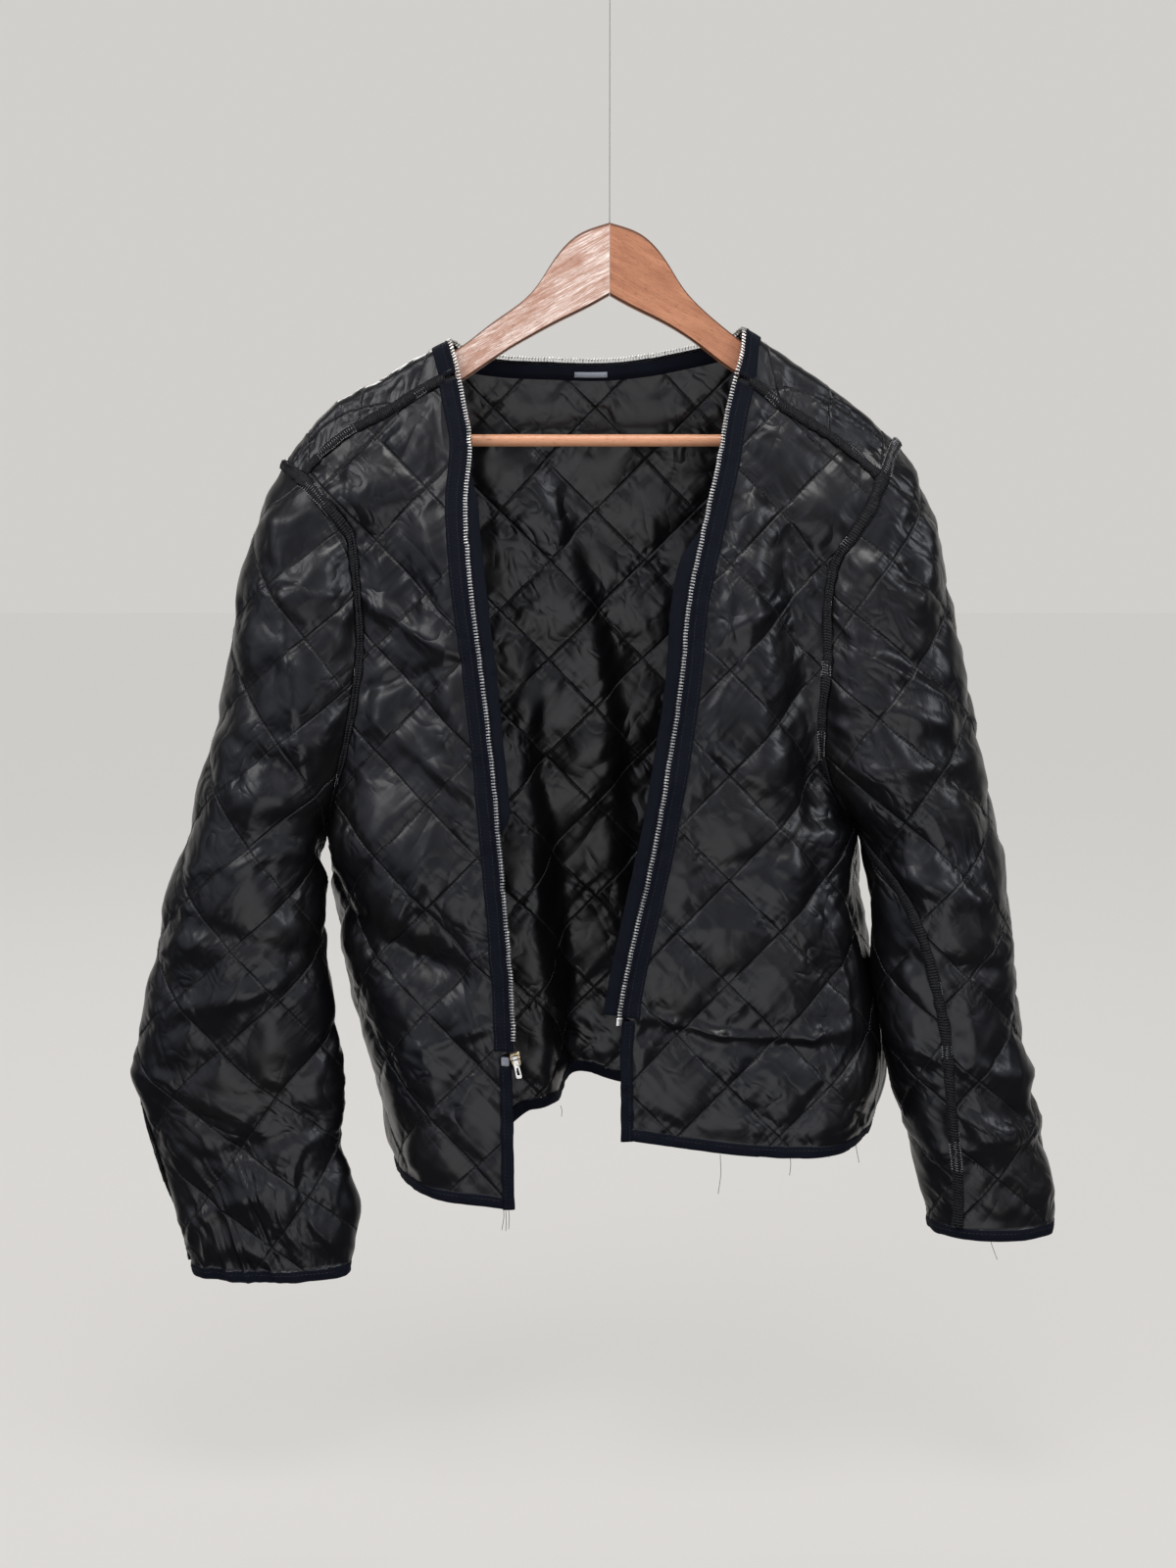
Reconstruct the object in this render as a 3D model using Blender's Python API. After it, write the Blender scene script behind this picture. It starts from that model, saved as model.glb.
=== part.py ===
"""Quilted zip-in liner jacket that hangs open on a wooden hanger.

Every size is in metres.  X runs across the jacket to the wearer's left, -Y is its
front and +Z is up.  The origin is the top of the loop that the hanger's line ends in.
Heights are given as a drop, which is the distance below the hanger's top.  In names,
left and right are as seen from the front.

A cloth piece starts as its flat cut: an outline in cloth sizes, p across and q down.
It is filled with the quilting's own points, carried onto the hanging surface, and
given a wall whose outer points are raised in the middle of each quilted diamond.
"""
import math
from collections import namedtuple

import bmesh
import bpy
import numpy as np
from mathutils import Matrix, Vector
from mathutils.geometry import delaunay_2d_cdt

# ---------------------------------------------------------------- driving sizes
HANGER_TOP = -0.200          # height of the hanger's top below the loop
WALL = 0.0022                # quilted cloth at its sewn lines
PUFF = 0.0040                # rise of the wadding in the middle of a diamond
SEAM_GAP = 0.0003            # between pieces that are sewn to each other
DIAMOND = 0.084              # quilted diamond, corner to corner
STEP = 0.020                 # distance between the points of an outline
CLEAR = 0.011                # quilting points keep this far from an edge
SEAM_BAND = 0.007            # flat band beside a seam
ZIP_BAND = 0.015             # and beside the zip
ZIP_STEP = 0.013             # distance between an outline's points along the zip

RIDGE_RADIUS = 0.0105        # cloth's turn over the top of the hanger
FALL_LENGTH = 0.25           # how quickly front and back part below the shoulder
FRONT_REACH = 0.080          # how far the front hangs before the hanger
BACK_REACH = 0.072           # how far the back hangs behind it
ARMPIT = 0.490               # drop of both underarm points

ALLOWANCE_HALF = 0.0042      # half width of an overlocked seam allowance
ALLOWANCE_RISE = 0.0026      # and how far it stands off the cloth
TAPE_WIDTH = 0.0140          # zip tape on the cloth
TAPE_THICK = 0.0009
FACING_WIDTH = 0.0120        # ribbon behind the zip's edge
CHAIN_START = 0.0010         # the teeth start this far beyond the cloth's edge
CHAIN_WIDTH = 0.0050         # envelope of the zip's teeth
CHAIN_THICK = 0.0030
BINDING_WIDTH = 0.0092       # folded edge binding
BINDING_THICK = 0.0036

LABEL_X = (-0.0298, 0.0002)  # neck label, from end to end
SLIDER = Vector((0.0082, 0.0052, 0.0105))
SLIDER_FACE = -0.0036        # its face, before the cloth's middle
SLIDER_DROP = 0.0042         # its middle below the zip's end
SLIDER_TILT = math.radians(-12)
PIN_RADIUS = 0.0007
PIN_OFF = 0.0027             # pin's middle before the slider's face
PIN_UP = 0.0023              # and above its middle
EAR_X = (0.0027, 0.0037)     # inner and outer side of the ears
EYE_OUTER = 0.0020
EYE_INNER = 0.0011
EYE_HALF = 0.0022            # half width of the pull's eye
PULL = Vector((0.0048, 0.0012, 0.0170))

ARM_THICK = 0.0130           # wood of the hanger's arms
ARM_CHAMFER = 0.0022
BAR_RADIUS = 0.0050
BAR_DROP = 0.1730
BAR_Y = -0.0010
BAR_END = {"left": 0.2165, "right": 0.2075}
LINE_RADIUS = 0.0004
KNOT_DROP = 0.0180           # the knot's drop below the loop's top
KNOT_RADIUS = 0.0014
LOOP_HALF = 0.0042

BEND = RIDGE_RADIUS * math.pi / 2
WRAP_EXTRA = BEND - RIDGE_RADIUS     # cloth used by the turn over the shoulder
CELL = DIAMOND / 4

# ------------------------------------------------------------------------ tables
Place = namedtuple("Place", "drop x")
Side = namedtuple("Side", "drop x y")
Ring = namedtuple("Ring", "drop outer inner middle depth")
Fold = namedtuple("Fold", "drop x lift")

# Top of the cloth over the hanger, from shoulder tip to shoulder tip.
SHOULDER_LINE = [
    Place(0.2200, -0.2860), Place(0.1925, -0.2650), Place(0.1734, -0.2495),
    Place(0.1473, -0.2251), Place(0.1200, -0.1768), Place(0.0955, -0.1328),
    Place(0.0860, -0.0700), Place(0.0830, -0.0050), Place(0.0820, 0.0600),
    Place(0.0862, 0.1114), Place(0.1080, 0.1419), Place(0.1325, 0.1820),
    Place(0.1525, 0.2063), Place(0.1760, 0.2335), Place(0.2000, 0.2560),
]
# Front edges, along the zip's teeth and then the bound edge below them.
FRONT_EDGE = {
    "left": [
        Place(0.0948, -0.1318), Place(0.1119, -0.1266), Place(0.1315, -0.1226),
        Place(0.1511, -0.1185), Place(0.1783, -0.1144), Place(0.1978, -0.1158),
        Place(0.2210, -0.1180), Place(0.2441, -0.1170), Place(0.2825, -0.1137),
        Place(0.3587, -0.1040), Place(0.4363, -0.0950), Place(0.5150, -0.0884),
        Place(0.5946, -0.0818), Place(0.6605, -0.0789), Place(0.7920, -0.0765),
    ],
    "right": [
        Place(0.0854, 0.1110), Place(0.1080, 0.1084), Place(0.1315, 0.1019),
        Place(0.1550, 0.0962), Place(0.1900, 0.0905), Place(0.2132, 0.0848),
        Place(0.2441, 0.0776), Place(0.2749, 0.0704), Place(0.3055, 0.0647),
        Place(0.3587, 0.0598), Place(0.4363, 0.0485), Place(0.5150, 0.0341),
        Place(0.5866, 0.0179), Place(0.6323, 0.0100), Place(0.7352, 0.0090),
    ],
}
# Armhole seams seen from the front, from the shoulder tip to the underarm.
ARMHOLE = {
    "left": [
        Place(0.1925, -0.2650), Place(0.2017, -0.2513), Place(0.2249, -0.2283),
        Place(0.2443, -0.2114), Place(0.2598, -0.2077), Place(0.2910, -0.2042),
        Place(0.3382, -0.2017), Place(0.3856, -0.2071), Place(0.4254, -0.2156),
        Place(0.4600, -0.2250), Place(ARMPIT, -0.2335),
    ],
    "right": [
        Place(0.1745, 0.2335), Place(0.1850, 0.2270), Place(0.2132, 0.2152),
        Place(0.2365, 0.2054), Place(0.2598, 0.1862), Place(0.2910, 0.1773),
        Place(0.3539, 0.1758), Place(0.4015, 0.1726), Place(0.4414, 0.1771),
        Place(0.4735, 0.1940), Place(ARMPIT, 0.2060),
    ],
}
# The body's outermost line below the armholes.
BODY_SIDE = {
    "left": [
        Side(ARMPIT, -0.2335, -0.015), Side(0.520, -0.2300, 0.008),
        Side(0.550, -0.2265, 0.020), Side(0.600, -0.2215, 0.024),
        Side(0.644, -0.2115, 0.024), Side(0.689, -0.1995, 0.024),
        Side(0.730, -0.1910, 0.022), Side(0.766, -0.1830, 0.020),
        Side(0.830, -0.1740, 0.018),
    ],
    "right": [
        Side(ARMPIT, 0.2060, -0.015), Side(0.520, 0.2055, 0.012),
        Side(0.550, 0.2100, 0.026), Side(0.600, 0.2205, 0.032),
        Side(0.644, 0.2315, 0.034), Side(0.689, 0.2345, 0.032),
        Side(0.730, 0.2290, 0.030), Side(0.766, 0.2185, 0.028),
        Side(0.830, 0.2080, 0.026),
    ],
}
# Sleeves: outer and inner x, the middle's y and half the depth of each ring.
SLEEVE = {
    "left": [
        Ring(0.1925, -0.2650, -0.2050, 0.000, 0.026), Ring(0.245, -0.2865, -0.1960, -0.004, 0.036),
        Ring(0.300, -0.3010, -0.1900, -0.008, 0.043), Ring(0.372, -0.3135, -0.1890, -0.012, 0.049),
        Ring(0.420, -0.3255, -0.2000, -0.014, 0.052), Ring(0.455, -0.3350, -0.2180, -0.015, 0.053),
        Ring(ARMPIT, -0.3450, -0.2335, -0.015, 0.053), Ring(0.520, -0.3545, -0.2400, -0.018, 0.051),
        Ring(0.560, -0.3650, -0.2400, -0.022, 0.048), Ring(0.618, -0.3775, -0.2350, -0.026, 0.043),
        Ring(0.655, -0.3870, -0.2295, -0.028, 0.037), Ring(0.694, -0.3950, -0.2225, -0.030, 0.031),
        Ring(0.720, -0.3885, -0.2235, -0.031, 0.029), Ring(0.757, -0.3780, -0.2245, -0.032, 0.028),
        Ring(0.787, -0.3690, -0.2185, -0.034, 0.027), Ring(0.811, -0.3620, -0.2120, -0.035, 0.027),
        Ring(0.857, -0.3500, -0.2175, -0.036, 0.026), Ring(0.900, -0.3440, -0.2190, -0.036, 0.026),
    ],
    "right": [
        Ring(0.1745, 0.2335, 0.1750, 0.000, 0.026), Ring(0.229, 0.2608, 0.1660, -0.004, 0.036),
        Ring(0.292, 0.2764, 0.1580, -0.008, 0.044), Ring(0.364, 0.2916, 0.1560, -0.012, 0.050),
        Ring(0.437, 0.3054, 0.1680, -0.015, 0.054), Ring(0.465, 0.3118, 0.1860, -0.015, 0.055),
        Ring(ARMPIT, 0.3180, 0.2060, -0.015, 0.054), Ring(0.525, 0.3240, 0.2165, -0.024, 0.051),
        Ring(0.560, 0.3286, 0.2185, -0.030, 0.048), Ring(0.616, 0.3335, 0.2210, -0.034, 0.045),
        Ring(0.663, 0.3400, 0.2295, -0.036, 0.042), Ring(0.689, 0.3446, 0.2355, -0.037, 0.041),
        Ring(0.715, 0.3510, 0.2415, -0.038, 0.040), Ring(0.767, 0.3640, 0.2580, -0.039, 0.038),
        Ring(0.796, 0.3710, 0.2640, -0.040, 0.036), Ring(0.819, 0.3708, 0.2675, -0.040, 0.036),
        Ring(0.835, 0.3690, 0.2740, -0.040, 0.035), Ring(0.880, 0.3640, 0.2740, -0.040, 0.035),
    ],
}
# Long standing folds of the back: the cloth steps back beyond each line.
BACK_FOLDS = [
    [Fold(0.150, -0.0750, 0.000), Fold(0.190, -0.0585, 0.010), Fold(0.340, -0.0050, 0.012),
     Fold(0.440, 0.0090, 0.012), Fold(0.580, 0.0190, 0.010), Fold(0.700, 0.0250, 0.004)],
    [Fold(0.300, -0.0630, 0.000), Fold(0.450, -0.0630, 0.012), Fold(0.530, -0.0535, 0.028),
     Fold(0.640, -0.0440, 0.048), Fold(0.760, -0.0430, 0.056)],
]
FOLD_HALF = 0.006            # half width of such a step
# Creases and swells of the fronts: a soft ridge (or trough) along each line.
Crease = namedtuple("Crease", "x0 drop0 x1 drop1 width lift")
FRONT_CREASES = {
    "left": [
        Crease(-0.235, 0.545, -0.150, 0.590, 0.016, -0.010),
        Crease(-0.150, 0.590, -0.088, 0.612, 0.014, -0.007),
        Crease(-0.185, 0.500, -0.100, 0.560, 0.026, 0.006),
        Crease(-0.160, 0.230, -0.150, 0.420, 0.022, -0.005),
    ],
    "right": [
        Crease(0.142, 0.260, 0.163, 0.440, 0.016, -0.010),
        Crease(0.163, 0.440, 0.176, 0.640, 0.014, -0.008),
        Crease(0.112, 0.250, 0.128, 0.430, 0.020, 0.006),
        Crease(0.030, 0.640, 0.190, 0.665, 0.014, -0.006),
    ],
}
# Cloth past the body's outermost line that still belongs to the front piece.
SIDE_SEAM_SHIFT = {
    "left": [Place(ARMPIT, 0.0), Place(0.56, 0.040), Place(0.70, 0.070), Place(0.83, 0.075)],
    "right": [Place(ARMPIT, 0.0), Place(0.52, -0.034), Place(0.55, -0.050), Place(0.70, -0.059),
              Place(0.83, -0.060)],
}
# Turn of the underarm seam away from the inside of the sleeve, towards +p.
SLEEVE_SEAM_SHIFT = {
    "left": [Place(ARMPIT, 0.0), Place(0.56, 0.080), Place(0.66, 0.170), Place(0.90, 0.140)],
    "right": [Place(ARMPIT, 0.0), Place(0.53, 0.040), Place(0.57, 0.058), Place(0.63, 0.068),
              Place(0.70, 0.060), Place(0.80, 0.040), Place(0.88, 0.030)],
}
FORWARD_SEAM = {"left": 0.0290, "right": 0.0400}     # shoulder seam before the ridge
CUFF = {"left": 0.8660, "right": 0.8255}             # drop of the sleeve's own end
ZIP_END = {"left": 0.6625, "right": 0.6343}          # drop of the zip's lower end
NOTCH = {"left": 0.0112, "right": 0.0020}            # from there down to the edge binding
SIDE_HEM = {"left": 0.7750, "right": 0.7385}         # drop of the side seams' lower ends
HEM_BACK = [Place(0.7750, -0.200), Place(0.7500, -0.110), Place(0.7440, -0.0815),
            Place(0.7375, -0.052), Place(0.7370, -0.0435), Place(0.7206, -0.0365),
            Place(0.7198, -0.0174), Place(0.7305, 0.009), Place(0.7350, 0.100), Place(0.7385, 0.220)]
BACK_NECK = [Place(0.0948, -0.1318), Place(0.1040, -0.1150), Place(0.1081, -0.0936),
             Place(0.1105, -0.0495), Place(0.1113, -0.0060), Place(0.1081, 0.0307),
             Place(0.1000, 0.0724), Place(0.0960, 0.0900), Place(0.0915, 0.1020),
             Place(0.0862, 0.1110)]
SIDES = ("left", "right")
OUTWARD = {"left": -1.0, "right": 1.0}
# Shown part of each facing: where it starts and ends along the zip, and how far it shows.
FACING_SHOWN = {"left": (0.30, 0.90, 0.0138), "right": (-0.07, 0.80, 0.0155)}
# Top and bottom edge of a hanger arm, from the mitre at the middle to its end and back.
ARM_TOP = [
    Place(0.0000, 0.0002), Place(0.0068, 0.0225), Place(0.0127, 0.0306), Place(0.0235, 0.0407),
    Place(0.0353, 0.0487), Place(0.0461, 0.0548), Place(0.0550, 0.0610), Place(0.0618, 0.0680),
    Place(0.0669, 0.0752), Place(0.0719, 0.0831), Place(0.0787, 0.0953), Place(0.0877, 0.1095),
    Place(0.0976, 0.1278), Place(0.1238, 0.1768), Place(0.1405, 0.2065), Place(0.1475, 0.2200),
    Place(0.1535, 0.2290),
]
ARM_LOW = [
    Place(0.1630, 0.2335), Place(0.1730, 0.2325), Place(0.1800, 0.2260), Place(0.1790, 0.2190),
    Place(0.1681, 0.2079), Place(0.1450, 0.1650), Place(0.1226, 0.1231), Place(0.1065, 0.0914),
    Place(0.0996, 0.0793), Place(0.0887, 0.0589), Place(0.0778, 0.0388), Place(0.0679, 0.0185),
    Place(0.0574, 0.0002),
]
# How far an arm lies below that outline, at x: the right one dips under the cloth.
ARM_LOWER = {
    "left": [Place(0.0000, 0.000), Place(0.0000, 0.095), Place(0.0048, 0.122), Place(0.0040, 0.240)],
    "right": [Place(0.0000, 0.000), Place(0.0000, 0.068), Place(0.0060, 0.094), Place(0.0094, 0.124),
              Place(0.0115, 0.180), Place(0.0175, 0.206), Place(0.0205, 0.240)],
}
ARM_SHORT = {"left": 1.0, "right": 0.55}      # length of the last part of an arm
CLOTH = (0.012, 0.012, 0.013)
NAVY = (0.008, 0.011, 0.022)
GREY = (0.10, 0.12, 0.14)
SILVER = (0.55, 0.54, 0.52)
BRASS = (0.50, 0.44, 0.33)
CLEAR_LINE = (0.45, 0.45, 0.43)
WOOD = {"left": (0.42, 0.27, 0.20), "right": (0.38, 0.18, 0.07)}
REFERENCE_X = {"left": -0.150, "right": 0.120}       # where p is zero on a front
QUILT_PHASE = {"front_left": (0.0026, 0.0497), "front_right": (0.0176, 0.0683),
               "back": (-0.0115, 0.0681), "sleeve_left": (0.0020, 0.0795),
               "sleeve_right": (0.0180, 0.0172)}


# ------------------------------------------------------------------ small helpers
def through(xs, ys, x):
    """A smooth curve through table rows: cubic pieces with averaged slopes."""
    xs, ys = np.asarray(xs, float), np.asarray(ys, float)
    steps = np.diff(ys) / np.diff(xs)
    slopes = np.concatenate([steps[:1], (steps[:-1] + steps[1:]) / 2, steps[-1:]])
    x = np.asarray(x, float)
    k = np.clip(np.searchsorted(xs, x) - 1, 0, len(xs) - 2)
    width = xs[k + 1] - xs[k]
    u = (x - xs[k]) / width
    inside = np.clip(u, 0.0, 1.0)
    value = ((2 * inside**3 - 3 * inside**2 + 1) * ys[k]
             + (inside**3 - 2 * inside**2 + inside) * width * slopes[k]
             + (3 * inside**2 - 2 * inside**3) * ys[k + 1]
             + (inside**3 - inside**2) * width * slopes[k + 1])
    edge = np.where(u < 0, slopes[k], slopes[k + 1])
    return value + (u - inside) * width * edge


def look_up(table, column, at_value, key="drop"):
    """One column of a table at a drop, or at a value of another column."""
    return through([getattr(row, key) for row in table], [getattr(row, column) for row in table],
                   at_value)


def smooth(u):
    """0 to 1 with level ends."""
    u = np.clip(u, 0.0, 1.0)
    return u * u * (3 - 2 * u)


def at(x, y, drop):
    """Points of the part from x, y and drop."""
    x, y, drop = np.broadcast_arrays(x, y, drop)
    return np.stack([x, y, HANGER_TOP - drop], axis=-1)


def ridge(x):
    """Drop of the shoulder line at x."""
    line = sorted(SHOULDER_LINE, key=lambda row: row.x)
    return through([row.x for row in line], [row.drop for row in line], x)


# --------------------------------------------------------------- hanging surfaces
def fall(t, reach):
    """Depth of hanging cloth at cloth distance t below the ridge."""
    beyond = np.maximum(t - BEND, 0.0)
    turn = RIDGE_RADIUS * np.sin(np.minimum(t, BEND) / RIDGE_RADIUS)
    return turn + reach * (1 - np.exp(-beyond / FALL_LENGTH))


def sink(t):
    """Drop below the ridge at cloth distance t."""
    turn = RIDGE_RADIUS * (1 - np.cos(np.minimum(t, BEND) / RIDGE_RADIUS))
    return turn + np.maximum(t - BEND, 0.0)


def unsink(drop):
    """Cloth distance at a drop below the ridge, the inverse of sink."""
    drop = np.maximum(drop, 0.0)
    inside = np.arccos(np.clip(1 - drop / RIDGE_RADIUS, -1, 1)) * RIDGE_RADIUS
    return np.where(drop < RIDGE_RADIUS, inside, BEND + drop - RIDGE_RADIUS)


def crease_lift(crease, x, drop):
    """Soft ridge along one line, fading over its ends."""
    along = np.array([crease.x1 - crease.x0, crease.drop1 - crease.drop0])
    length = np.hypot(*along)
    along /= length
    dx, dd = x - crease.x0, drop - crease.drop0
    s = dx * along[0] + dd * along[1]
    off = dx * along[1] - dd * along[0]
    over = np.maximum(np.maximum(-s, s - length), 0.0)
    return crease.lift * np.exp(-(off**2 + over**2) / crease.width**2)


def front_sheet(side, x, drop):
    """y of a front before it is drawn in at its side."""
    y = -fall(unsink(drop - ridge(x)), FRONT_REACH)
    edge = OUTWARD[side] * (x - look_up(FRONT_EDGE[side], "x", drop))
    y = y - 0.010 * np.exp(-np.maximum(edge, -0.030) / 0.035) * smooth((drop - 0.16) / 0.15)
    for crease in FRONT_CREASES[side]:
        y = y - crease_lift(crease, x, drop) * smooth((edge - 0.012) / 0.04)
    return y


def back_sheet(x, drop):
    """y of the back before it is drawn in at its sides."""
    y = fall(unsink(drop - ridge(x)), BACK_REACH)
    for line in BACK_FOLDS:
        lift = np.maximum(look_up(line, "lift", drop), 0.0) * smooth((drop - line[0].drop) / 0.04)
        y = y + lift / 2 * np.tanh((x - look_up(line, "x", drop)) / FOLD_HALF)
    return y


def sleeve_ring(side, drop, angle):
    """Point of a sleeve: angle 0 is its outer line, the front has positive sin."""
    table = SLEEVE[side]
    outer, inner = look_up(table, "outer", drop), look_up(table, "inner", drop)
    x = (outer + inner) / 2 + (outer - inner) / 2 * np.cos(angle)
    y = look_up(table, "middle", drop) - look_up(table, "depth", drop) * np.sin(angle)
    return x, y


def armhole_angle(side, drop):
    """Angle on the sleeve's ring where the armhole seam crosses it."""
    table = SLEEVE[side]
    outer, inner = look_up(table, "outer", drop), look_up(table, "inner", drop)
    x = look_up(ARMHOLE[side], "x", drop)
    cosine = (x - (outer + inner) / 2) / ((outer - inner) / 2)
    tip = ARMHOLE[side][0].drop
    cosine = np.where(drop <= tip + 1e-6, 1.0, np.where(drop >= ARMPIT - 1e-6, -1.0, cosine))
    return np.arccos(np.clip(cosine, -1, 1))


def body_end(side, face, drop):
    """x and y where a body sheet ends: armhole seam above, outermost line below."""
    tip = ARMHOLE[side][0].drop
    above = np.minimum(drop, ARMPIT)
    x_arm = look_up(ARMHOLE[side], "x", np.maximum(above, tip))
    angle = armhole_angle(side, np.maximum(above, tip))
    _, y_arm = sleeve_ring(side, above, angle if face == "front" else -angle)
    own = front_sheet(side, x_arm, above) if face == "front" else back_sheet(x_arm, above)
    y_arm = own + (y_arm - own) * smooth((above - tip) / 0.02)
    below = drop > ARMPIT
    x = np.where(below, look_up(BODY_SIDE[side], "x", drop), x_arm)
    y = np.where(below, look_up(BODY_SIDE[side], "y", drop), y_arm)
    return x, y


def body_y(side, face, x, drop):
    """y of a body sheet, drawn in towards its end."""
    own = front_sheet(side, x, drop) if face == "front" else back_sheet(x, drop)
    x_end, y_end = body_end(side, face, drop)
    at_end = front_sheet(side, x_end, drop) if face == "front" else back_sheet(x_end, drop)
    low = smooth((drop - 0.42) / 0.10)
    reach = 0.080 - 0.022 * low
    power = 1.25 + 0.75 * low
    near = np.clip(1 - OUTWARD[side] * (x_end - x) / reach, 0.0, 1.0)
    pull = 1 - (1 - near**power) ** (1 / power)
    tip = ARMHOLE[side][0].drop
    return own + pull * (y_end - at_end) * smooth((drop - tip) / 0.01)


class Surface:
    """Rows of points at even steps of q, each with its own cloth distance p."""

    def __init__(self, q_rows, rows, facing):
        self.q = np.asarray(q_rows)
        self.rows = rows
        self.facing = facing

    def row(self, k, p):
        ps, points = self.rows[k]
        p = np.clip(p, ps[0], ps[-1])
        return np.stack([np.interp(p, ps, points[:, axis]) for axis in range(3)], axis=-1)

    def point(self, p, q):
        where = np.clip((q - self.q[0]) / (self.q[1] - self.q[0]), 0, len(self.q) - 1.001)
        k = int(where)
        mix = where - k
        return self.row(k, p) * (1 - mix) + self.row(k + 1, p) * mix

    def normal(self, p, q, reach=0.003):
        across = self.point(p + reach, q) - self.point(p - reach, q)
        down = self.point(p, q + reach) - self.point(p, q - reach)
        normal = np.cross(across, down) * self.facing
        return normal / np.linalg.norm(normal)

    def p_at_x(self, q, x, low, high):
        """p of the place with this x, between two values of p, on the row at q."""
        ps = np.linspace(low, high, 240)
        xs = np.array([self.point(p, q)[0] for p in ps])
        order = np.argsort(xs)
        return float(np.interp(x, xs[order], ps[order]))


ROW_STEP = 0.005


def distances(points, zero):
    """Cloth distance along a row, nought at index zero."""
    steps = np.linalg.norm(np.diff(points, axis=0), axis=1)
    total = np.concatenate([[0.0], np.cumsum(steps)])
    return total - total[zero]


def crowd(low, high, count):
    """Values from low to high that crowd towards high."""
    u = np.linspace(0, 1, count)
    return low + (high - low) * np.sin(u * math.pi / 2)


def front_row(side, drop):
    """Front cloth from beyond its edge to its outermost place."""
    x_edge = float(look_up(FRONT_EDGE[side], "x", drop)) - OUTWARD[side] * 0.030
    x_end = float(body_end(side, "front", drop)[0])
    x = crowd(x_edge, x_end, 70)
    return at(x, body_y(side, "front", x, drop), drop)


def back_row(side, drop):
    """Back cloth from the middle to its outermost place on one side."""
    x = crowd(0.0, float(body_end(side, "back", drop)[0]), 70)
    return at(x, body_y(side, "back", x, drop), drop)


def stretch_on(points, amount):
    """Adds a straight run past the last point."""
    way = points[-1] - points[-3]
    way = way / np.linalg.norm(way)
    return np.vstack([points, points[-1] + way * amount])


def front_surface(side):
    q_rows = np.arange(0.095, 0.86, ROW_STEP)
    rows = []
    for q in q_rows:
        drop = q - WRAP_EXTRA
        row = front_row(side, drop)
        if drop > ARMPIT:
            behind = back_row(side, drop)[::-1]
            row = np.vstack([row, behind[1:55]])
        else:
            row = stretch_on(row, 0.03)
        zero = int(np.argmin(np.abs(row[:60, 0] - REFERENCE_X[side])))
        p = distances(row, zero) + abs(row[zero, 0] - REFERENCE_X[side]) * np.sign(
            (row[zero, 0] - REFERENCE_X[side]) * OUTWARD[side])
        if side == "left":
            row, p = row[::-1], -p[::-1]
        rows.append((p, row))
    return Surface(q_rows, rows, -1.0)


def shoulder_points(q, x):
    """Back cloth over the shoulder: behind the ridge for q beyond it, else before it."""
    line = ridge(x)
    t = q - line
    drop = line + sink(np.abs(t))
    y = np.zeros_like(x)
    for side in SIDES:
        for face, behind in (("back", True), ("front", False)):
            here = ((x * OUTWARD[side]) >= 0) & ((t >= 0) == behind)
            if here.any():
                y[here] = body_y(side, face, x[here], drop[here])
    return at(x, y, drop)


def back_surface():
    q_rows = np.arange(0.03, 0.86, ROW_STEP)
    rows = []
    for q in q_rows:
        drop = q - WRAP_EXTRA
        if drop > ARMPIT:
            left = np.vstack([back_row("left", drop), front_row("left", drop)[::-1][1:40]])
            right = np.vstack([back_row("right", drop), front_row("right", drop)[::-1][1:40]])
            row = np.vstack([left[::-1], right[1:]])
            zero = len(left) - 1
        else:
            x = np.linspace(-0.300, 0.300, 401)
            row = shoulder_points(q, x)
            zero = 200
        rows.append((distances(row, zero), row))
    return Surface(q_rows, rows, 1.0)


class SleeveSurface(Surface):
    """Closed rings: p goes round, nought on the outer line, and may pass the inner one."""

    def __init__(self, side):
        q_rows = np.arange(0.150, 0.90, ROW_STEP)
        self.round = []
        rows = []
        angles = np.linspace(-3 * math.pi, 3 * math.pi, 601)
        for drop in q_rows:
            x, y = sleeve_ring(side, drop, -angles * OUTWARD[side])
            row = at(x, y, drop)
            p = distances(row, 300)
            rows.append((p, row))
            self.round.append(p[400] - p[200])
        super().__init__(q_rows, rows, -1.0)
        self.side = side

    def girth(self, drop):
        return float(np.interp(drop, self.q, self.round))

    def seam_p(self, drop):
        """p of the underarm seam's two edges, low and high."""
        shift = float(look_up(SLEEVE_SEAM_SHIFT[self.side], "x", drop))
        half = self.girth(drop) / 2
        return -half + shift, half + shift

    def armhole_p(self, drop, face):
        """p of the armhole seam on the front or the back of the sleeve."""
        angle = float(armhole_angle(self.side, drop))
        k = int(round(np.interp(drop, self.q, np.arange(len(self.q)))))
        ps = self.rows[k][0]
        reach = np.interp(angle, np.linspace(-3 * math.pi, 3 * math.pi, 601), ps)
        sign = -OUTWARD[self.side] if face == "front" else OUTWARD[self.side]
        return float(reach) * sign


FRONTS = {side: front_surface(side) for side in SIDES}
BACK = back_surface()
SLEEVES = {side: SleeveSurface(side) for side in SIDES}

# ------------------------------------------------------------------- seams' points
Mark = namedtuple("Mark", "p q seam flat")     # outline point, its seam key, flat band


def even(low, high, step=STEP):
    """Values from low to high at about one step."""
    return np.linspace(low, high, max(2, int(round(abs(high - low) / step)) + 1))


def shoulder_x(side):
    """x of the shoulder seam's ends at the neck and at the armhole."""
    seam = FORWARD_SEAM[side]
    edge = FRONT_EDGE[side]
    drops = np.linspace(0.09, 0.24, 400)
    x_edge = look_up(edge, "x", drops)
    x_neck = x_edge[np.argmin(np.abs(drops - ridge(x_edge) - seam))]
    arm = np.linspace(ARMHOLE[side][0].drop, 0.26, 400)
    x_arm = look_up(ARMHOLE[side], "x", arm)
    k = np.argmin(np.abs(arm - ridge(x_arm) - seam))
    return float(x_neck), float(x_arm[k]), float(arm[k])


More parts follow.
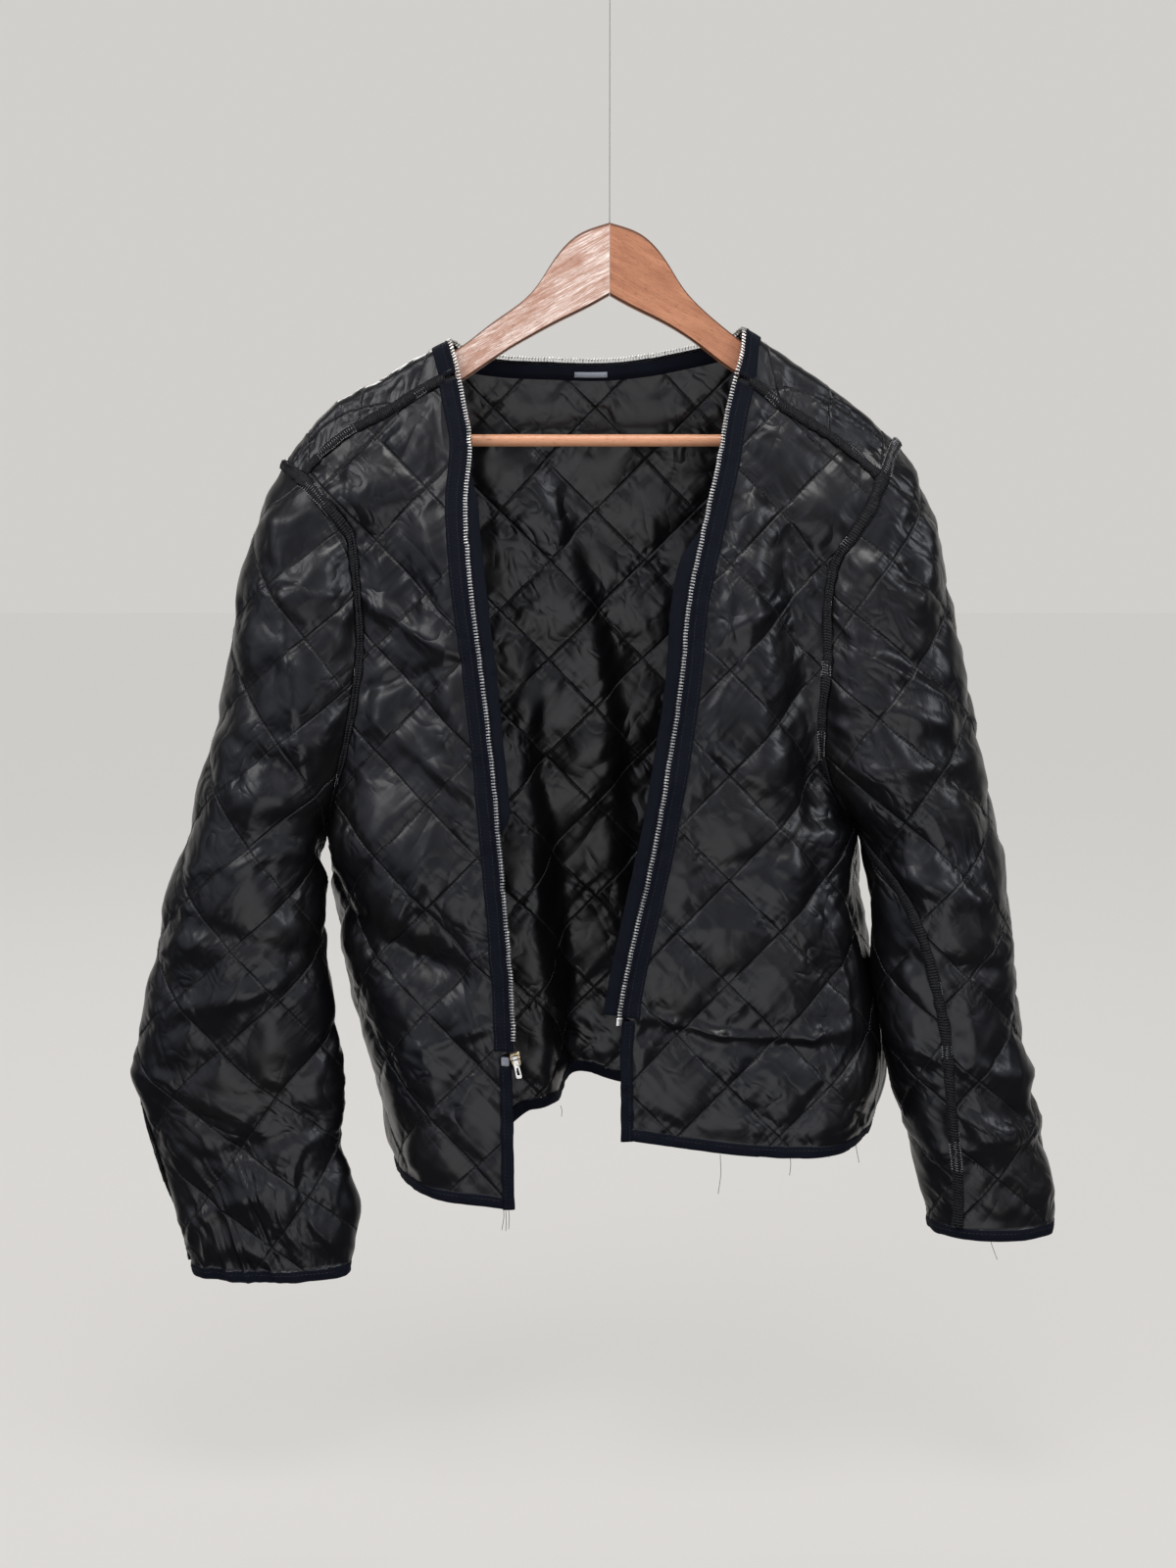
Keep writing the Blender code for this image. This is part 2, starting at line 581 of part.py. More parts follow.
def front_p(side, x, q):
    return FRONTS[side].p_at_x(q, x, -0.13 if side == "left" else -0.14, 0.16)


def back_p(x, q):
    return BACK.p_at_x(q, x, -0.34, 0.34)


SEAM_POINT = {}
SEAM_NORMALS = {}


def seam_mark(surface, p, q, key, point, flat=0.0):
    """Outline point on a seam that another piece shares."""
    SEAM_POINT[key] = point
    SEAM_NORMALS.setdefault(key, []).append(surface.normal(p, q))
    return Mark(p, q, key, flat)


def shoulder_marks(side, piece):
    """Shoulder seam from the neck to the armhole."""
    x_neck, x_arm, _ = shoulder_x(side)
    marks = []
    beside = x_neck + OUTWARD[side] * ZIP_BAND
    for k, x in enumerate([x_neck] + list(even(beside, x_arm))):
        drop = float(ridge(x)) + FORWARD_SEAM[side]
        t = float(unsink(FORWARD_SEAM[side]))
        y = float(body_y(side, "front", x, drop))
        q = drop + WRAP_EXTRA if piece == "front" else float(ridge(x)) - t
        p = front_p(side, x, q) if piece == "front" else back_p(x, q)
        surface = FRONTS[side] if piece == "front" else BACK
        marks.append(seam_mark(surface, p, q, ("shoulder", side, k), at(x, y, drop), SEAM_BAND))
    tip = marks.pop()
    key = ("armhole", side, "cap", len(armhole_drops(side, "cap")) - 1)
    marks.append(seam_mark(surface, tip.p, tip.q, key, SEAM_POINT[tip.seam], SEAM_BAND))
    return marks


def armhole_drops(side, part):
    tip = ARMHOLE[side][0].drop
    join = shoulder_x(side)[2]
    if part == "cap":
        return even(tip, join, 0.008)
    if part == "front":
        return np.concatenate([even(join, join + 0.024, 0.008), even(join + 0.024, ARMPIT)[1:]])
    return np.concatenate([even(tip, tip + 0.032, 0.008), even(tip + 0.032, ARMPIT)[1:]])


def armhole_marks(side, part, piece):
    """Armhole seam: cap is before the tip on the back piece, then front and back."""
    face = "back" if part == "back" else "front"
    marks = []
    for k, drop in enumerate(armhole_drops(side, part)):
        x, y = (float(v) for v in body_end(side, face, drop))
        key = ("armhole", side, part, k)
        if part == "back" and k == 0:
            key = ("armhole", side, "cap", 0)
        if part == "front" and k == 0:
            key = ("armhole", side, "cap", len(armhole_drops(side, "cap")) - 1)
        if drop >= ARMPIT - 1e-9:
            key = ("underarm", side)
        point = at(x, y, drop)
        if piece == "sleeve":
            surface, q = SLEEVES[side], drop
            p = surface.armhole_p(drop, face)
        elif piece == "front":
            surface, q = FRONTS[side], drop + WRAP_EXTRA
            p = front_p(side, x, q)
        else:
            t = float(unsink(drop - ridge(x)))
            surface, q = BACK, float(ridge(x)) + (t if part == "back" else -t)
            p = back_p(x, q)
        marks.append(seam_mark(surface, p, q, key, point, SEAM_BAND))
    return marks


def hem_q(p):
    """q of the back's hem at p, from its table over x."""
    rows = sorted(HEM_BACK, key=lambda row: row.x)
    q = 0.75 + WRAP_EXTRA
    for _ in range(4):
        x = float(BACK.point(p, q)[0])
        q = float(np.interp(x, [row.x for row in rows], [row.drop for row in rows])) + WRAP_EXTRA
    return q


def outermost_p(side, drop, piece):
    """p of the body's outermost line on a front or on the back."""
    q = drop + WRAP_EXTRA
    if piece == "front":
        surface = FRONTS[side]
        k = int(round((q - surface.q[0]) / ROW_STEP))
        ps, row = surface.rows[k]
        edge = np.argmax(row[:, 0] * OUTWARD[side])
        return float(ps[edge])
    k = int(round((q - BACK.q[0]) / ROW_STEP))
    ps, row = BACK.rows[k]
    return float(ps[np.argmax(row[:, 0] * OUTWARD[side])])


def side_seam_p(side, drop, piece):
    shift = float(look_up(SIDE_SEAM_SHIFT[side], "x", drop)) * OUTWARD[side]
    if drop <= ARMPIT + 1e-9:
        x = float(body_end(side, "front", drop)[0])
        q = drop + WRAP_EXTRA
        return front_p(side, x, q) if piece == "front" else back_p(x, q)
    start = outermost_p(side, drop, piece)
    return start + shift if piece == "front" else start - shift


def side_marks(side, piece, hem):
    """Side seam from the underarm to the hem."""
    marks = []
    surface = FRONTS[side] if piece == "front" else BACK
    for k, drop in enumerate(even(ARMPIT, hem)):
        if k == 0:
            x, y = (float(v) for v in body_end(side, "front", drop))
            key, point = ("underarm", side), at(x, y, drop)
        else:
            key = ("side", side, k)
            point = BACK.point(side_seam_p(side, drop, "back"), drop + WRAP_EXTRA)
        p = side_seam_p(side, drop, piece)
        marks.append(seam_mark(surface, p, drop + WRAP_EXTRA, key, point))
    return marks


def front_outline(side):
    """Front piece: shoulder, armhole, side seam, hem, bound edge and zip edge."""
    inward = -OUTWARD[side]
    marks = shoulder_marks(side, "front") + armhole_marks(side, "front", "front")[1:]
    marks += side_marks(side, "front", SIDE_HEM[side])[1:]
    surface = FRONTS[side]
    hem_end = FRONT_EDGE[side][-1].drop
    q_hem = hem_end - BINDING_WIDTH + WRAP_EXTRA
    p_edge = front_p(side, float(look_up(FRONT_EDGE[side], "x", hem_end)), q_hem) - inward * BINDING_WIDTH
    start = marks[-1]
    for p in even(start.p, p_edge)[1:-1]:
        u = (p - start.p) / (p_edge - start.p)
        sag = 0.010 * math.sin(math.pi * u) * (1 if side == "right" else -0.4)
        marks.append(Mark(p, start.q + (q_hem - start.q) * u + sag, None, 0.0))
    zip_end = ZIP_END[side]
    drops = list(even(hem_end - BINDING_WIDTH, zip_end + NOTCH[side]))
    if side == "left":
        drops.append(zip_end + 0.002)
    for drop in drops:
        q = drop + WRAP_EXTRA
        p = front_p(side, float(look_up(FRONT_EDGE[side], "x", drop)), q) - inward * BINDING_WIDTH
        marks.append(Mark(p, q, None, 0.0))
    x_neck = shoulder_x(side)[0]
    top = float(ridge(x_neck)) + FORWARD_SEAM[side]
    for drop in even(zip_end - 0.002, top, ZIP_STEP)[:-1]:
        q = drop + WRAP_EXTRA
        marks.append(Mark(front_p(side, float(look_up(FRONT_EDGE[side], "x", drop)), q), q, None, ZIP_BAND))
    return marks, surface


def neck_marks():
    """Back neck edge from the left shoulder seam over the ridge to the right one."""
    marks = []
    for side in SIDES:
        x_neck = shoulder_x(side)[0]
        q_seam = float(ridge(x_neck)) - float(unsink(FORWARD_SEAM[side]))
        own = [Mark(back_p(x_neck, q_seam), q_seam, None, 0.0)]
        front = FRONT_EDGE[side]
        top = max(front[0].drop, float(ridge(front[0].x)))
        for drop in even(float(ridge(x_neck)) + FORWARD_SEAM[side], top, 0.005)[1:]:
            x = float(look_up(front, "x", drop))
            q = float(ridge(x)) - float(unsink(drop - ridge(x)))
            own.append(Mark(back_p(x, q), q, None, ZIP_BAND))
        marks.append(own[1:])
    middle = []
    line = sorted(BACK_NECK, key=lambda row: row.x)
    xs, drops = [row.x for row in line], [row.drop for row in line]
    near = 0.036
    between = np.concatenate([even(xs[0], xs[0] + near, 0.006), even(xs[0] + near, xs[-1] - near, 0.016)[1:-1],
                              even(xs[-1] - near, xs[-1], 0.006)])
    for x in between[1:-1]:
        drop = float(through(xs, drops, x))
        q = float(ridge(x)) + float(unsink(drop - ridge(x)))
        middle.append(Mark(back_p(x, q), q, None, ZIP_BAND))
    return marks[0] + middle + marks[1][::-1]


def back_outline():
    """Back piece with its turn over the shoulders."""
    left_shoulder = shoulder_marks("left", "back")
    marks = [left_shoulder[0]] + neck_marks()
    marks += shoulder_marks("right", "back")
    marks += armhole_marks("right", "cap", "back")[::-1][1:]
    marks += armhole_marks("right", "back", "back")[1:]
    marks += side_marks("right", "back", SIDE_HEM["right"])[1:]
    low = side_marks("left", "back", SIDE_HEM["left"])[::-1]
    start, end = marks[-1], low[0]
    for p in even(start.p, end.p, 0.016)[1:-1]:
        near = smooth(min(abs(p - start.p), abs(p - end.p)) / 0.05)
        side_q = start.q if abs(p - start.p) < abs(p - end.p) else end.q
        marks.append(Mark(p, side_q + (hem_q(p) - side_q) * float(near), None, 0.0))
    marks += low
    marks += armhole_marks("left", "back", "back")[::-1][1:]
    marks += armhole_marks("left", "cap", "back")[1:]
    marks += left_shoulder[::-1][1:-1]
    return marks, BACK


def sleeve_outline(side):
    """Sleeve: cap, both edges of the underarm seam, and the end above the binding."""
    surface = SLEEVES[side]
    cap = armhole_marks(side, "cap", "sleeve")
    front = armhole_marks(side, "front", "sleeve")
    back = armhole_marks(side, "back", "sleeve")
    marks = back[::-1] + cap[1:] + front[1:]
    if side == "right":
        marks = marks[::-1]
    # From here the outline runs from low p to high p along the cap.
    hem = CUFF[side] - BINDING_WIDTH
    rising, falling = [], []
    for k, drop in enumerate(even(ARMPIT, hem)):
        if k == 0:
            continue
        low, high = surface.seam_p(drop)
        point = surface.point(high, drop)
        key = ("sleeve_seam", side, k)
        falling.append(seam_mark(surface, high, drop, key, point, SEAM_BAND))
        rising.append(seam_mark(surface, low, drop, key, point, SEAM_BAND))
    low, high = surface.seam_p(hem)
    end = [Mark(p, hem, None, 0.0) for p in even(high, low)[1:-1]]
    return marks + falling + end + rising[::-1], surface


# ------------------------------------------------------------------- making solids
def area(points):
    x, y = np.array(points).T
    return 0.5 * float(np.sum(x * np.roll(y, -1) - np.roll(x, -1) * y))


def inset(points, amounts):
    """Outline moved inwards by an amount at each point, mitred at the corners."""
    pts = np.array(points, float)
    turn = 1.0 if area(points) > 0 else -1.0
    before = pts - np.roll(pts, 1, axis=0)
    after = np.roll(pts, -1, axis=0) - pts
    normals = []
    for edge in (before, after):
        length = np.linalg.norm(edge, axis=1, keepdims=True)
        edge = edge / np.maximum(length, 1e-9)
        normals.append(np.stack([-edge[:, 1], edge[:, 0]], axis=1) * turn)
    middle = normals[0] + normals[1]
    size = np.sum(middle * middle, axis=1, keepdims=True)
    middle = middle * 2 / np.maximum(size, 1.0)
    return pts + middle * np.asarray(amounts)[:, None]


def distance_to(outline, point):
    """Distance from a point to a closed outline."""
    a = np.array(outline)
    b = np.roll(a, -1, axis=0)
    ab, ap = b - a, np.asarray(point) - a
    u = np.clip(np.sum(ab * ap, axis=1) / np.maximum(np.sum(ab * ab, axis=1), 1e-12), 0, 1)
    return float(np.min(np.linalg.norm(ap - ab * u[:, None], axis=1)))


def holds(outline, point):
    """Whether a closed outline holds a point."""
    a = np.array(outline)
    b = np.roll(a, -1, axis=0)
    x, y = point
    crossing = (a[:, 1] > y) != (b[:, 1] > y)
    rise = np.where(np.abs(b[:, 1] - a[:, 1]) < 1e-12, 1e-12, b[:, 1] - a[:, 1])
    hit = x < a[:, 0] + (y - a[:, 1]) / rise * (b[:, 0] - a[:, 0])
    return bool(np.sum(crossing & hit) % 2)


def quilt_points(outline, bands, phase):
    """Corners, line middles and centres of the diamonds inside an outline."""
    pts = np.array(outline)
    low, high = pts.min(axis=0), pts.max(axis=0)
    found = {}
    first = np.floor((low - phase) / CELL).astype(int)
    last = np.ceil((high - phase) / CELL).astype(int)
    for i in range(first[0], last[0] + 1):
        for j in range(first[1], last[1] + 1):
            point = np.array([phase[0] + i * CELL, phase[1] + j * CELL])
            if (i + j) % 2 or not holds(outline, point):
                continue
            clear = min([distance_to(outline, point) - CLEAR]
                        + [np.min(np.linalg.norm(bands - point, axis=1)) - CLEAR] * (len(bands) > 0))
            if clear > 0:
                found[(i, j)] = point
    return found


def fill(outline, bands, band_edges, quilt):
    """Triangles over an outline, through its flat bands and quilting points."""
    coords = [Vector(p) for p in outline] + [Vector(p) for p in bands]
    names = {key: len(coords) + n for n, key in enumerate(quilt)}
    coords += [Vector(p) for p in quilt.values()]
    count = len(outline)
    edges = [(k, (k + 1) % count) for k in range(count)]
    edges += [(count + a, count + b) for a, b in band_edges]
    for (i, j), n in names.items():
        for di, dj in ((1, 1), (1, -1)):
            other = names.get((i + di, j + dj))
            if other is not None:
                edges.append((n, other))
    result = delaunay_2d_cdt(coords, edges, [], 1, 1e-7)
    verts, _, faces, origin = result[0], result[1], result[2], result[3]
    return [tuple(v) for v in verts], faces, [o[0] if o else -1 for o in origin]


def new_object(name, verts, faces, colour, roughness=0.5, metallic=0.0):
    """A mesh object with its own material."""
    mesh = bpy.data.meshes.new(name)
    mesh.from_pydata([tuple(v) for v in verts], [], [tuple(f) for f in faces])
    mesh.validate()
    obj = bpy.data.objects.new(name, mesh)
    bpy.context.scene.collection.objects.link(obj)
    return finish(obj, colour, roughness, metallic)


def finish(obj, colour, roughness=0.5, metallic=0.0):
    """Gives an object a plain finish of its own."""
    material = bpy.data.materials.new(obj.name)
    material.use_nodes = True
    shader = material.node_tree.nodes["Principled BSDF"]
    shader.inputs["Base Color"].default_value = (*colour, 1.0)
    shader.inputs["Roughness"].default_value = roughness
    shader.inputs["Metallic"].default_value = metallic
    obj.data.materials.clear()
    obj.data.materials.append(material)
    return obj


def seam_normal(key):
    total = np.sum(SEAM_NORMALS[key], axis=0)
    return total / np.linalg.norm(total)


def seam_inset(mark):
    """How far a piece ends before its seam: more in the narrow fold of the underarm."""
    if mark.seam is None:
        return SEAM_GAP / 2
    if mark.seam[0] == "underarm":
        return 0.0050
    if mark.seam[0] != "armhole":
        return SEAM_GAP
    drop = HANGER_TOP - SEAM_POINT[mark.seam][2]
    tip = ARMHOLE[mark.seam[1]][0].drop
    return 0.0012 if drop > ARMPIT - 0.026 or drop < tip + 0.010 else 2 * SEAM_GAP


def add_ridge_rows(outline, points, edges):
    """Rows of points that carry the back smoothly over the top of the hanger."""
    for side in SIDES:
        for t in (-BEND, -BEND / 2, 0.0, BEND / 2, BEND):
            fresh = False
            for x in even(OUTWARD[side] * 0.100, OUTWARD[side] * 0.262, 0.016):
                q = float(ridge(x)) + t
                point = np.array([back_p(x, q), q])
                room = 0.0165 if abs(x) < 0.150 else 0.006
                clear = holds(outline, point) and distance_to(outline, point) > room
                clear = clear and min(np.linalg.norm(point - p) for p in points) > 0.0045
                if clear:
                    points.append(point)
                    if fresh:
                        edges.append((len(points) - 2, len(points) - 1))
                fresh = clear


def cloth_piece(name, marks, surface, colour):
    """A quilted wall from a flat cut."""
    outline = [(m.p, m.q) for m in marks]
    inner = inset(outline, [seam_inset(m) for m in marks])
    band_points, band_edges, previous = [], [], None
    flats = [m.flat for m in marks]
    offset = inset(outline, flats)
    for k, mark in enumerate(marks):
        good = flats[k] > 0 and holds(outline, offset[k])
        good = good and distance_to(outline, offset[k]) > 0.8 * flats[k]
        if good and band_points and np.linalg.norm(offset[k] - band_points[-1]) < 0.004:
            good = False
        if good:
            band_points.append(offset[k])
            if previous == k - 1:
                band_edges.append((len(band_points) - 2, len(band_points) - 1))
            previous = k
    if name == "back":
        add_ridge_rows(outline, band_points, band_edges)
    bands = np.array(band_points) if band_points else np.zeros((0, 2))
    phase = np.array(QUILT_PHASE[name])
    quilt = quilt_points([tuple(p) for p in inner], bands, phase)
    verts, faces, origin = fill([tuple(p) for p in inner], [tuple(p) for p in bands], band_edges, quilt)
    kinds = list(quilt)
    outer, under = [], []
    for vert, source in zip(verts, origin):
        p, q = vert
        base, normal = surface.point(p, q), surface.normal(p, q)
        rise = 0.0
        if 0 <= source < len(marks):
            mark = marks[source]
            if mark.seam:
                base = SEAM_POINT[mark.seam] + base - surface.point(mark.p, mark.q)
                normal = seam_normal(mark.seam)
        elif source >= len(marks) + len(bands):
            i, j = kinds[source - len(marks) - len(bands)]
            if i % 2 == 0 and (i - j) % 4 == 2:
                room = distance_to(outline, (p, q))
                rise = PUFF * float(smooth(room / (DIAMOND * 0.4)))
                if name == "back" or name.startswith("front"):
                    height = float(ridge(base[0])) - (HANGER_TOP - base[2])
                    rise *= 0.35 + 0.65 * float(smooth((-height - 0.010) / 0.05))
        outer.append(base + normal * (WALL / 2 + rise))
        under.append(base - normal * (WALL / 2))
    count = len(verts)
    turn = 1.0 if surface.facing > 0 else -1.0
    solid = []
    rim = {}
    for face in faces:
        a, b, c = face
        flat = [verts[n] for n in (a, b, c)]
        if area(flat) * turn < 0:
            a, b, c = c, b, a
        solid.append((a, b, c))
        solid.append((a + count, c + count, b + count))
        for u, v in ((a, b), (b, c), (c, a)):
            if (v, u) in rim:
                del rim[(v, u)]
            else:
                rim[(u, v)] = True
    for u, v in rim:
        solid.append((v, u, u + count))
        solid.append((v, u + count, v + count))
    return new_object(name, outer + under, solid, colour)


def strip(name, sections, colour, roughness=0.6, metallic=0.0):
    """A closed solid through sections that have the same number of points."""
    count = len(sections[0])
    verts = [p for section in sections for p in section]
    faces = []
    for k in range(len(sections) - 1):
        for n in range(count):
            a, b = k * count + n, k * count + (n + 1) % count
            faces.append((a, b, b + count, a + count))
    last = (len(sections) - 1) * count
    faces.append(tuple(range(count))[::-1])
    faces.append(tuple(range(last, last + count)))
    obj = new_object(name, verts, faces, colour, roughness, metallic)
    tidy = bmesh.new()
    tidy.from_mesh(obj.data)
    bmesh.ops.triangulate(tidy, faces=tidy.faces)
    bmesh.ops.recalc_face_normals(tidy, faces=tidy.faces)
    if tidy.calc_volume(signed=True) < 0:
        bmesh.ops.reverse_faces(tidy, faces=tidy.faces)
    tidy.to_mesh(obj.data)
    tidy.free()
    return obj


# ------------------------------------------------------------ bands along an edge
OUTER_FACE = WALL / 2 + SEAM_GAP
CHAIN_TOP = OUTER_FACE + 0.0018
CHAIN_END = CHAIN_START + CHAIN_WIDTH
# Cross-sections as pairs: how far beyond the cloth's edge, how far above its middle.
TAPE_PROFILE = [
    (-TAPE_WIDTH, OUTER_FACE), (-TAPE_WIDTH, OUTER_FACE + TAPE_THICK),
    (CHAIN_START, OUTER_FACE + TAPE_THICK), (CHAIN_START, CHAIN_TOP),
    (CHAIN_END, CHAIN_TOP), (CHAIN_END, CHAIN_TOP - CHAIN_THICK),
    (CHAIN_START, CHAIN_TOP - CHAIN_THICK), (CHAIN_START, OUTER_FACE),
]
BINDING_PROFILE = [
    (SEAM_GAP, -BINDING_THICK / 2), (SEAM_GAP, BINDING_THICK / 2),
    (BINDING_WIDTH - 0.0012, BINDING_THICK / 2), (BINDING_WIDTH, 0.0),
    (BINDING_WIDTH - 0.0012, -BINDING_THICK / 2),
]


def facing_profile(beyond, lower=SEAM_GAP):
    """Flat ribbon behind the cloth's edge that reaches some way past it."""
    high = -OUTER_FACE - lower
    low = high - TAPE_THICK
    return [(-FACING_WIDTH, high), (-0.001, high), (beyond, high),
            (beyond, low), (-0.001, low), (-FACING_WIDTH, low)]


def unit(v):
    return v / max(float(np.linalg.norm(v)), 1e-12)


def flat_run(marks):
    return np.array([(mark.p, mark.q) for mark in marks])


def inward_ways(marks, outline):
    """Flat inward direction at each mark of an open run of an outline."""
    pts = flat_run(marks)
    ways = []
    for k in range(len(pts)):
        along = pts[min(k + 1, len(pts) - 1)] - pts[max(k - 1, 0)]
        ways.append(unit(np.array([-along[1], along[0]])))
    middle = len(pts) // 2
    if not holds(outline, pts[middle] + ways[middle] * 0.004):
        ways = [-way for way in ways]
    return ways


def mitred(ways, pts):
    """Ways stretched where a run turns, so that a band keeps its width."""
    stretched = [ways[0]]
    for k in range(1, len(pts) - 1):
        before = unit(pts[k] - pts[k - 1])
        after = unit(pts[k + 1] - pts[k])
        bend = unit(np.array([-(before + after)[1], (before + after)[0]]))
        bend = bend * np.sign(float(np.dot(bend, ways[k])))
        half = abs(float(np.dot(bend, np.array([-before[1], before[0]]))))
        stretched.append(bend / max(half, 0.5))
    return stretched + [ways[-1]]


def placed(surface, mark, offset, inward=0.0):
    """Base point and normal at a flat offset from a mark, inward of the edge by some of it."""
    p, q = mark.p + offset[0], mark.q + offset[1]
    base, normal = surface.point(p, q), surface.normal(p, q)
    if mark.seam:
        near = float(np.clip(1 - inward / SEAM_BAND, 0, 1))
        base = base + (SEAM_POINT[mark.seam] - surface.point(mark.p, mark.q)) * near
        normal = unit(normal * (1 - near) + seam_normal(mark.seam) * near)
    return base, normal


def end_shift(pts, k, trim):
    """Flat shift that shortens a run at its two ends."""
    if k == 0:
        return unit(pts[1] - pts[0]) * trim[0]
    if k == len(pts) - 1:
        return unit(pts[-2] - pts[-1]) * trim[1]
    return np.zeros(2)


def edge_band(name, surface, marks, outline, profile, trim=(0.0, 0.0), ends=(None, None)):
    """A band along an edge; ends may turn the direction of its first and last section."""
    ways = inward_ways(marks, outline)
    for k, way in ((0, ends[0]), (-1, ends[1])):
        if way is not None:
            ways[k] = way
    ways = mitred(ways, flat_run(marks))
    pts = flat_run(marks)
    sections = []
    for k, (mark, way) in enumerate(zip(marks, ways)):
        shift = end_shift(pts, k, trim)
        shape = profile(k / (len(marks) - 1)) if callable(profile) else profile
        section = []
        for beyond, above in shape:
            base, normal = placed(surface, mark, shift - way * beyond, max(0.0, -beyond))
            section.append(base + normal * above)
        sections.append(section)
    return strip(name, sections, NAVY)


def allowance(name, runs, outlines, trim):
    """Overlocked allowance that lies over a seam; runs pair the marks of both pieces."""
    low = WALL / 2 + 3 * SEAM_GAP
    heights = np.array([low, low, low, low + ALLOWANCE_RISE * 0.7, low + ALLOWANCE_RISE,
                        low + ALLOWANCE_RISE * 0.7])
    sections = []
    for surfaces, marks, keep in runs:
        ways = [inward_ways(m, outline) for m, outline in zip(marks, outlines)]
        outlines = outlines[2:] + outlines[:2]
        pts = [flat_run(m) for m in marks]
        for k in range(*keep):
            whole = (0.0 if keep[0] else trim[0], 0.0 if keep[1] < len(pts[0]) else trim[1])
            sides, tops = [], []
            for n in (0, 1):
                shift = end_shift(pts[n], k, whole)
                for reach in (ALLOWANCE_HALF, 0.0):
                    base, up = placed(surfaces[n], marks[n][k], shift + ways[n][k] * reach, reach)
                    sides.append(base)
                    tops.append(up)
            middle, up = (sides[1] + sides[3]) / 2, unit(tops[1] + tops[3])
            up = up / max(0.4, float(np.dot(up, unit(tops[0]))), float(np.dot(up, unit(tops[2]))) * 0.5)
            bases = (sides[0], middle, sides[2], sides[2], middle, sides[0])
            ups = (tops[0], up, tops[2], tops[2], up, tops[0])
            seam = marks[0][k].seam
            high = seam[0] == "armhole" and (seam[2] == "cap" or seam[3] < 4)
            low_end = seam[0] != "shoulder" and seam[-1] != "cap" and (
                abs(HANGER_TOP - SEAM_POINT[seam][2] - ARMPIT) < 0.03)
            near_tip = high and HANGER_TOP - SEAM_POINT[seam][2] < ARMHOLE[seam[1]][0].drop + 0.009
            extra = 0.0040 if near_tip else 0.0020 if high else 0.0028 * low_end
            sections.append([b + u * h for b, u, h in zip(bases, ups, heights + extra)])
    return strip(name, sections, CLOTH)


# ------------------------------------------------------------------ seams and trims
def plain(marks):
    """An outline's flat points."""
    return [(mark.p, mark.q) for mark in marks]


def zip_run(marks):
    """Run of an outline's marks that carries the zip."""
    return [mark for mark in marks if mark.seam is None and mark.flat > 0.01]


def edge_way(run, k):
    """Flat direction of a run of marks at one of its ends, pointing into the run."""
    pts = flat_run(run)
    return unit(pts[1] - pts[0]) if k == 0 else unit(pts[-2] - pts[-1])


def build_zip(outlines):
    """Tapes and facings of the fronts and of the back's neck."""
    for side in SIDES:
        marks, surface = outlines[f"front_{side}"]
        run = zip_run(marks) + [marks[0]]
        along = (None, edge_way(marks[:2], 0))
        edge_band(f"zip_tape_{side}", surface, run, plain(marks), TAPE_PROFILE, (0.0, 0.0030), along)
        first, last, reach = FACING_SHOWN[side]

        def beyond(u, first=first, last=last, reach=reach):
            rise = float(smooth((u - first) / 0.06) * smooth((last - u) / 0.10))
            return facing_profile(reach * rise - 0.0004)

        edge_band(f"facing_{side}", surface, run, plain(marks), beyond, (0.0, 0.0008), along)
    marks, surface = outlines["back"]
    neck = zip_run(marks)
    first = marks.index(neck[0])
    last = first + len(neck)
    run = marks[first - 1:last + 1]
    along = (edge_way([marks[first - 1], marks[first - 2]], 0), edge_way(marks[last:last + 2], 0))
    gaps = (0.0022, 0.0026)
    raised = [(beyond, above + 0.0006) for beyond, above in TAPE_PROFILE]
    edge_band("zip_tape_neck", surface, run, plain(marks), raised, gaps, along)
    edge_band("facing_neck", surface, run, plain(marks), facing_profile(-0.0004, 0.0014), gaps, along)
    neck_label(surface, run, plain(marks))


def neck_label(surface, run, outline):
    """Small woven label on the neck's facing."""
    ways = inward_ways(run, outline)
    low = -OUTER_FACE - TAPE_THICK - 0.0018
    rows, xs = [], []
    for mark, way in zip(run, ways):
        row = []
        for beyond, above in ((-0.0050, low), (-0.0050, low - 0.001), (-0.0090, low - 0.001),
                              (-0.0090, low)):
            base, normal = placed(surface, mark, -way * beyond, -beyond)
            row.append(base + normal * above)
        rows.append(np.array(row))
        xs.append(row[0][0])
    inside = [x for x in xs[8:-8] if LABEL_X[0] < x < LABEL_X[1]]
    sections = []
    for x in [LABEL_X[0]] + inside + [LABEL_X[1]]:
        k = int(np.clip(np.searchsorted(xs[8:-8], x) - 1, 0, len(xs) - 18)) + 8
        u = (x - xs[k]) / (xs[k + 1] - xs[k])
        sections.append(rows[k] * (1 - u) + rows[k + 1] * u)
    strip("neck_label", sections, GREY)


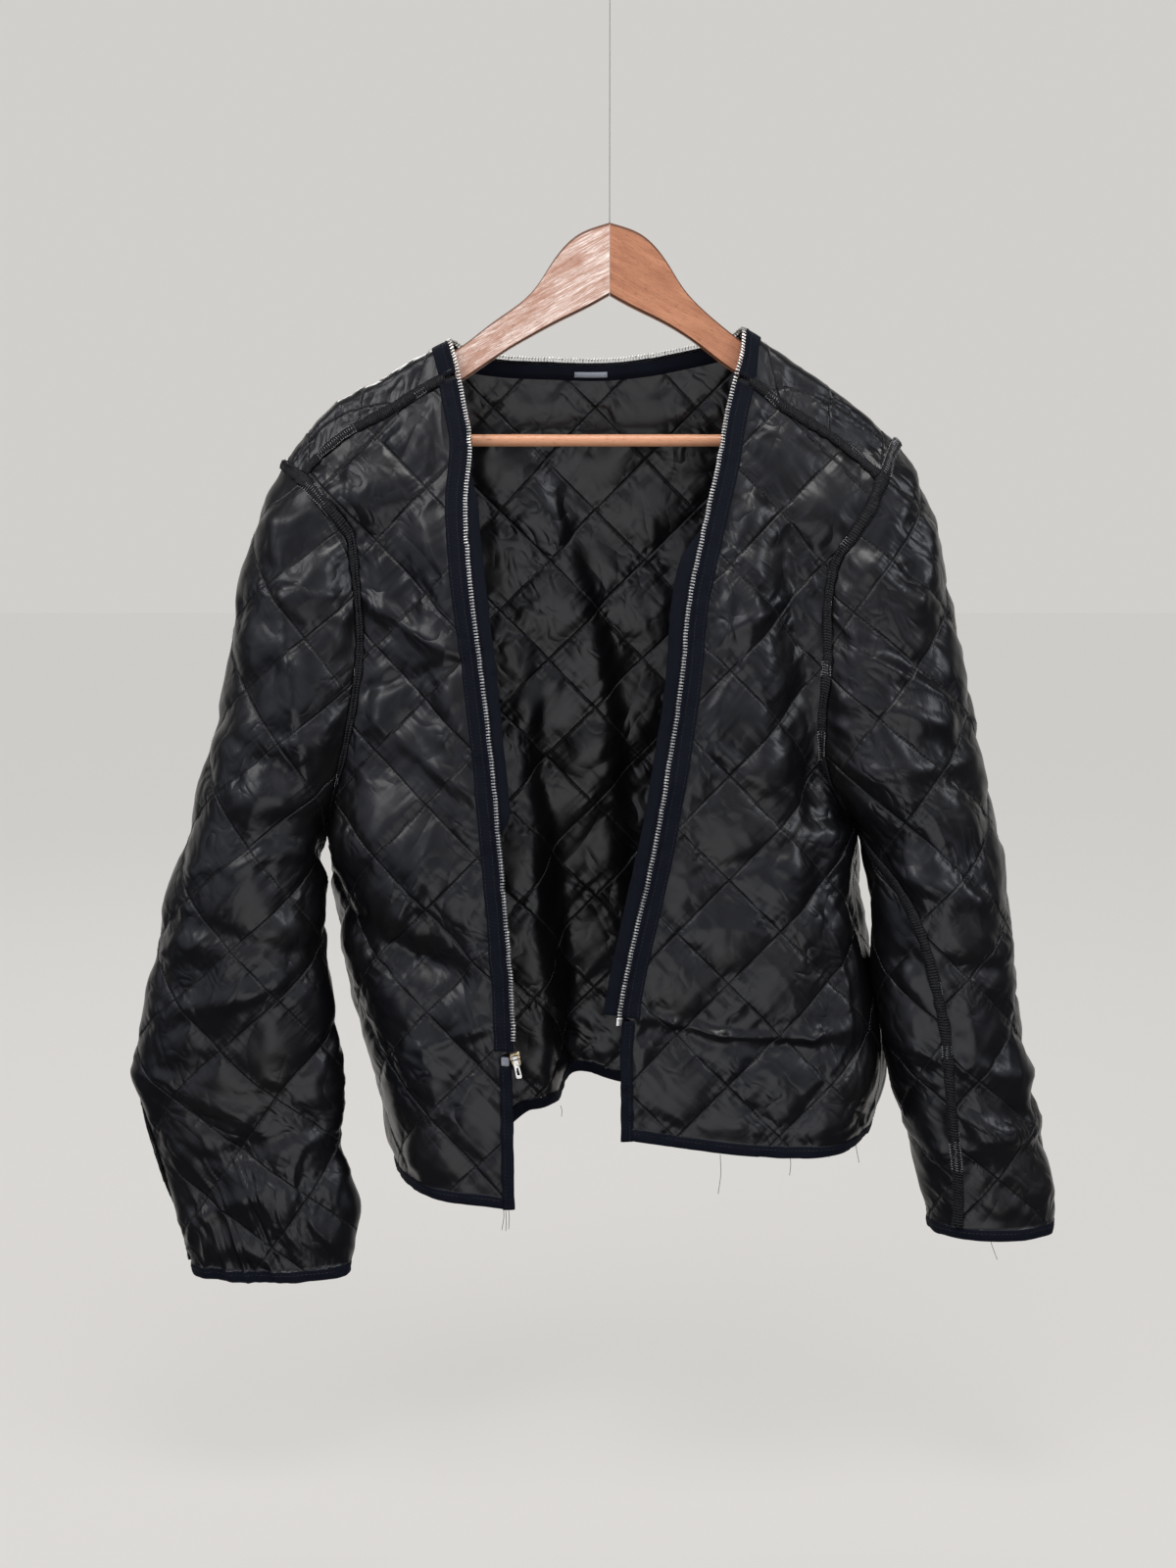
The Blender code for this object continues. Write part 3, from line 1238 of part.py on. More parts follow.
def build_seams(outlines):
    """Overlocked allowances of shoulders, armholes and underarm seams."""
    back, back_surface_ = outlines["back"]
    for side in SIDES:
        front, front_surface_ = outlines[f"front_{side}"]
        sleeve, sleeve_surface_ = outlines[f"sleeve_{side}"]
        pair = [plain(front), plain(back)]
        marks = (shoulder_marks(side, "front")[1:], shoulder_marks(side, "back")[1:])
        allowance(f"shoulder_seam_{side}", [((front_surface_, back_surface_), marks, (0, len(marks[0])))],
                  pair, (0.0015, ALLOWANCE_HALF + 0.0020))
        runs = []
        joined = {}
        for piece in ("back", "sleeve"):
            joined[piece] = (armhole_marks(side, "back", piece)[::-1]
                             + armhole_marks(side, "cap", piece)[1:])
        ahead = tuple(armhole_marks(side, "front", piece) for piece in ("front", "sleeve"))
        behind = (joined["back"], joined["sleeve"])
        runs.append(((back_surface_, sleeve_surface_), behind, (0, len(behind[0]))))
        runs.append(((front_surface_, sleeve_surface_), ahead, (1, len(ahead[0]))))
        allowance(f"armhole_seam_{side}", runs,
                  [plain(back), plain(sleeve), plain(front), plain(sleeve)], (0.014, 0.014))
        seam = [m for m in sleeve if m.seam and m.seam[0] == "sleeve_seam"]
        high, low = seam[:len(seam) // 2], seam[:len(seam) // 2 - 1:-1]
        allowance(f"sleeve_seam_{side}", [((sleeve_surface_,) * 2, (high, low), (0, len(high)))],
                  [plain(sleeve)] * 2, (0.0, 0.0))


def build_bindings(outlines):
    """Folded bindings of the bound edges, hems and cuffs."""
    for side in SIDES:
        marks, surface = outlines[f"front_{side}"]
        free = [m for m in marks if m.seam is None and m.flat == 0.0]
        q_corner = FRONT_EDGE[side][-1].drop - BINDING_WIDTH + WRAP_EXTRA
        corner = min(range(len(free)), key=lambda k: abs(free[k].q - q_corner) + 10 * (
            free[k].flat > 0) + abs(free[k].p - free[-1].p))
        edge = free[corner:]
        if side == "left":
            edge = edge[:-1]
        edge_band(f"edge_binding_{side}", surface, edge, plain(marks), BINDING_PROFILE,
                  (-BINDING_WIDTH, 0.0))
        seam_end = marks[marks.index(free[0]) - 1]
        seam_way = edge_way([seam_end, marks[marks.index(seam_end) - 1]], 0)
        hem = [seam_end] + free[:corner + 1]
        edge_band(f"hem_binding_{side}", surface, hem, plain(marks), BINDING_PROFILE,
                  (3 * SEAM_GAP, SEAM_GAP), (seam_way, edge_way(edge, 0)))
        sleeve, sleeve_surface_ = outlines[f"sleeve_{side}"]
        end = [k for k, m in enumerate(sleeve) if m.seam is None]
        run = sleeve[end[0] - 1:end[-1] + 2]
        down = np.array([0.0, -1.0])
        edge_band(f"cuff_binding_{side}", sleeve_surface_, run, plain(sleeve), BINDING_PROFILE,
                  (SEAM_GAP / 2, SEAM_GAP / 2), (down, down))
    marks, surface = outlines["back"]
    free = [k for k, m in enumerate(marks) if m.seam is None and m.flat == 0.0]
    run = marks[free[0] - 1:free[-1] + 2]
    first = edge_way([run[0], marks[free[0] - 2]], 0)
    last = edge_way([run[-1], marks[free[-1] + 2]], 0)
    edge_band("hem_binding_back", surface, run, plain(marks), BINDING_PROFILE,
              (3 * SEAM_GAP, 3 * SEAM_GAP), (first, last))


def edge_block(name, side, span, across, half, colour, metallic=0.0):
    """A small block beside the zip's lower end: drops, distances beyond the edge, thickness."""
    surface = FRONTS[side]
    sections = []
    for drop in np.linspace(span[0], span[1], 3):
        q = drop + WRAP_EXTRA
        p = front_p(side, float(look_up(FRONT_EDGE[side], "x", drop)), q)
        section = []
        for beyond, above in ((across[0], half[0]), (across[1], half[0]), (across[1], half[1]),
                              (across[0], half[1])):
            at_p = p - OUTWARD[side] * beyond
            section.append(surface.point(at_p, q) + surface.normal(at_p, q) * above)
        sections.append(section)
    return strip(name, sections, colour, 0.5, metallic)


# -------------------------------------------------------------------------- hanger
def hanger_arm(side):
    """One arm of the hanger, with a blind hole for its bar."""
    turn = OUTWARD[side]
    mesh = bmesh.new()
    outline = []
    for row in ARM_TOP + ARM_LOW:
        x = min(row.x, 0.200) + max(row.x - 0.200, 0.0) * ARM_SHORT[side]
        lower = float(look_up(ARM_LOWER[side], "drop", x, "x"))
        outline.append((turn * x, row.drop + lower))
    y = -ARM_THICK / 2
    face = mesh.faces.new([mesh.verts.new((x, y, HANGER_TOP - drop)) for x, drop in outline])
    pushed = bmesh.ops.extrude_face_region(mesh, geom=[face])
    moved = [v for v in pushed["geom"] if isinstance(v, bmesh.types.BMVert)]
    bmesh.ops.translate(mesh, verts=moved, vec=(0, ARM_THICK, 0))
    bmesh.ops.recalc_face_normals(mesh, faces=mesh.faces)
    rim = []
    for edge in mesh.edges:
        level = abs(edge.verts[0].co.y - edge.verts[1].co.y) < 1e-6
        inner = max(abs(v.co.x) for v in edge.verts) < 0.001
        if level and not inner:
            rim.append(edge)
    bmesh.ops.bevel(mesh, geom=rim, offset=ARM_CHAMFER, segments=1, affect="EDGES")
    bmesh.ops.triangulate(mesh, faces=mesh.faces)
    obj = mesh_object(f"hanger_arm_{side}", mesh)
    cutter = round_bar(f"socket_{side}", BAR_RADIUS + SEAM_GAP, 0.15 * turn, turn * (BAR_END[side] + SEAM_GAP))
    cutter.hide_render = True
    cutter.display_type = "WIRE"
    cut = obj.modifiers.new("socket", "BOOLEAN")
    cut.operation = "DIFFERENCE"
    cut.object = cutter
    return finish(obj, WOOD[side], 0.30 if side == "left" else 0.50)


def mesh_object(name, mesh):
    """An object from a finished bmesh."""
    data = bpy.data.meshes.new(name)
    mesh.to_mesh(data)
    mesh.free()
    obj = bpy.data.objects.new(name, data)
    bpy.context.scene.collection.objects.link(obj)
    return obj


def round_bar(name, radius, x0, x1):
    """A round bar along X at the height of the hanger's bar."""
    mesh = bmesh.new()
    bmesh.ops.create_cone(mesh, cap_ends=True, segments=20, radius1=radius, radius2=radius,
                          depth=abs(x1 - x0))
    bmesh.ops.rotate(mesh, verts=mesh.verts, matrix=Matrix.Rotation(math.pi / 2, 3, "Y"))
    bmesh.ops.translate(mesh, verts=mesh.verts, vec=((x0 + x1) / 2, BAR_Y, HANGER_TOP - BAR_DROP))
    return mesh_object(name, mesh)


# ---------------------------------------------------------------------------- line
def line_tube(name, points, closed=False):
    """A thread along points."""
    curve = bpy.data.curves.new(name, "CURVE")
    curve.dimensions = "3D"
    curve.bevel_depth = LINE_RADIUS
    curve.bevel_resolution = 2
    curve.use_fill_caps = not closed
    spline = curve.splines.new("POLY")
    spline.points.add(len(points) - 1)
    for target, point in zip(spline.points, points):
        target.co = (*point, 1.0)
    spline.use_cyclic_u = closed
    obj = bpy.data.objects.new(name, curve)
    bpy.context.scene.collection.objects.link(obj)
    return finish(obj, CLEAR_LINE, 0.3)


def hanging_line():
    """Taut line up from the hanger's mitre, its knot, and the loop it ends in."""
    low, high = HANGER_TOP + SEAM_GAP, -KNOT_DROP - KNOT_RADIUS - SEAM_GAP
    line_tube("line", [(0.0, 0.0, z) for z in np.linspace(low, high, 60)])
    mesh = bmesh.new()
    bmesh.ops.create_icosphere(mesh, subdivisions=2, radius=KNOT_RADIUS)
    bmesh.ops.translate(mesh, verts=mesh.verts, vec=(0, 0, -KNOT_DROP))
    finish(mesh_object("line_knot", mesh), CLEAR_LINE, 0.3)
    low, top = -KNOT_DROP + KNOT_RADIUS + SEAM_GAP + LINE_RADIUS, -LINE_RADIUS
    loop = []
    for angle in np.linspace(0, 2 * math.pi, 28, endpoint=False):
        wide = 0.55 + 0.45 * (0.5 - 0.5 * math.cos(angle))
        loop.append((LOOP_HALF * math.sin(angle) * wide, 0.0,
                     (low + top) / 2 - (top - low) / 2 * math.cos(angle)))
    line_tube("line_loop", loop, closed=True)


# --------------------------------------------------------------------- zip's metal
def slider_place():
    """Where the slider sits: at the lower end of the left front's teeth."""
    drop = ZIP_END["left"] + SLIDER_DROP
    q = drop + WRAP_EXTRA
    p = front_p("left", float(look_up(FRONT_EDGE["left"], "x", drop)), q)
    base = FRONTS["left"].point(p + (CHAIN_START + CHAIN_END) / 2, q)
    return Matrix.Translation(Vector(base)) @ Matrix.Rotation(SLIDER_TILT, 4, "Y")


def box_into(mesh, low, high):
    """Adds a box to a mesh."""
    made = bmesh.ops.create_cube(mesh, size=1.0)
    size, middle = Vector(high) - Vector(low), (Vector(high) + Vector(low)) / 2
    bmesh.ops.scale(mesh, verts=made["verts"], vec=size)
    bmesh.ops.translate(mesh, verts=made["verts"], vec=middle)
    return made["verts"]


def joined(obj, parts):
    """Joins helper solids to an object."""
    for part in parts:
        part.hide_render = True
        part.display_type = "WIRE"
        join = obj.modifiers.new(part.name, "BOOLEAN")
        join.operation = "UNION"
        join.object = part
    return obj


def side_prism(mesh, points, x0, x1):
    """A prism along X over a y-z outline."""
    near = [mesh.verts.new((x0, y, z)) for y, z in points]
    far = [mesh.verts.new((x1, y, z)) for y, z in points]
    mesh.faces.new(near)
    mesh.faces.new(far[::-1])
    for k in range(len(points)):
        n = (k + 1) % len(points)
        mesh.faces.new((near[n], near[k], far[k], far[n]))


def metal_object(name, mesh, place, colour):
    """A metal piece that stands in the slider's own frame."""
    bmesh.ops.recalc_face_normals(mesh, faces=mesh.faces)
    obj = mesh_object(name, mesh)
    obj.matrix_world = place
    return finish(obj, colour, 0.35, 0.9)


def zip_slider(place):
    """Slider: a tapered body, two ears and the pin that the pull hangs on."""
    mesh = bmesh.new()
    body = box_into(mesh, (-SLIDER.x / 2, SLIDER_FACE, -SLIDER.z / 2),
                    (SLIDER.x / 2, SLIDER_FACE + SLIDER.y, SLIDER.z / 2))
    for vert in body:
        if vert.co.z < 0:
            vert.co.x *= 0.72
    bmesh.ops.bevel(mesh, geom=list(mesh.edges), offset=0.0006, segments=1, affect="EDGES")
    obj = metal_object("zip_slider", mesh, place, BRASS)
    pin_y = SLIDER_FACE - PIN_OFF
    parts = []
    for sign in (-1, 1):
        ear = bmesh.new()
        profile = [(SLIDER_FACE + 0.0010, 0.0042), (pin_y, 0.0042), (pin_y - 0.0012, 0.0032),
                   (pin_y - 0.0012, 0.0014), (pin_y, 0.0004), (SLIDER_FACE + 0.0010, -0.0010)]
        side_prism(ear, profile, sign * EAR_X[0], sign * EAR_X[1])
        parts.append(metal_object(f"ear_{sign}", ear, place, BRASS))
    pin = bmesh.new()
    bmesh.ops.create_cone(pin, cap_ends=True, segments=12, radius1=PIN_RADIUS, radius2=PIN_RADIUS,
                          depth=EAR_X[0] + EAR_X[1])
    bmesh.ops.rotate(pin, verts=pin.verts, matrix=Matrix.Rotation(math.pi / 2, 3, "Y"))
    bmesh.ops.translate(pin, verts=pin.verts, vec=(0, pin_y, PIN_UP))
    parts.append(metal_object("pin", pin, place, BRASS))
    return joined(obj, parts)


def zip_pull(place):
    """Pull tab: an eye round the pin and a flat tongue, about the pin's middle."""
    turned = place @ Matrix.Translation((0, SLIDER_FACE - PIN_OFF, PIN_UP))
    mesh = bmesh.new()
    count = 16
    rings = []
    for x in (-EYE_HALF, EYE_HALF):
        for radius in (EYE_OUTER, EYE_INNER):
            ring = []
            for k in range(count):
                angle = 2 * math.pi * k / count
                ring.append(mesh.verts.new((x, radius * math.cos(angle), radius * math.sin(angle))))
            rings.append(ring)
    outer0, inner0, outer1, inner1 = rings
    for k in range(count):
        n = (k + 1) % count
        mesh.faces.new((outer0[k], outer0[n], outer1[n], outer1[k]))
        mesh.faces.new((inner0[n], inner0[k], inner1[k], inner1[n]))
        mesh.faces.new((outer0[n], outer0[k], inner0[k], inner0[n]))
        mesh.faces.new((outer1[k], outer1[n], inner1[n], inner1[k]))
    eye = metal_object("zip_pull", mesh, turned, SILVER)
    tongue = bmesh.new()
    box_into(tongue, (-PULL.x / 2, -PULL.y / 2, -PULL.z), (PULL.x / 2, PULL.y / 2, -0.0015))
    corners = []
    for edge in tongue.edges:
        if abs(edge.verts[0].co.y - edge.verts[1].co.y) > 1e-4:
            corners.append(edge)
    bmesh.ops.bevel(tongue, geom=corners, offset=0.0011, segments=2, affect="EDGES")
    return joined(eye, [metal_object("tongue", tongue, turned, SILVER)])


# ----------------------------------------------------------------------- the whole
def main():
    outlines = {f"front_{side}": front_outline(side) for side in SIDES}
    outlines["back"] = back_outline()
    outlines.update({f"sleeve_{side}": sleeve_outline(side) for side in SIDES})
    for name, (marks, surface) in outlines.items():
        cloth_piece(name, marks, surface, CLOTH)
    build_zip(outlines)
    build_seams(outlines)
    build_bindings(outlines)
    low = ZIP_END["left"]
    edge_block("zip_end_tab", "left", (low + 0.0034, low + 0.0104), (-0.0086, -0.0022),
               (0.0010, -0.0010), GREY)
    low = ZIP_END["right"] - 0.002 + SEAM_GAP
    edge_block("zip_stop_right", "right", (low, low + 0.007), (0.0005, 0.0055),
               (CHAIN_TOP, CHAIN_TOP - CHAIN_THICK), SILVER, 0.9)
    for side in SIDES:
        hanger_arm(side)
    finish(round_bar("hanger_bar", BAR_RADIUS, -BAR_END["left"], BAR_END["right"]), WOOD["right"], 0.45)
    hanging_line()
    place = slider_place()
    zip_slider(place)
    zip_pull(place)


for old in list(bpy.data.objects):
    bpy.data.objects.remove(old, do_unlink=True)
main()
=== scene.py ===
"""Quilted zip-in liner jacket that hangs open on a wooden hanger.

Every size is in metres.  X runs across the jacket, -Y is its front and +Z is up.  The
origin is the top of the loop that the hanger's line ends in.  Heights are given as a
drop, which is the distance below the hanger's top.

Each quilted piece has a flat cut: p runs across the cloth and q runs down it.  Cloth
carries p and q onto the hanging jacket, so seams, tapes, bindings and threads are laid
on in the same two numbers and follow every fold.
"""
import math
from collections import namedtuple

import bpy
import numpy as np
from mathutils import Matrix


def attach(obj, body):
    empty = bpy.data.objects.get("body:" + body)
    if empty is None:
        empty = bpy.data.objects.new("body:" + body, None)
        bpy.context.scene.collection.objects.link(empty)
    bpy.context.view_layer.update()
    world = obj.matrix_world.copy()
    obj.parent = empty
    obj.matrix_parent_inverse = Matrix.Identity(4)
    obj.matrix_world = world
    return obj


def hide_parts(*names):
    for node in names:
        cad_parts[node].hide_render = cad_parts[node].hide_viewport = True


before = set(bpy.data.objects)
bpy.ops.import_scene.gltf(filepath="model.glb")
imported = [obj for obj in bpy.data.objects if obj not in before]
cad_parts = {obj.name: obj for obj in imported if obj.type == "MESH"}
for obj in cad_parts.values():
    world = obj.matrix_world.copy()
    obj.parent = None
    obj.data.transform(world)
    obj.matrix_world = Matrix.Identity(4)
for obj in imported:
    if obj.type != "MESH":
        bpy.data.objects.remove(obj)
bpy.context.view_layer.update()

bl_info = {
    "name": "Quilted liner jacket",
    "version": (1, 0, 0),
    "blender": (4, 5, 0),
    "location": "View3D > Sidebar > Liner jacket",
    "description": "Makes a quilted zip-in liner jacket on its wooden hanger",
    "category": "Add Mesh",
}

# ------------ sizes
HANGER_TOP = -0.200          # height of the hanger's top below the loop
WALL = 0.0022                # quilted cloth at its sewn lines
SEAM_GAP = 0.0003            # between pieces that are sewn to each other
DIAMOND = 0.084              # quilted diamond, corner to corner
LINE_SPACING = DIAMOND / math.sqrt(2)      # between parallel quilting lines
PILLOW_RADIUS = 0.0085       # how quickly the wadding rises beside a line
PUFF_IN = 0.0030             # rise of the wadding on the inner face
PUCKER_STEP = 0.0080         # pitch of the puckers beside a line
THREAD = 0.00032             # half thickness of sewing thread
OUTLINE_STEP = 0.020         # distance between the points of an outline
EDGE_STEP = 0.0024           # and between those of a piece's finished edge
SEAM_BAND = 0.007            # flat band beside a seam
ZIP_BAND = 0.015             # and beside the zip
ZIP_STEP = 0.013             # distance between an outline's points along the zip

RIDGE_RADIUS = 0.0105        # cloth's turn over the top of the hanger
BEND = RIDGE_RADIUS * math.pi / 2
WRAP_EXTRA = BEND - RIDGE_RADIUS     # cloth used by the turn over the shoulder
FALL_LENGTH = 0.25           # how quickly front and back part below the shoulder
FRONT_REACH = 0.080          # how far the front hangs before the hanger
BACK_REACH = 0.072           # how far the back hangs behind it
ARMPIT = 0.490               # drop of both underarm points
FOLD_HALF = 0.006            # half width of a standing fold of the back

OUTER_FACE = WALL / 2 + SEAM_GAP
ALLOWANCE_HALF = 0.0042      # half width of an overlocked seam allowance
ALLOWANCE_RISE = 0.0026      # and how far it stands off the cloth
ALLOWANCE_STEP = 0.0022
TAPE_WIDTH = 0.0140          # zip tape on the cloth
TAPE_THICK = 0.0009
FACING_WIDTH = 0.0120        # ribbon behind the zip's edge
TOOTH_PITCH = 0.00245
CHAIN_START = 0.0010         # the teeth start this far beyond the cloth's edge
CHAIN_END = CHAIN_START + 0.0050
CHAIN_THICK = 0.0030
CHAIN_TOP = OUTER_FACE + 0.0018
BINDING_WIDTH = 0.0092       # folded edge binding

LABEL_X = (-0.0298, 0.0002)  # neck label, from end to end
SLIDER = (0.0082, 0.0052, 0.0105)
SLIDER_FACE = -0.0036        # its face, before the cloth's middle
SLIDER_DROP = 0.0042         # its middle below the zip's end
SLIDER_TILT = math.radians(-12)
PIN_RADIUS = 0.0007
PIN_OFF = 0.0027             # pin's middle before the slider's face
PIN_UP = 0.0023              # and above its middle
EAR_X = (0.0027, 0.0037)     # inner and outer side of the ears
EYE_OUTER = 0.0020
EYE_INNER = 0.0011
EYE_HALF = 0.0022            # half width of the pull's eye
PULL = (0.0048, 0.0012, 0.0170)

ARM_THICK = 0.0130           # wood of the hanger's arms
ARM_CHAMFER = 0.0022
BAR_RADIUS = 0.0050
BAR_DROP = 0.1730
BAR_Y = -0.0010
BAR_END = {"left": 0.2165, "right": 0.2075}
LINE_RADIUS = 0.0004
KNOT_DROP = 0.0180           # the knot's drop below the loop's top
KNOT_RADIUS = 0.0014
LOOP_HALF = 0.0042

SIDES = ("left", "right")
OUTWARD = {"left": -1.0, "right": 1.0}
FORWARD_SEAM = {"left": 0.0290, "right": 0.0400}     # shoulder seam before the ridge
CUFF = {"left": 0.8660, "right": 0.8255}             # drop of the sleeve's own end
ZIP_END = {"left": 0.6625, "right": 0.6343}          # drop of the zip's lower end
NOTCH = {"left": 0.0112, "right": 0.0020}            # from there down to the edge binding
SIDE_HEM = {"left": 0.7750, "right": 0.7385}         # drop of the side seams' lower ends
REFERENCE_X = {"left": -0.150, "right": 0.120}       # where p is zero on a front
ARM_SHORT = {"left": 1.0, "right": 0.55}             # length of the last part of an arm
# Shown part of each facing: where it starts and ends along the zip, and how far it shows.
FACING_SHOWN = {"left": (0.30, 0.90, 0.0138), "right": (-0.07, 0.80, 0.0155)}
QUILT_PHASE = {"front_left": (0.0026, 0.0497), "front_right": (0.0176, 0.0683),
               "back": (-0.0115, 0.0681), "sleeve_left": (0.0020, 0.0795),
               "sleeve_right": (0.0180, 0.0172)}

# ------------ tables
Place = namedtuple("Place", "drop x")
Side = namedtuple("Side", "drop x y")
Ring = namedtuple("Ring", "drop outer inner middle depth")
Fold = namedtuple("Fold", "drop x lift")
Crease = namedtuple("Crease", "x0 drop0 x1 drop1 width lift")
Zone = namedtuple("Zone", "x drop size lift")


def rows(kind, *numbers):
    """Rows of a table from their numbers, one row after the other, in ten-thousandths."""
    size = len(kind._fields)
    return [kind(*(n / 10000 for n in numbers[k:k + size])) for k in range(0, len(numbers), size)]


# ------------ outlines
# Top of the cloth over the hanger, from shoulder tip to shoulder tip.
SHOULDER_LINE = rows(Place, 2200, -2860, 1925, -2650, 1734, -2495, 1473, -2251, 1200, -1768,
    955, -1328, 860, -700, 830, -50, 820, 600, 862, 1114, 1080, 1419, 1325, 1820, 1525, 2063,
    1760, 2335, 2000, 2560)
# Front edges, along the zip's teeth and then the bound edge below them.
FRONT_EDGE = {
    "left": rows(Place, 948, -1318, 1119, -1266, 1315, -1226, 1511, -1185, 1783, -1144,
        1978, -1158, 2210, -1180, 2441, -1170, 2825, -1137, 3587, -1040, 4363, -950, 5150, -884,
        5946, -818, 6605, -789, 7920, -765),
    "right": rows(Place, 854, 1110, 1080, 1084, 1315, 1019, 1550, 962, 1900, 905, 2132, 848,
        2441, 776, 2749, 704, 3055, 647, 3587, 598, 4363, 485, 5150, 341, 5866, 179, 6323, 100,
        7352, 90),
}
# Armhole seams seen from the front, from the shoulder tip to the underarm.
ARMHOLE = {
    "left": rows(Place, 1925, -2650, 2017, -2513, 2249, -2283, 2443, -2114, 2598, -2077,
        2910, -2042, 3382, -2017, 3856, -2071, 4254, -2156, 4600, -2250, 4900, -2335),
    "right": rows(Place, 1745, 2335, 1850, 2270, 2132, 2152, 2365, 2054, 2598, 1862, 2910, 1773,
        3539, 1758, 4015, 1726, 4414, 1771, 4735, 1940, 4900, 2060),
}
# The body's outermost line below the armholes.
BODY_SIDE = {
    "left": rows(Side, 4900, -2335, -150, 5200, -2300, 80, 5500, -2265, 200, 6000, -2215, 240,
        6440, -2115, 240, 6890, -1995, 240, 7300, -1910, 220, 7660, -1830, 200, 8300, -1740, 180),
    "right": rows(Side, 4900, 2060, -150, 5200, 2055, 120, 5500, 2100, 260, 6000, 2205, 320,
        6440, 2315, 340, 6890, 2345, 320, 7300, 2290, 300, 7660, 2185, 280, 8300, 2080, 260),
}
# Sleeves: outer and inner x, the middle's y and half the depth of each ring.
SLEEVE = {
    "left": rows(Ring, 1925, -2650, -2050, 0, 260, 2450, -2865, -1960, -40, 360,
        3000, -3010, -1900, -80, 430, 3720, -3135, -1890, -120, 490, 4200, -3255, -2000, -140, 520,
        4550, -3350, -2180, -150, 530, 4900, -3450, -2335, -150, 530,
        5200, -3545, -2400, -180, 510, 5600, -3650, -2400, -220, 480,
        6180, -3775, -2350, -260, 430, 6550, -3870, -2295, -280, 370,
        6940, -3950, -2225, -300, 310, 7200, -3885, -2235, -310, 290,
        7570, -3780, -2245, -320, 280, 7870, -3690, -2185, -340, 270,
        8110, -3620, -2120, -350, 270, 8570, -3500, -2175, -360, 260,
        9000, -3440, -2190, -360, 260),
    "right": rows(Ring, 1745, 2335, 1750, 0, 260, 2290, 2608, 1660, -40, 360,
        2920, 2764, 1580, -80, 440, 3640, 2916, 1560, -120, 500, 4370, 3054, 1680, -150, 540,
        4650, 3118, 1860, -150, 550, 4900, 3180, 2060, -150, 540, 5250, 3240, 2165, -240, 510,
        5600, 3286, 2185, -300, 480, 6160, 3335, 2210, -340, 450, 6630, 3400, 2295, -360, 420,
        6890, 3446, 2355, -370, 410, 7150, 3510, 2415, -380, 400, 7670, 3640, 2580, -390, 380,
        7960, 3710, 2640, -400, 360, 8190, 3708, 2675, -400, 360, 8350, 3690, 2740, -400, 350,
        8800, 3640, 2740, -400, 350),
}
# Long standing folds of the back: the cloth steps back beyond each line.
BACK_FOLDS = [rows(Fold, 1500, -750, 0, 1900, -585, 100, 3400, -50, 120, 4400, 90, 120,
                  5800, 190, 100, 7000, 250, 40),
              rows(Fold, 3000, -630, 0, 4500, -630, 120, 5300, -535, 280, 6400, -440, 480,
                  7600, -430, 560)]
# Creases and swells of the fronts: a soft ridge (or trough) along each line.
FRONT_CREASES = {
    "left": rows(Crease, -2350, 5450, -1500, 5900, 160, -100, -1500, 5900, -880, 6120, 140, -70,
        -1850, 5000, -1000, 5600, 260, 60, -1600, 2300, -1500, 4200, 220, -50),
    "right": rows(Crease, 1420, 2600, 1630, 4400, 160, -100, 1630, 4400, 1760, 6400, 140, -80,
        1120, 2500, 1280, 4300, 200, 60, 300, 6400, 1900, 6650, 140, -60),
}
# Cloth past the body's outermost line that still belongs to the front piece.
SIDE_SEAM_SHIFT = {
    "left": rows(Place, 4900, 0, 5600, 400, 7000, 700, 8300, 750),
    "right": rows(Place, 4900, 0, 5200, -340, 5500, -500, 7000, -590, 8300, -600),
}
# Turn of the underarm seam away from the inside of the sleeve, towards +p.
SLEEVE_SEAM_SHIFT = {
    "left": rows(Place, 4900, 0, 5600, 800, 6600, 1700, 9000, 1400),
    "right": rows(Place, 4900, 0, 5300, 400, 5700, 580, 6300, 680, 7000, 600, 8000, 400, 8800, 300),
}
# Hem and neck edge of the back.
HEM_BACK = rows(Place, 7750, -2000, 7500, -1100, 7440, -815, 7375, -520, 7370, -435, 7206, -365,
    7198, -174, 7305, 90, 7350, 1000, 7385, 2200)
BACK_NECK = rows(Place, 948, -1318, 1040, -1150, 1081, -936, 1105, -495, 1113, -60, 1081, 307,
    1000, 724, 960, 900, 915, 1020, 862, 1110)
# Top and bottom edge of a hanger arm, from the mitre at the middle to its end and back.
ARM_TOP = rows(Place, 0, 2, 68, 225, 127, 306, 235, 407, 353, 487, 461, 548, 550, 610, 618, 680,
    669, 752, 719, 831, 787, 953, 877, 1095, 976, 1278, 1238, 1768, 1405, 2065, 1475, 2200,
    1535, 2290)
ARM_LOW = rows(Place, 1630, 2335, 1730, 2325, 1800, 2260, 1790, 2190, 1681, 2079, 1450, 1650,
    1226, 1231, 1065, 914, 996, 793, 887, 589, 778, 388, 679, 185, 574, 2)
# How far an arm lies below that outline, at x: the right one dips under the cloth.
ARM_LOWER = {
    "left": rows(Place, 0, 0, 0, 950, 48, 1220, 40, 2400),
    "right": rows(Place, 0, 0, 0, 680, 60, 940, 94, 1240, 115, 1800, 175, 2060, 205, 2400),
}
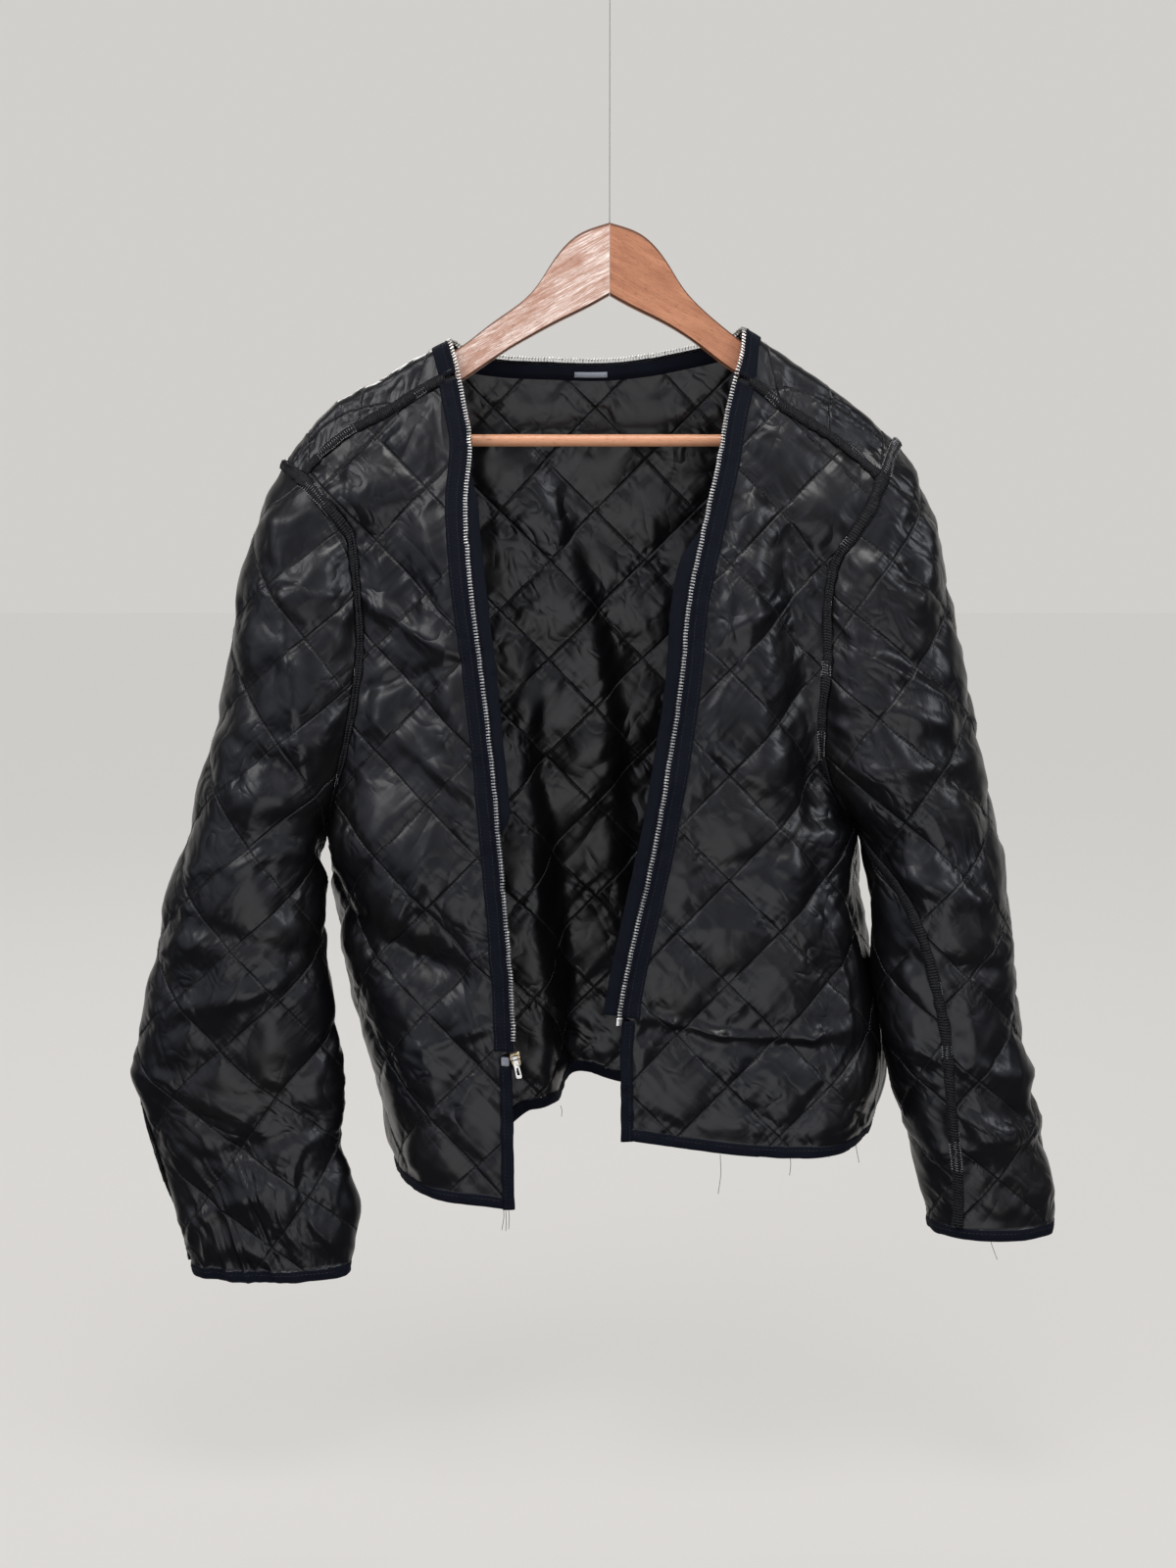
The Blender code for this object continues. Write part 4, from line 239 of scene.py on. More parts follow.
# Where each piece is crumpled more or less, the folds it has of its own, and the depth
# of the middle line that parts its front from its back.
LINES = {
    "front_left": {
        "middle": 0.0, "folds": (0.04, 0.125),
        "zones": rows(Zone, -1900, 3200, 700, 5000, -1600, 5600, 600, 8000,
            -1400, 7400, 900, -5000, -1500, 2000, 500, 6000),
        "creases": rows(Crease, -2000, 3000, -1300, 3400, 70, 28,
            -1950, 3720, -1200, 3500, 60, -22, -1850, 4000, -1100, 4550, 80, 26,
            -1500, 6600, -950, 6400, 60, 20)},
    "front_right": {
        "middle": 0.0, "folds": (0.04, 0.125),
        "zones": rows(Zone, 1500, 3000, 700, 5000, 1300, 7200, 800, -5000, 1000, 1800, 500, 5000,
            1900, 5000, 600, 6000),
        "creases": rows(Crease, 270, 6330, 500, 6380, 60, 35, 500, 6380, 900, 6500, 60, 40,
            900, 6500, 1650, 6520, 60, 38, 1650, 6520, 1880, 6480, 60, 30,
            900, 3300, 1600, 2900, 70, 24, 850, 4200, 1500, 4650, 80, 26,
            700, 5200, 1400, 5000, 70, -22)},
    "back": {
        "middle": 0.3, "folds": (0.045, 0.15),
        "zones": rows(Zone, -200, 3000, 800, 5000, 0, 6200, 900, 6000, -500, 4800, 600, 6000),
        "creases": rows(Crease, -800, 1600, -980, 1760, 50, -30)},
    "sleeve_left": {
        "middle": 0.0, "folds": (0.07, 0.05),
        "zones": rows(Zone, -3000, 8200, 700, 14000, -2800, 3000, 800, 6000,
            -2400, 5200, 500, 14000, -3300, 6000, 700, 7000),
        "creases": rows(Crease, -2690, 2300, -2570, 3500, 80, 32, -2570, 3500, -2460, 4500, 80, 34,
            -3200, 4000, -2600, 4400, 80, -26, -3350, 5200, -2550, 5000, 90, 34,
            -3500, 5600, -2620, 5850, 80, -32, -3720, 6400, -2700, 6120, 80, 36,
            -3800, 6900, -3000, 7250, 90, 36, -3300, 7600, -2450, 7350, 80, -34,
            -3500, 8150, -2900, 7900, 80, 34)},
    "sleeve_right": {
        "middle": 0.0, "folds": (0.05, 0.07),
        "zones": rows(Zone, 2300, 3000, 800, 12000, 2400, 5200, 600, 10000, 3200, 7200, 700, 8000),
        "creases": rows(Crease, 1850, 2600, 2450, 3000, 80, 36, 1750, 3300, 2500, 3520, 80, -30,
            1900, 3800, 2700, 4000, 80, 34, 2100, 4400, 2900, 4300, 80, 30,
            2250, 5200, 3100, 5450, 80, 34, 2350, 5900, 3300, 6000, 80, -30,
            2450, 6650, 3400, 6900, 80, 32, 2750, 7500, 3600, 7350, 80, 30)},
}

# ------------ small helpers
def units(v):
    """Vectors over their own length."""
    return v / np.maximum(np.linalg.norm(v, axis=-1, keepdims=True), 1e-12)


def run_length(points):
    """Distance along a run of points, nought at its start."""
    return np.concatenate([[0.0], np.cumsum(np.linalg.norm(np.diff(points, axis=0), axis=1))])


def rows_at(points, length, where):
    """Points at given distances along a run."""
    return np.stack([np.interp(where, length, column) for column in points.T], axis=1)


def through(xs, ys, x):
    """A smooth curve through table rows: cubic pieces with averaged slopes."""
    xs, ys, x = np.asarray(xs, float), np.asarray(ys, float), np.asarray(x, float)
    steps = np.diff(ys) / np.diff(xs)
    slopes = np.concatenate([steps[:1], (steps[:-1] + steps[1:]) / 2, steps[-1:]])
    k = np.clip(np.searchsorted(xs, x) - 1, 0, len(xs) - 2)
    width = xs[k + 1] - xs[k]
    u = (x - xs[k]) / width
    inside = np.clip(u, 0.0, 1.0)
    value = ((2 * inside**3 - 3 * inside**2 + 1) * ys[k]
             + (inside**3 - 2 * inside**2 + inside) * width * slopes[k]
             + (3 * inside**2 - 2 * inside**3) * ys[k + 1]
             + (inside**3 - inside**2) * width * slopes[k + 1])
    return value + (u - inside) * width * np.where(u < 0, slopes[k], slopes[k + 1])


def look_up(table, column, value, key="drop"):
    """One column of a table at a drop, or at a value of another column."""
    return through([getattr(row, key) for row in table], [getattr(row, column) for row in table],
                   value)


def smooth(u):
    """0 to 1 with level ends."""
    u = np.clip(u, 0.0, 1.0)
    return u * u * (3 - 2 * u)


def at(x, y, drop):
    """Points of the part from x, y and drop."""
    x, y, drop = np.broadcast_arrays(x, y, drop)
    return np.stack([x, y, HANGER_TOP - drop], axis=-1)


def ridge(x):
    """Drop of the shoulder line at x."""
    return look_up(sorted(SHOULDER_LINE, key=lambda row: row.x), "drop", x, "x")


def edge_x(side, drop):
    """x of a front's edge."""
    return float(look_up(FRONT_EDGE[side], "x", drop))


# ------------ hanging surfaces
def fall(t, reach):
    """Depth of hanging cloth at cloth distance t below the ridge."""
    turn = RIDGE_RADIUS * np.sin(np.minimum(t, BEND) / RIDGE_RADIUS)
    return turn + reach * (1 - np.exp(-np.maximum(t - BEND, 0.0) / FALL_LENGTH))


def sink(t):
    """Drop below the ridge at cloth distance t."""
    turn = RIDGE_RADIUS * (1 - np.cos(np.minimum(t, BEND) / RIDGE_RADIUS))
    return turn + np.maximum(t - BEND, 0.0)


def unsink(drop):
    """Cloth distance at a drop below the ridge, the inverse of sink."""
    drop = np.maximum(drop, 0.0)
    inside = np.arccos(np.clip(1 - drop / RIDGE_RADIUS, -1, 1)) * RIDGE_RADIUS
    return np.where(drop < RIDGE_RADIUS, inside, BEND + drop - RIDGE_RADIUS)


def crease_lift(crease, x, drop):
    """Soft ridge along one line, fading over its ends."""
    way = np.array([crease.x1 - crease.x0, crease.drop1 - crease.drop0])
    length = np.hypot(*way)
    way /= length
    dx, dd = x - crease.x0, drop - crease.drop0
    s = dx * way[0] + dd * way[1]
    off = dx * way[1] - dd * way[0]
    over = np.maximum(np.maximum(-s, s - length), 0.0)
    return crease.lift * np.exp(-(off**2 + over**2) / crease.width**2)


def sheet(side, face, x, drop):
    """y of a front or of the back before it is drawn in at its side."""
    if face == "front":
        y = -fall(unsink(drop - ridge(x)), FRONT_REACH)
        edge = OUTWARD[side] * (x - look_up(FRONT_EDGE[side], "x", drop))
        y = y - 0.010 * np.exp(-np.maximum(edge, -0.030) / 0.035) * smooth((drop - 0.16) / 0.15)
        for crease in FRONT_CREASES[side]:
            y = y - crease_lift(crease, x, drop) * smooth((edge - 0.012) / 0.04)
        return y
    y = fall(unsink(drop - ridge(x)), BACK_REACH)
    for line in BACK_FOLDS:
        lift = np.maximum(look_up(line, "lift", drop), 0.0) * smooth((drop - line[0].drop) / 0.04)
        y = y + lift / 2 * np.tanh((x - look_up(line, "x", drop)) / FOLD_HALF)
    return y


def ring_span(side, drop):
    """x of the middle of a sleeve's ring, and half its width."""
    outer, inner = (look_up(SLEEVE[side], name, drop) for name in ("outer", "inner"))
    return (outer + inner) / 2, (outer - inner) / 2


def sleeve_ring(side, drop, angle):
    """Point of a sleeve: angle 0 is its outer line, the front has positive sin."""
    table = SLEEVE[side]
    middle, half = ring_span(side, drop)
    y = look_up(table, "middle", drop) - look_up(table, "depth", drop) * np.sin(angle)
    return middle + half * np.cos(angle), y


TIP = {side: ARMHOLE[side][0].drop for side in SIDES}      # drop of the shoulder's tip


def armhole_angle(side, drop):
    """Angle on the sleeve's ring where the armhole seam crosses it."""
    middle, half = ring_span(side, drop)
    cosine = (look_up(ARMHOLE[side], "x", drop) - middle) / half
    cosine = np.where(drop <= TIP[side] + 1e-6, 1.0, np.where(drop >= ARMPIT - 1e-6, -1.0, cosine))
    return np.arccos(np.clip(cosine, -1, 1))


def body_end(side, face, drop):
    """x and y where a body sheet ends: armhole seam above, outermost line below."""
    tip = TIP[side]
    above = np.minimum(drop, ARMPIT)
    x_arm = look_up(ARMHOLE[side], "x", np.maximum(above, tip))
    angle = armhole_angle(side, np.maximum(above, tip))
    _, y_arm = sleeve_ring(side, above, angle if face == "front" else -angle)
    own = sheet(side, face, x_arm, above)
    y_arm = own + (y_arm - own) * smooth((above - tip) / 0.02)
    below = drop > ARMPIT
    return (np.where(below, look_up(BODY_SIDE[side], "x", drop), x_arm),
            np.where(below, look_up(BODY_SIDE[side], "y", drop), y_arm))


def body_y(side, face, x, drop):
    """y of a body sheet, drawn in towards its end."""
    x_end, y_end = body_end(side, face, drop)
    low = smooth((drop - 0.42) / 0.10)
    power = 1.25 + 0.75 * low
    near = np.clip(1 - OUTWARD[side] * (x_end - x) / (0.080 - 0.022 * low), 0.0, 1.0)
    pull = 1 - (1 - near**power) ** (1 / power)
    pull = pull * (y_end - sheet(side, face, x_end, drop))
    return sheet(side, face, x, drop) + pull * smooth((drop - TIP[side]) / 0.01)


P_STEP = 0.002
ROW_STEP = 0.005


def cubic_weights(t):
    """Catmull-Rom weights of four neighbours: cubic in the fraction t, and they add to 1."""
    return ((-t + 2 * t**2 - t**3) / 2, (2 - 5 * t**2 + 3 * t**3) / 2,
            (t + 4 * t**2 - 3 * t**3) / 2, (-t**2 + t**3) / 2)


class Surface:
    """Hanging cloth as a table of points over even steps of q and of cloth distance p."""

    def __init__(self, q_rows, found, facing):
        self.q, self.rows, self.facing = q_rows, found, facing
        self.p = np.arange(min(ps[0] for ps, _ in found), max(ps[-1] for ps, _ in found), P_STEP)
        table = np.array([[np.interp(self.p, ps, points[:, axis]) for axis in range(3)]
                          for ps, points in found]).transpose(0, 2, 1)
        for _ in range(2):
            table[:, 1:-1] = (table[:, :-2] + 2 * table[:, 1:-1] + table[:, 2:]) / 4
        table[1:-1] = (table[:-2] + 4 * table[1:-1] + table[2:]) / 6
        self.table = table

    def points(self, p, q):
        """Points of the cloth: a cubic blend of the four nearest rows and columns."""
        p, q = np.broadcast_arrays(np.asarray(p, float), np.asarray(q, float))
        down = np.clip((q - self.q[0]) / (self.q[1] - self.q[0]), 1, len(self.q) - 2.001)
        across = np.clip((p - self.p[0]) / P_STEP, 1, len(self.p) - 2.001)
        row, column = down.astype(int), across.astype(int)
        total = 0.0
        for n, row_weight in enumerate(cubic_weights(down - row)):
            for m, weight in enumerate(cubic_weights(across - column)):
                found = self.table[row + n - 1, column + m - 1]
                total = total + found * (row_weight * weight)[..., None]
        return total

    def normals(self, p, q, reach=0.003):
        """Unit normals: the cross product of short steps across and down the cloth."""
        across = self.points(p + reach, q) - self.points(p - reach, q)
        down = self.points(p, q + reach) - self.points(p, q - reach)
        return units(np.cross(across, down) * self.facing)

    def p_at_x(self, q, x, low, high):
        """p of the place with this x, between two values of p, on the row at q."""
        ps = np.linspace(low, high, 240)
        xs = self.points(ps, q)[:, 0]
        order = np.argsort(xs)
        return float(np.interp(x, xs[order], ps[order]))


def distances(points, zero):
    """Cloth distance along a row, nought at index zero."""
    total = run_length(points)
    return total - total[zero]


def body_row(side, face, drop):
    """Front cloth from beyond its edge, or back cloth from its middle, to its outermost place."""
    start = edge_x(side, drop) - OUTWARD[side] * 0.030 if face == "front" else 0.0
    end = float(body_end(side, face, drop)[0])
    x = start + (end - start) * np.sin(np.linspace(0, 1, 70) * math.pi / 2)
    return at(x, body_y(side, face, x, drop), drop)


def front_surface(side):
    q_rows = np.arange(0.095, 0.86, ROW_STEP)
    found = []
    for q in q_rows:
        drop = q - WRAP_EXTRA
        row = body_row(side, "front", drop)
        if drop > ARMPIT:
            row = np.vstack([row, body_row(side, "back", drop)[::-1][1:55]])
        else:
            way = row[-1] - row[-3]
            row = np.vstack([row, row[-1] + way / np.linalg.norm(way) * 0.03])
        zero = int(np.argmin(np.abs(row[:60, 0] - REFERENCE_X[side])))
        off = row[zero, 0] - REFERENCE_X[side]
        p = distances(row, zero) + abs(off) * np.sign(off * OUTWARD[side])
        found.append((-p[::-1], row[::-1]) if side == "left" else (p, row))
    return Surface(q_rows, found, -1.0)


def shoulder_points(q, x):
    """Back cloth over the shoulder: behind the ridge for q beyond it, else before it."""
    line = ridge(x)
    t = q - line
    drop = line + sink(np.abs(t))
    y = np.zeros_like(x)
    for side in SIDES:
        for face, behind in (("back", True), ("front", False)):
            here = ((x * OUTWARD[side]) >= 0) & ((t >= 0) == behind)
            if here.any():
                y[here] = body_y(side, face, x[here], drop[here])
    return at(x, y, drop)


def back_surface():
    q_rows = np.arange(0.03, 0.86, ROW_STEP)
    found = []
    for q in q_rows:
        drop = q - WRAP_EXTRA
        if drop > ARMPIT:
            left, right = (np.vstack([body_row(side, "back", drop),
                                      body_row(side, "front", drop)[::-1][1:40]]) for side in SIDES)
            row, zero = np.vstack([left[::-1], right[1:]]), len(left) - 1
        else:
            row, zero = shoulder_points(q, np.linspace(-0.300, 0.300, 401)), 200
        found.append((distances(row, zero), row))
    return Surface(q_rows, found, 1.0)


class SleeveSurface(Surface):
    """Closed rings: p goes round, nought on the outer line, and may pass the inner one."""
    ANGLES = np.linspace(-3 * math.pi, 3 * math.pi, 601)

    def __init__(self, side):
        self.side, self.round = side, []
        q_rows, found = np.arange(0.150, 0.90, ROW_STEP), []
        for drop in q_rows:
            row = at(*sleeve_ring(side, drop, -self.ANGLES * OUTWARD[side]), drop)
            p = distances(row, 300)
            found.append((p, row))
            self.round.append(p[400] - p[200])
        super().__init__(q_rows, found, -1.0)

    def seam_p(self, drop):
        """p of the underarm seam's two edges, low and high."""
        shift = float(look_up(SLEEVE_SEAM_SHIFT[self.side], "x", drop))
        half = float(np.interp(drop, self.q, self.round)) / 2
        return -half + shift, half + shift

    def armhole_p(self, drop, face):
        """p of the armhole seam on the front or the back of the sleeve."""
        k = int(round(np.interp(drop, self.q, np.arange(len(self.q)))))
        reach = np.interp(float(armhole_angle(self.side, drop)), self.ANGLES, self.rows[k][0])
        return float(reach) * (-OUTWARD[self.side] if face == "front" else OUTWARD[self.side])


FRONTS = {side: front_surface(side) for side in SIDES}
BACK = back_surface()
SLEEVES = {side: SleeveSurface(side) for side in SIDES}

# ------------ seams' points
# Outline point, its seam's key and the flat band beside it.
Mark = namedtuple("Mark", "p q seam flat", defaults=(None, 0.0))
SEAM_POINT = {}
SEAM_NORMALS = {}


def even(low, high, step=OUTLINE_STEP):
    """Values from low to high at about one step."""
    return np.linspace(low, high, max(2, int(round(abs(high - low) / step)) + 1))


def shoulder_x(side):
    """x of the shoulder seam's ends at the neck and at the armhole, and the drop of the latter."""
    seam = FORWARD_SEAM[side]
    drops = np.linspace(0.09, 0.24, 400)
    x_neck = look_up(FRONT_EDGE[side], "x", drops)
    x_neck = x_neck[np.argmin(np.abs(drops - ridge(x_neck) - seam))]
    arm = np.linspace(TIP[side], 0.26, 400)
    x_arm = look_up(ARMHOLE[side], "x", arm)
    k = np.argmin(np.abs(arm - ridge(x_arm) - seam))
    return float(x_neck), float(x_arm[k]), float(arm[k])


def front_p(side, x, q):
    return FRONTS[side].p_at_x(q, x, -0.13 if side == "left" else -0.14, 0.16)


def back_p(x, q):
    return BACK.p_at_x(q, x, -0.34, 0.34)


def seam_mark(surface, p, q, key, point, flat=0.0):
    """Outline point on a seam that another piece shares."""
    SEAM_POINT[key] = point
    SEAM_NORMALS.setdefault(key, []).append(surface.normals(p, q))
    return Mark(p, q, key, flat)


def armhole_drops(side, part):
    tip, join = TIP[side], shoulder_x(side)[2]
    if part == "cap":
        return even(tip, join, 0.008)
    start, reach = (join, 0.024) if part == "front" else (tip, 0.032)
    return np.concatenate([even(start, start + reach, 0.008), even(start + reach, ARMPIT)[1:]])


def cap_end(side):
    """Key of the armhole's point where the shoulder seam meets it."""
    return ("armhole", side, "cap", len(armhole_drops(side, "cap")) - 1)


def shoulder_marks(side, piece):
    """Shoulder seam from the neck to the armhole."""
    x_neck, x_arm, _ = shoulder_x(side)
    surface = FRONTS[side] if piece == "front" else BACK
    marks = []
    for k, x in enumerate([x_neck] + list(even(x_neck + OUTWARD[side] * ZIP_BAND, x_arm))):
        drop = float(ridge(x)) + FORWARD_SEAM[side]
        y = float(body_y(side, "front", x, drop))
        if piece == "front":
            q = drop + WRAP_EXTRA
            p = front_p(side, x, q)
        else:
            q = float(ridge(x)) - float(unsink(FORWARD_SEAM[side]))
            p = back_p(x, q)
        marks.append(seam_mark(surface, p, q, ("shoulder", side, k), at(x, y, drop), SEAM_BAND))
    tip = marks.pop()
    marks.append(seam_mark(surface, tip.p, tip.q, cap_end(side), SEAM_POINT[tip.seam], SEAM_BAND))
    return marks


def armhole_marks(side, part, piece):
    """Armhole seam: cap is before the tip on the back piece, then front and back."""
    face = "back" if part == "back" else "front"
    marks = []
    for k, drop in enumerate(armhole_drops(side, part)):
        x, y = (float(v) for v in body_end(side, face, drop))
        key = ("armhole", side, part, k)
        if k == 0 and part != "cap":
            key = ("armhole", side, "cap", 0) if part == "back" else cap_end(side)
        if drop >= ARMPIT - 1e-9:
            key = ("underarm", side)
        if piece == "sleeve":
            surface, q = SLEEVES[side], drop
            p = surface.armhole_p(drop, face)
        elif piece == "front":
            surface, q = FRONTS[side], drop + WRAP_EXTRA
            p = front_p(side, x, q)
        else:
            t = float(unsink(drop - ridge(x)))
            surface, q = BACK, float(ridge(x)) + (t if part == "back" else -t)
            p = back_p(x, q)
        marks.append(seam_mark(surface, p, q, key, at(x, y, drop), SEAM_BAND))
    return marks


def hem_q(p):
    """q of the back's hem at p, from its table over x."""
    table = sorted(HEM_BACK, key=lambda row: row.x)
    q = 0.75 + WRAP_EXTRA
    for _ in range(4):
        x = float(BACK.points(p, q)[0])
        q = float(np.interp(x, [row.x for row in table], [row.drop for row in table])) + WRAP_EXTRA
    return q


def side_seam_p(side, drop, piece):
    """p of the side seam: the body's outermost line, and then a shift towards the back."""
    q = drop + WRAP_EXTRA
    if drop <= ARMPIT + 1e-9:
        x = float(body_end(side, "front", drop)[0])
        return front_p(side, x, q) if piece == "front" else back_p(x, q)
    surface, turn = (FRONTS[side], 1) if piece == "front" else (BACK, -1)
    ps, row = surface.rows[int(round((q - surface.q[0]) / ROW_STEP))]
    shift = float(look_up(SIDE_SEAM_SHIFT[side], "x", drop)) * OUTWARD[side]
    return float(ps[np.argmax(row[:, 0] * OUTWARD[side])]) + turn * shift


def side_marks(side, piece):
    """Side seam from the underarm to the hem."""
    marks = []
    surface = FRONTS[side] if piece == "front" else BACK
    for k, drop in enumerate(even(ARMPIT, SIDE_HEM[side])):
        q = drop + WRAP_EXTRA
        if k == 0:
            x, y = (float(v) for v in body_end(side, "front", drop))
            key, point = ("underarm", side), at(x, y, drop)
        else:
            key, point = ("side", side, k), BACK.points(side_seam_p(side, drop, "back"), q)
        marks.append(seam_mark(surface, side_seam_p(side, drop, piece), q, key, point))
    return marks


def front_runs(side):
    """Runs of marks round a front: shoulder, armhole, side, hem, bound edge, notch and zip."""
    inset = OUTWARD[side] * BINDING_WIDTH
    shoulder = shoulder_marks(side, "front")
    armhole = armhole_marks(side, "front", "front")
    seam = side_marks(side, "front")
    hem_end, zip_end = FRONT_EDGE[side][-1].drop, ZIP_END[side]
    drops = list(even(hem_end - BINDING_WIDTH, zip_end + NOTCH[side]))
    if side == "left":
        drops.append(zip_end + 0.002)
    bound, chain = [], []
    for drop in drops:
        q = drop + WRAP_EXTRA
        bound.append(Mark(front_p(side, edge_x(side, drop), q) + inset, q))
    top = float(ridge(shoulder_x(side)[0])) + FORWARD_SEAM[side]
    for drop in even(zip_end - 0.002, top, ZIP_STEP)[:-1]:
        q = drop + WRAP_EXTRA
        chain.append(Mark(front_p(side, edge_x(side, drop), q), q, None, ZIP_BAND))
    start, q_end = seam[-1], bound[0].q
    p_end = front_p(side, edge_x(side, hem_end), q_end) + inset
    hem = [start]
    for p in even(start.p, p_end)[1:-1]:
        u = (p - start.p) / (p_end - start.p)
        sag = 0.010 * math.sin(math.pi * u) * (1 if side == "right" else -0.4)
        hem.append(Mark(p, start.q + (q_end - start.q) * u + sag))
    return {"shoulder": shoulder, "armhole": armhole, "side": seam, "hem": hem + [bound[0]],
            "bound": bound, "notch": [bound[-1], chain[0]], "zip": chain + [shoulder[0]]}


def neck_half(side):
    """Neck edge in front of the ridge on one side, from the shoulder seam to the ridge."""
    front = FRONT_EDGE[side]
    start = float(ridge(shoulder_x(side)[0])) + FORWARD_SEAM[side]
    half = []
    for drop in even(start, max(front[0].drop, float(ridge(front[0].x))), 0.005)[1:]:
        x = edge_x(side, drop)
        q = float(ridge(x)) - float(unsink(drop - ridge(x)))
        half.append(Mark(back_p(x, q), q, None, ZIP_BAND))
    return half


def neck_middle():
    """Neck edge behind the ridge, from the left of the hanger to its right."""
    line = sorted(BACK_NECK, key=lambda row: row.x)
    low, high, near = line[0].x, line[-1].x, 0.036
    between = np.concatenate([even(low, low + near, 0.006),
                              even(low + near, high - near, 0.016)[1:-1],
                              even(high - near, high, 0.006)])
    middle = []
    for x in between[1:-1]:
        drop = float(look_up(line, "drop", x, "x"))
        q = float(ridge(x)) + float(unsink(drop - ridge(x)))
        middle.append(Mark(back_p(x, q), q, None, ZIP_BAND))
    return middle


def back_runs():
    """Runs of marks round the back, which turns over both shoulders."""
    runs = {}
    for side in SIDES:
        runs[f"shoulder_{side}"] = shoulder_marks(side, "back")
        runs[f"cap_{side}"] = armhole_marks(side, "cap", "back")[::-1]
        runs[f"armhole_{side}"] = armhole_marks(side, "back", "back")
        runs[f"side_{side}"] = side_marks(side, "back")
    runs["neck"] = ([runs["shoulder_left"][0]] + neck_half("left") + neck_middle()
                    + neck_half("right")[::-1] + [runs["shoulder_right"][0]])
    start, end = runs["side_left"][-1], runs["side_right"][-1]
    hem = [start]
    for p in even(start.p, end.p, 0.016)[1:-1]:
        near, side_q = min((abs(p - start.p), start.q), (abs(p - end.p), end.q))
        hem.append(Mark(p, side_q + (hem_q(p) - side_q) * float(smooth(near / 0.05))))
    runs["hem"] = hem + [end]
    return runs


def sleeve_runs(side):
    """Runs of marks round a sleeve: armhole from low p to high p, seam edges and end."""
    surface = SLEEVES[side]
    front = armhole_marks(side, "front", "sleeve")
    back = armhole_marks(side, "back", "sleeve")
    cap = back[::-1] + armhole_marks(side, "cap", "sleeve")[1:] + front[1:]
    if side == "right":
        cap = cap[::-1]
    hem = CUFF[side] - BINDING_WIDTH
    lows, highs = [cap[0]], [cap[-1]]
    for k, drop in enumerate(even(ARMPIT, hem)[1:], 1):
        low, high = surface.seam_p(drop)
        key, point = ("sleeve_seam", side, k), surface.points(high, drop)
        highs.append(seam_mark(surface, high, drop, key, point, SEAM_BAND))
        lows.append(seam_mark(surface, low, drop, key, point, SEAM_BAND))
    end = [Mark(p, hem) for p in even(*surface.seam_p(hem))[1:-1]]
    return {"cap": cap, "seam_low": lows, "seam_high": highs, "hem": [lows[-1]] + end + [highs[-1]]}


# ------------ noise and relief
LATTICES = {}


def noise(u, v, seed):
    """Value noise: random numbers at whole u and v, blended by smooth steps, -1 to 1."""
    if seed not in LATTICES:
        LATTICES[seed] = np.random.default_rng(seed).random((89, 89)) * 2 - 1
    table = LATTICES[seed]
    u, v = np.broadcast_arrays(np.asarray(u, float), np.asarray(v, float))
    i, j = np.floor(u).astype(int), np.floor(v).astype(int)
    a, b = smooth(u - i), smooth(v - j)
    i, j, i1, j1 = i % 89, j % 89, (i + 1) % 89, (j + 1) % 89
    low = table[i, j] * (1 - a) + table[i1, j] * a
    high = table[i, j1] * (1 - a) + table[i1, j1] * a
    return low * (1 - b) + high * b


def crumple(u, v, seed):
    """Crumpled cloth: sharp creases where warped noise crosses nought, at two scales."""
    warp_u = u + 0.55 * noise(u * 0.8 + 11.3, v * 0.8, seed + 1)
    warp_v = v + 0.55 * noise(u * 0.8, v * 0.8 + 5.7, seed + 2)
    total = 0.0
    for octave, size in enumerate((1.0, 0.5)):
        scale = 1.9**octave
        fold = np.abs(noise(warp_u * scale + 3.1 * octave, warp_v * scale, seed + 3 + octave))
        total = total + size * (1 - 3.2 * np.minimum(fold, 0.62))
    return total / 1.5


# ------------ cloth and its edges
Edge = namedtuple("Edge", "name flat target up band")


def spline_rows(values, t):
    """Rows at fractional places of a table: Catmull-Rom cubic through all of them."""
    values = np.asarray(values, float)
    padded = np.vstack([2 * values[0] - values[1], values, 2 * values[-1] - values[-2]])
    k = np.clip(np.floor(t).astype(int), 0, len(values) - 2)
    return sum(padded[k + n] * weight[:, None] for n, weight in enumerate(cubic_weights(t - k)))


def flat_points(marks):
    return np.array([(m.p, m.q) for m in marks])


def steps_along(step, least, *runs):
    """Number of points on a run of marks, or on the longer of two."""
    return max(least, int(round(max(run_length(flat_points(r))[-1] for r in runs) / step)) + 1)


def edge_of(name, marks, count):
    """A run of marks sampled at even steps; shared seams follow one curve in space."""
    flat = flat_points(marks)
    sealed = all(m.seam for m in marks)
    measure = np.array([SEAM_POINT[m.seam] for m in marks]) if sealed else flat
    total = run_length(measure)
    t = np.interp(np.linspace(0, total[-1], count), total, np.arange(len(marks)))
    target = up = None
    if sealed:
        target = spline_rows(measure, t)
        ups = [units(np.sum(SEAM_NORMALS[m.seam], axis=0)) for m in marks]
        up = units(spline_rows(ups, t))
    return Edge(name, spline_rows(flat, t), target, up, max(m.flat for m in marks))


def edges_of(runs, names, turn=1, others=None):
    """Edges of one side of a patch; with others, each has as many points as its opposite."""
    return [edge_of(name, runs[name][::turn], steps_along(EDGE_STEP, 3, runs[name], runs[other]))
            for name, other in zip(names, others or names)]


def side_points(edges, count):
    """Flat points at even steps along a side of a patch."""
    flat = np.vstack([edges[0].flat] + [edge.flat[1:] for edge in edges[1:]])
    steps = run_length(flat)
    return rows_at(flat, steps, np.linspace(0, steps[-1], count))


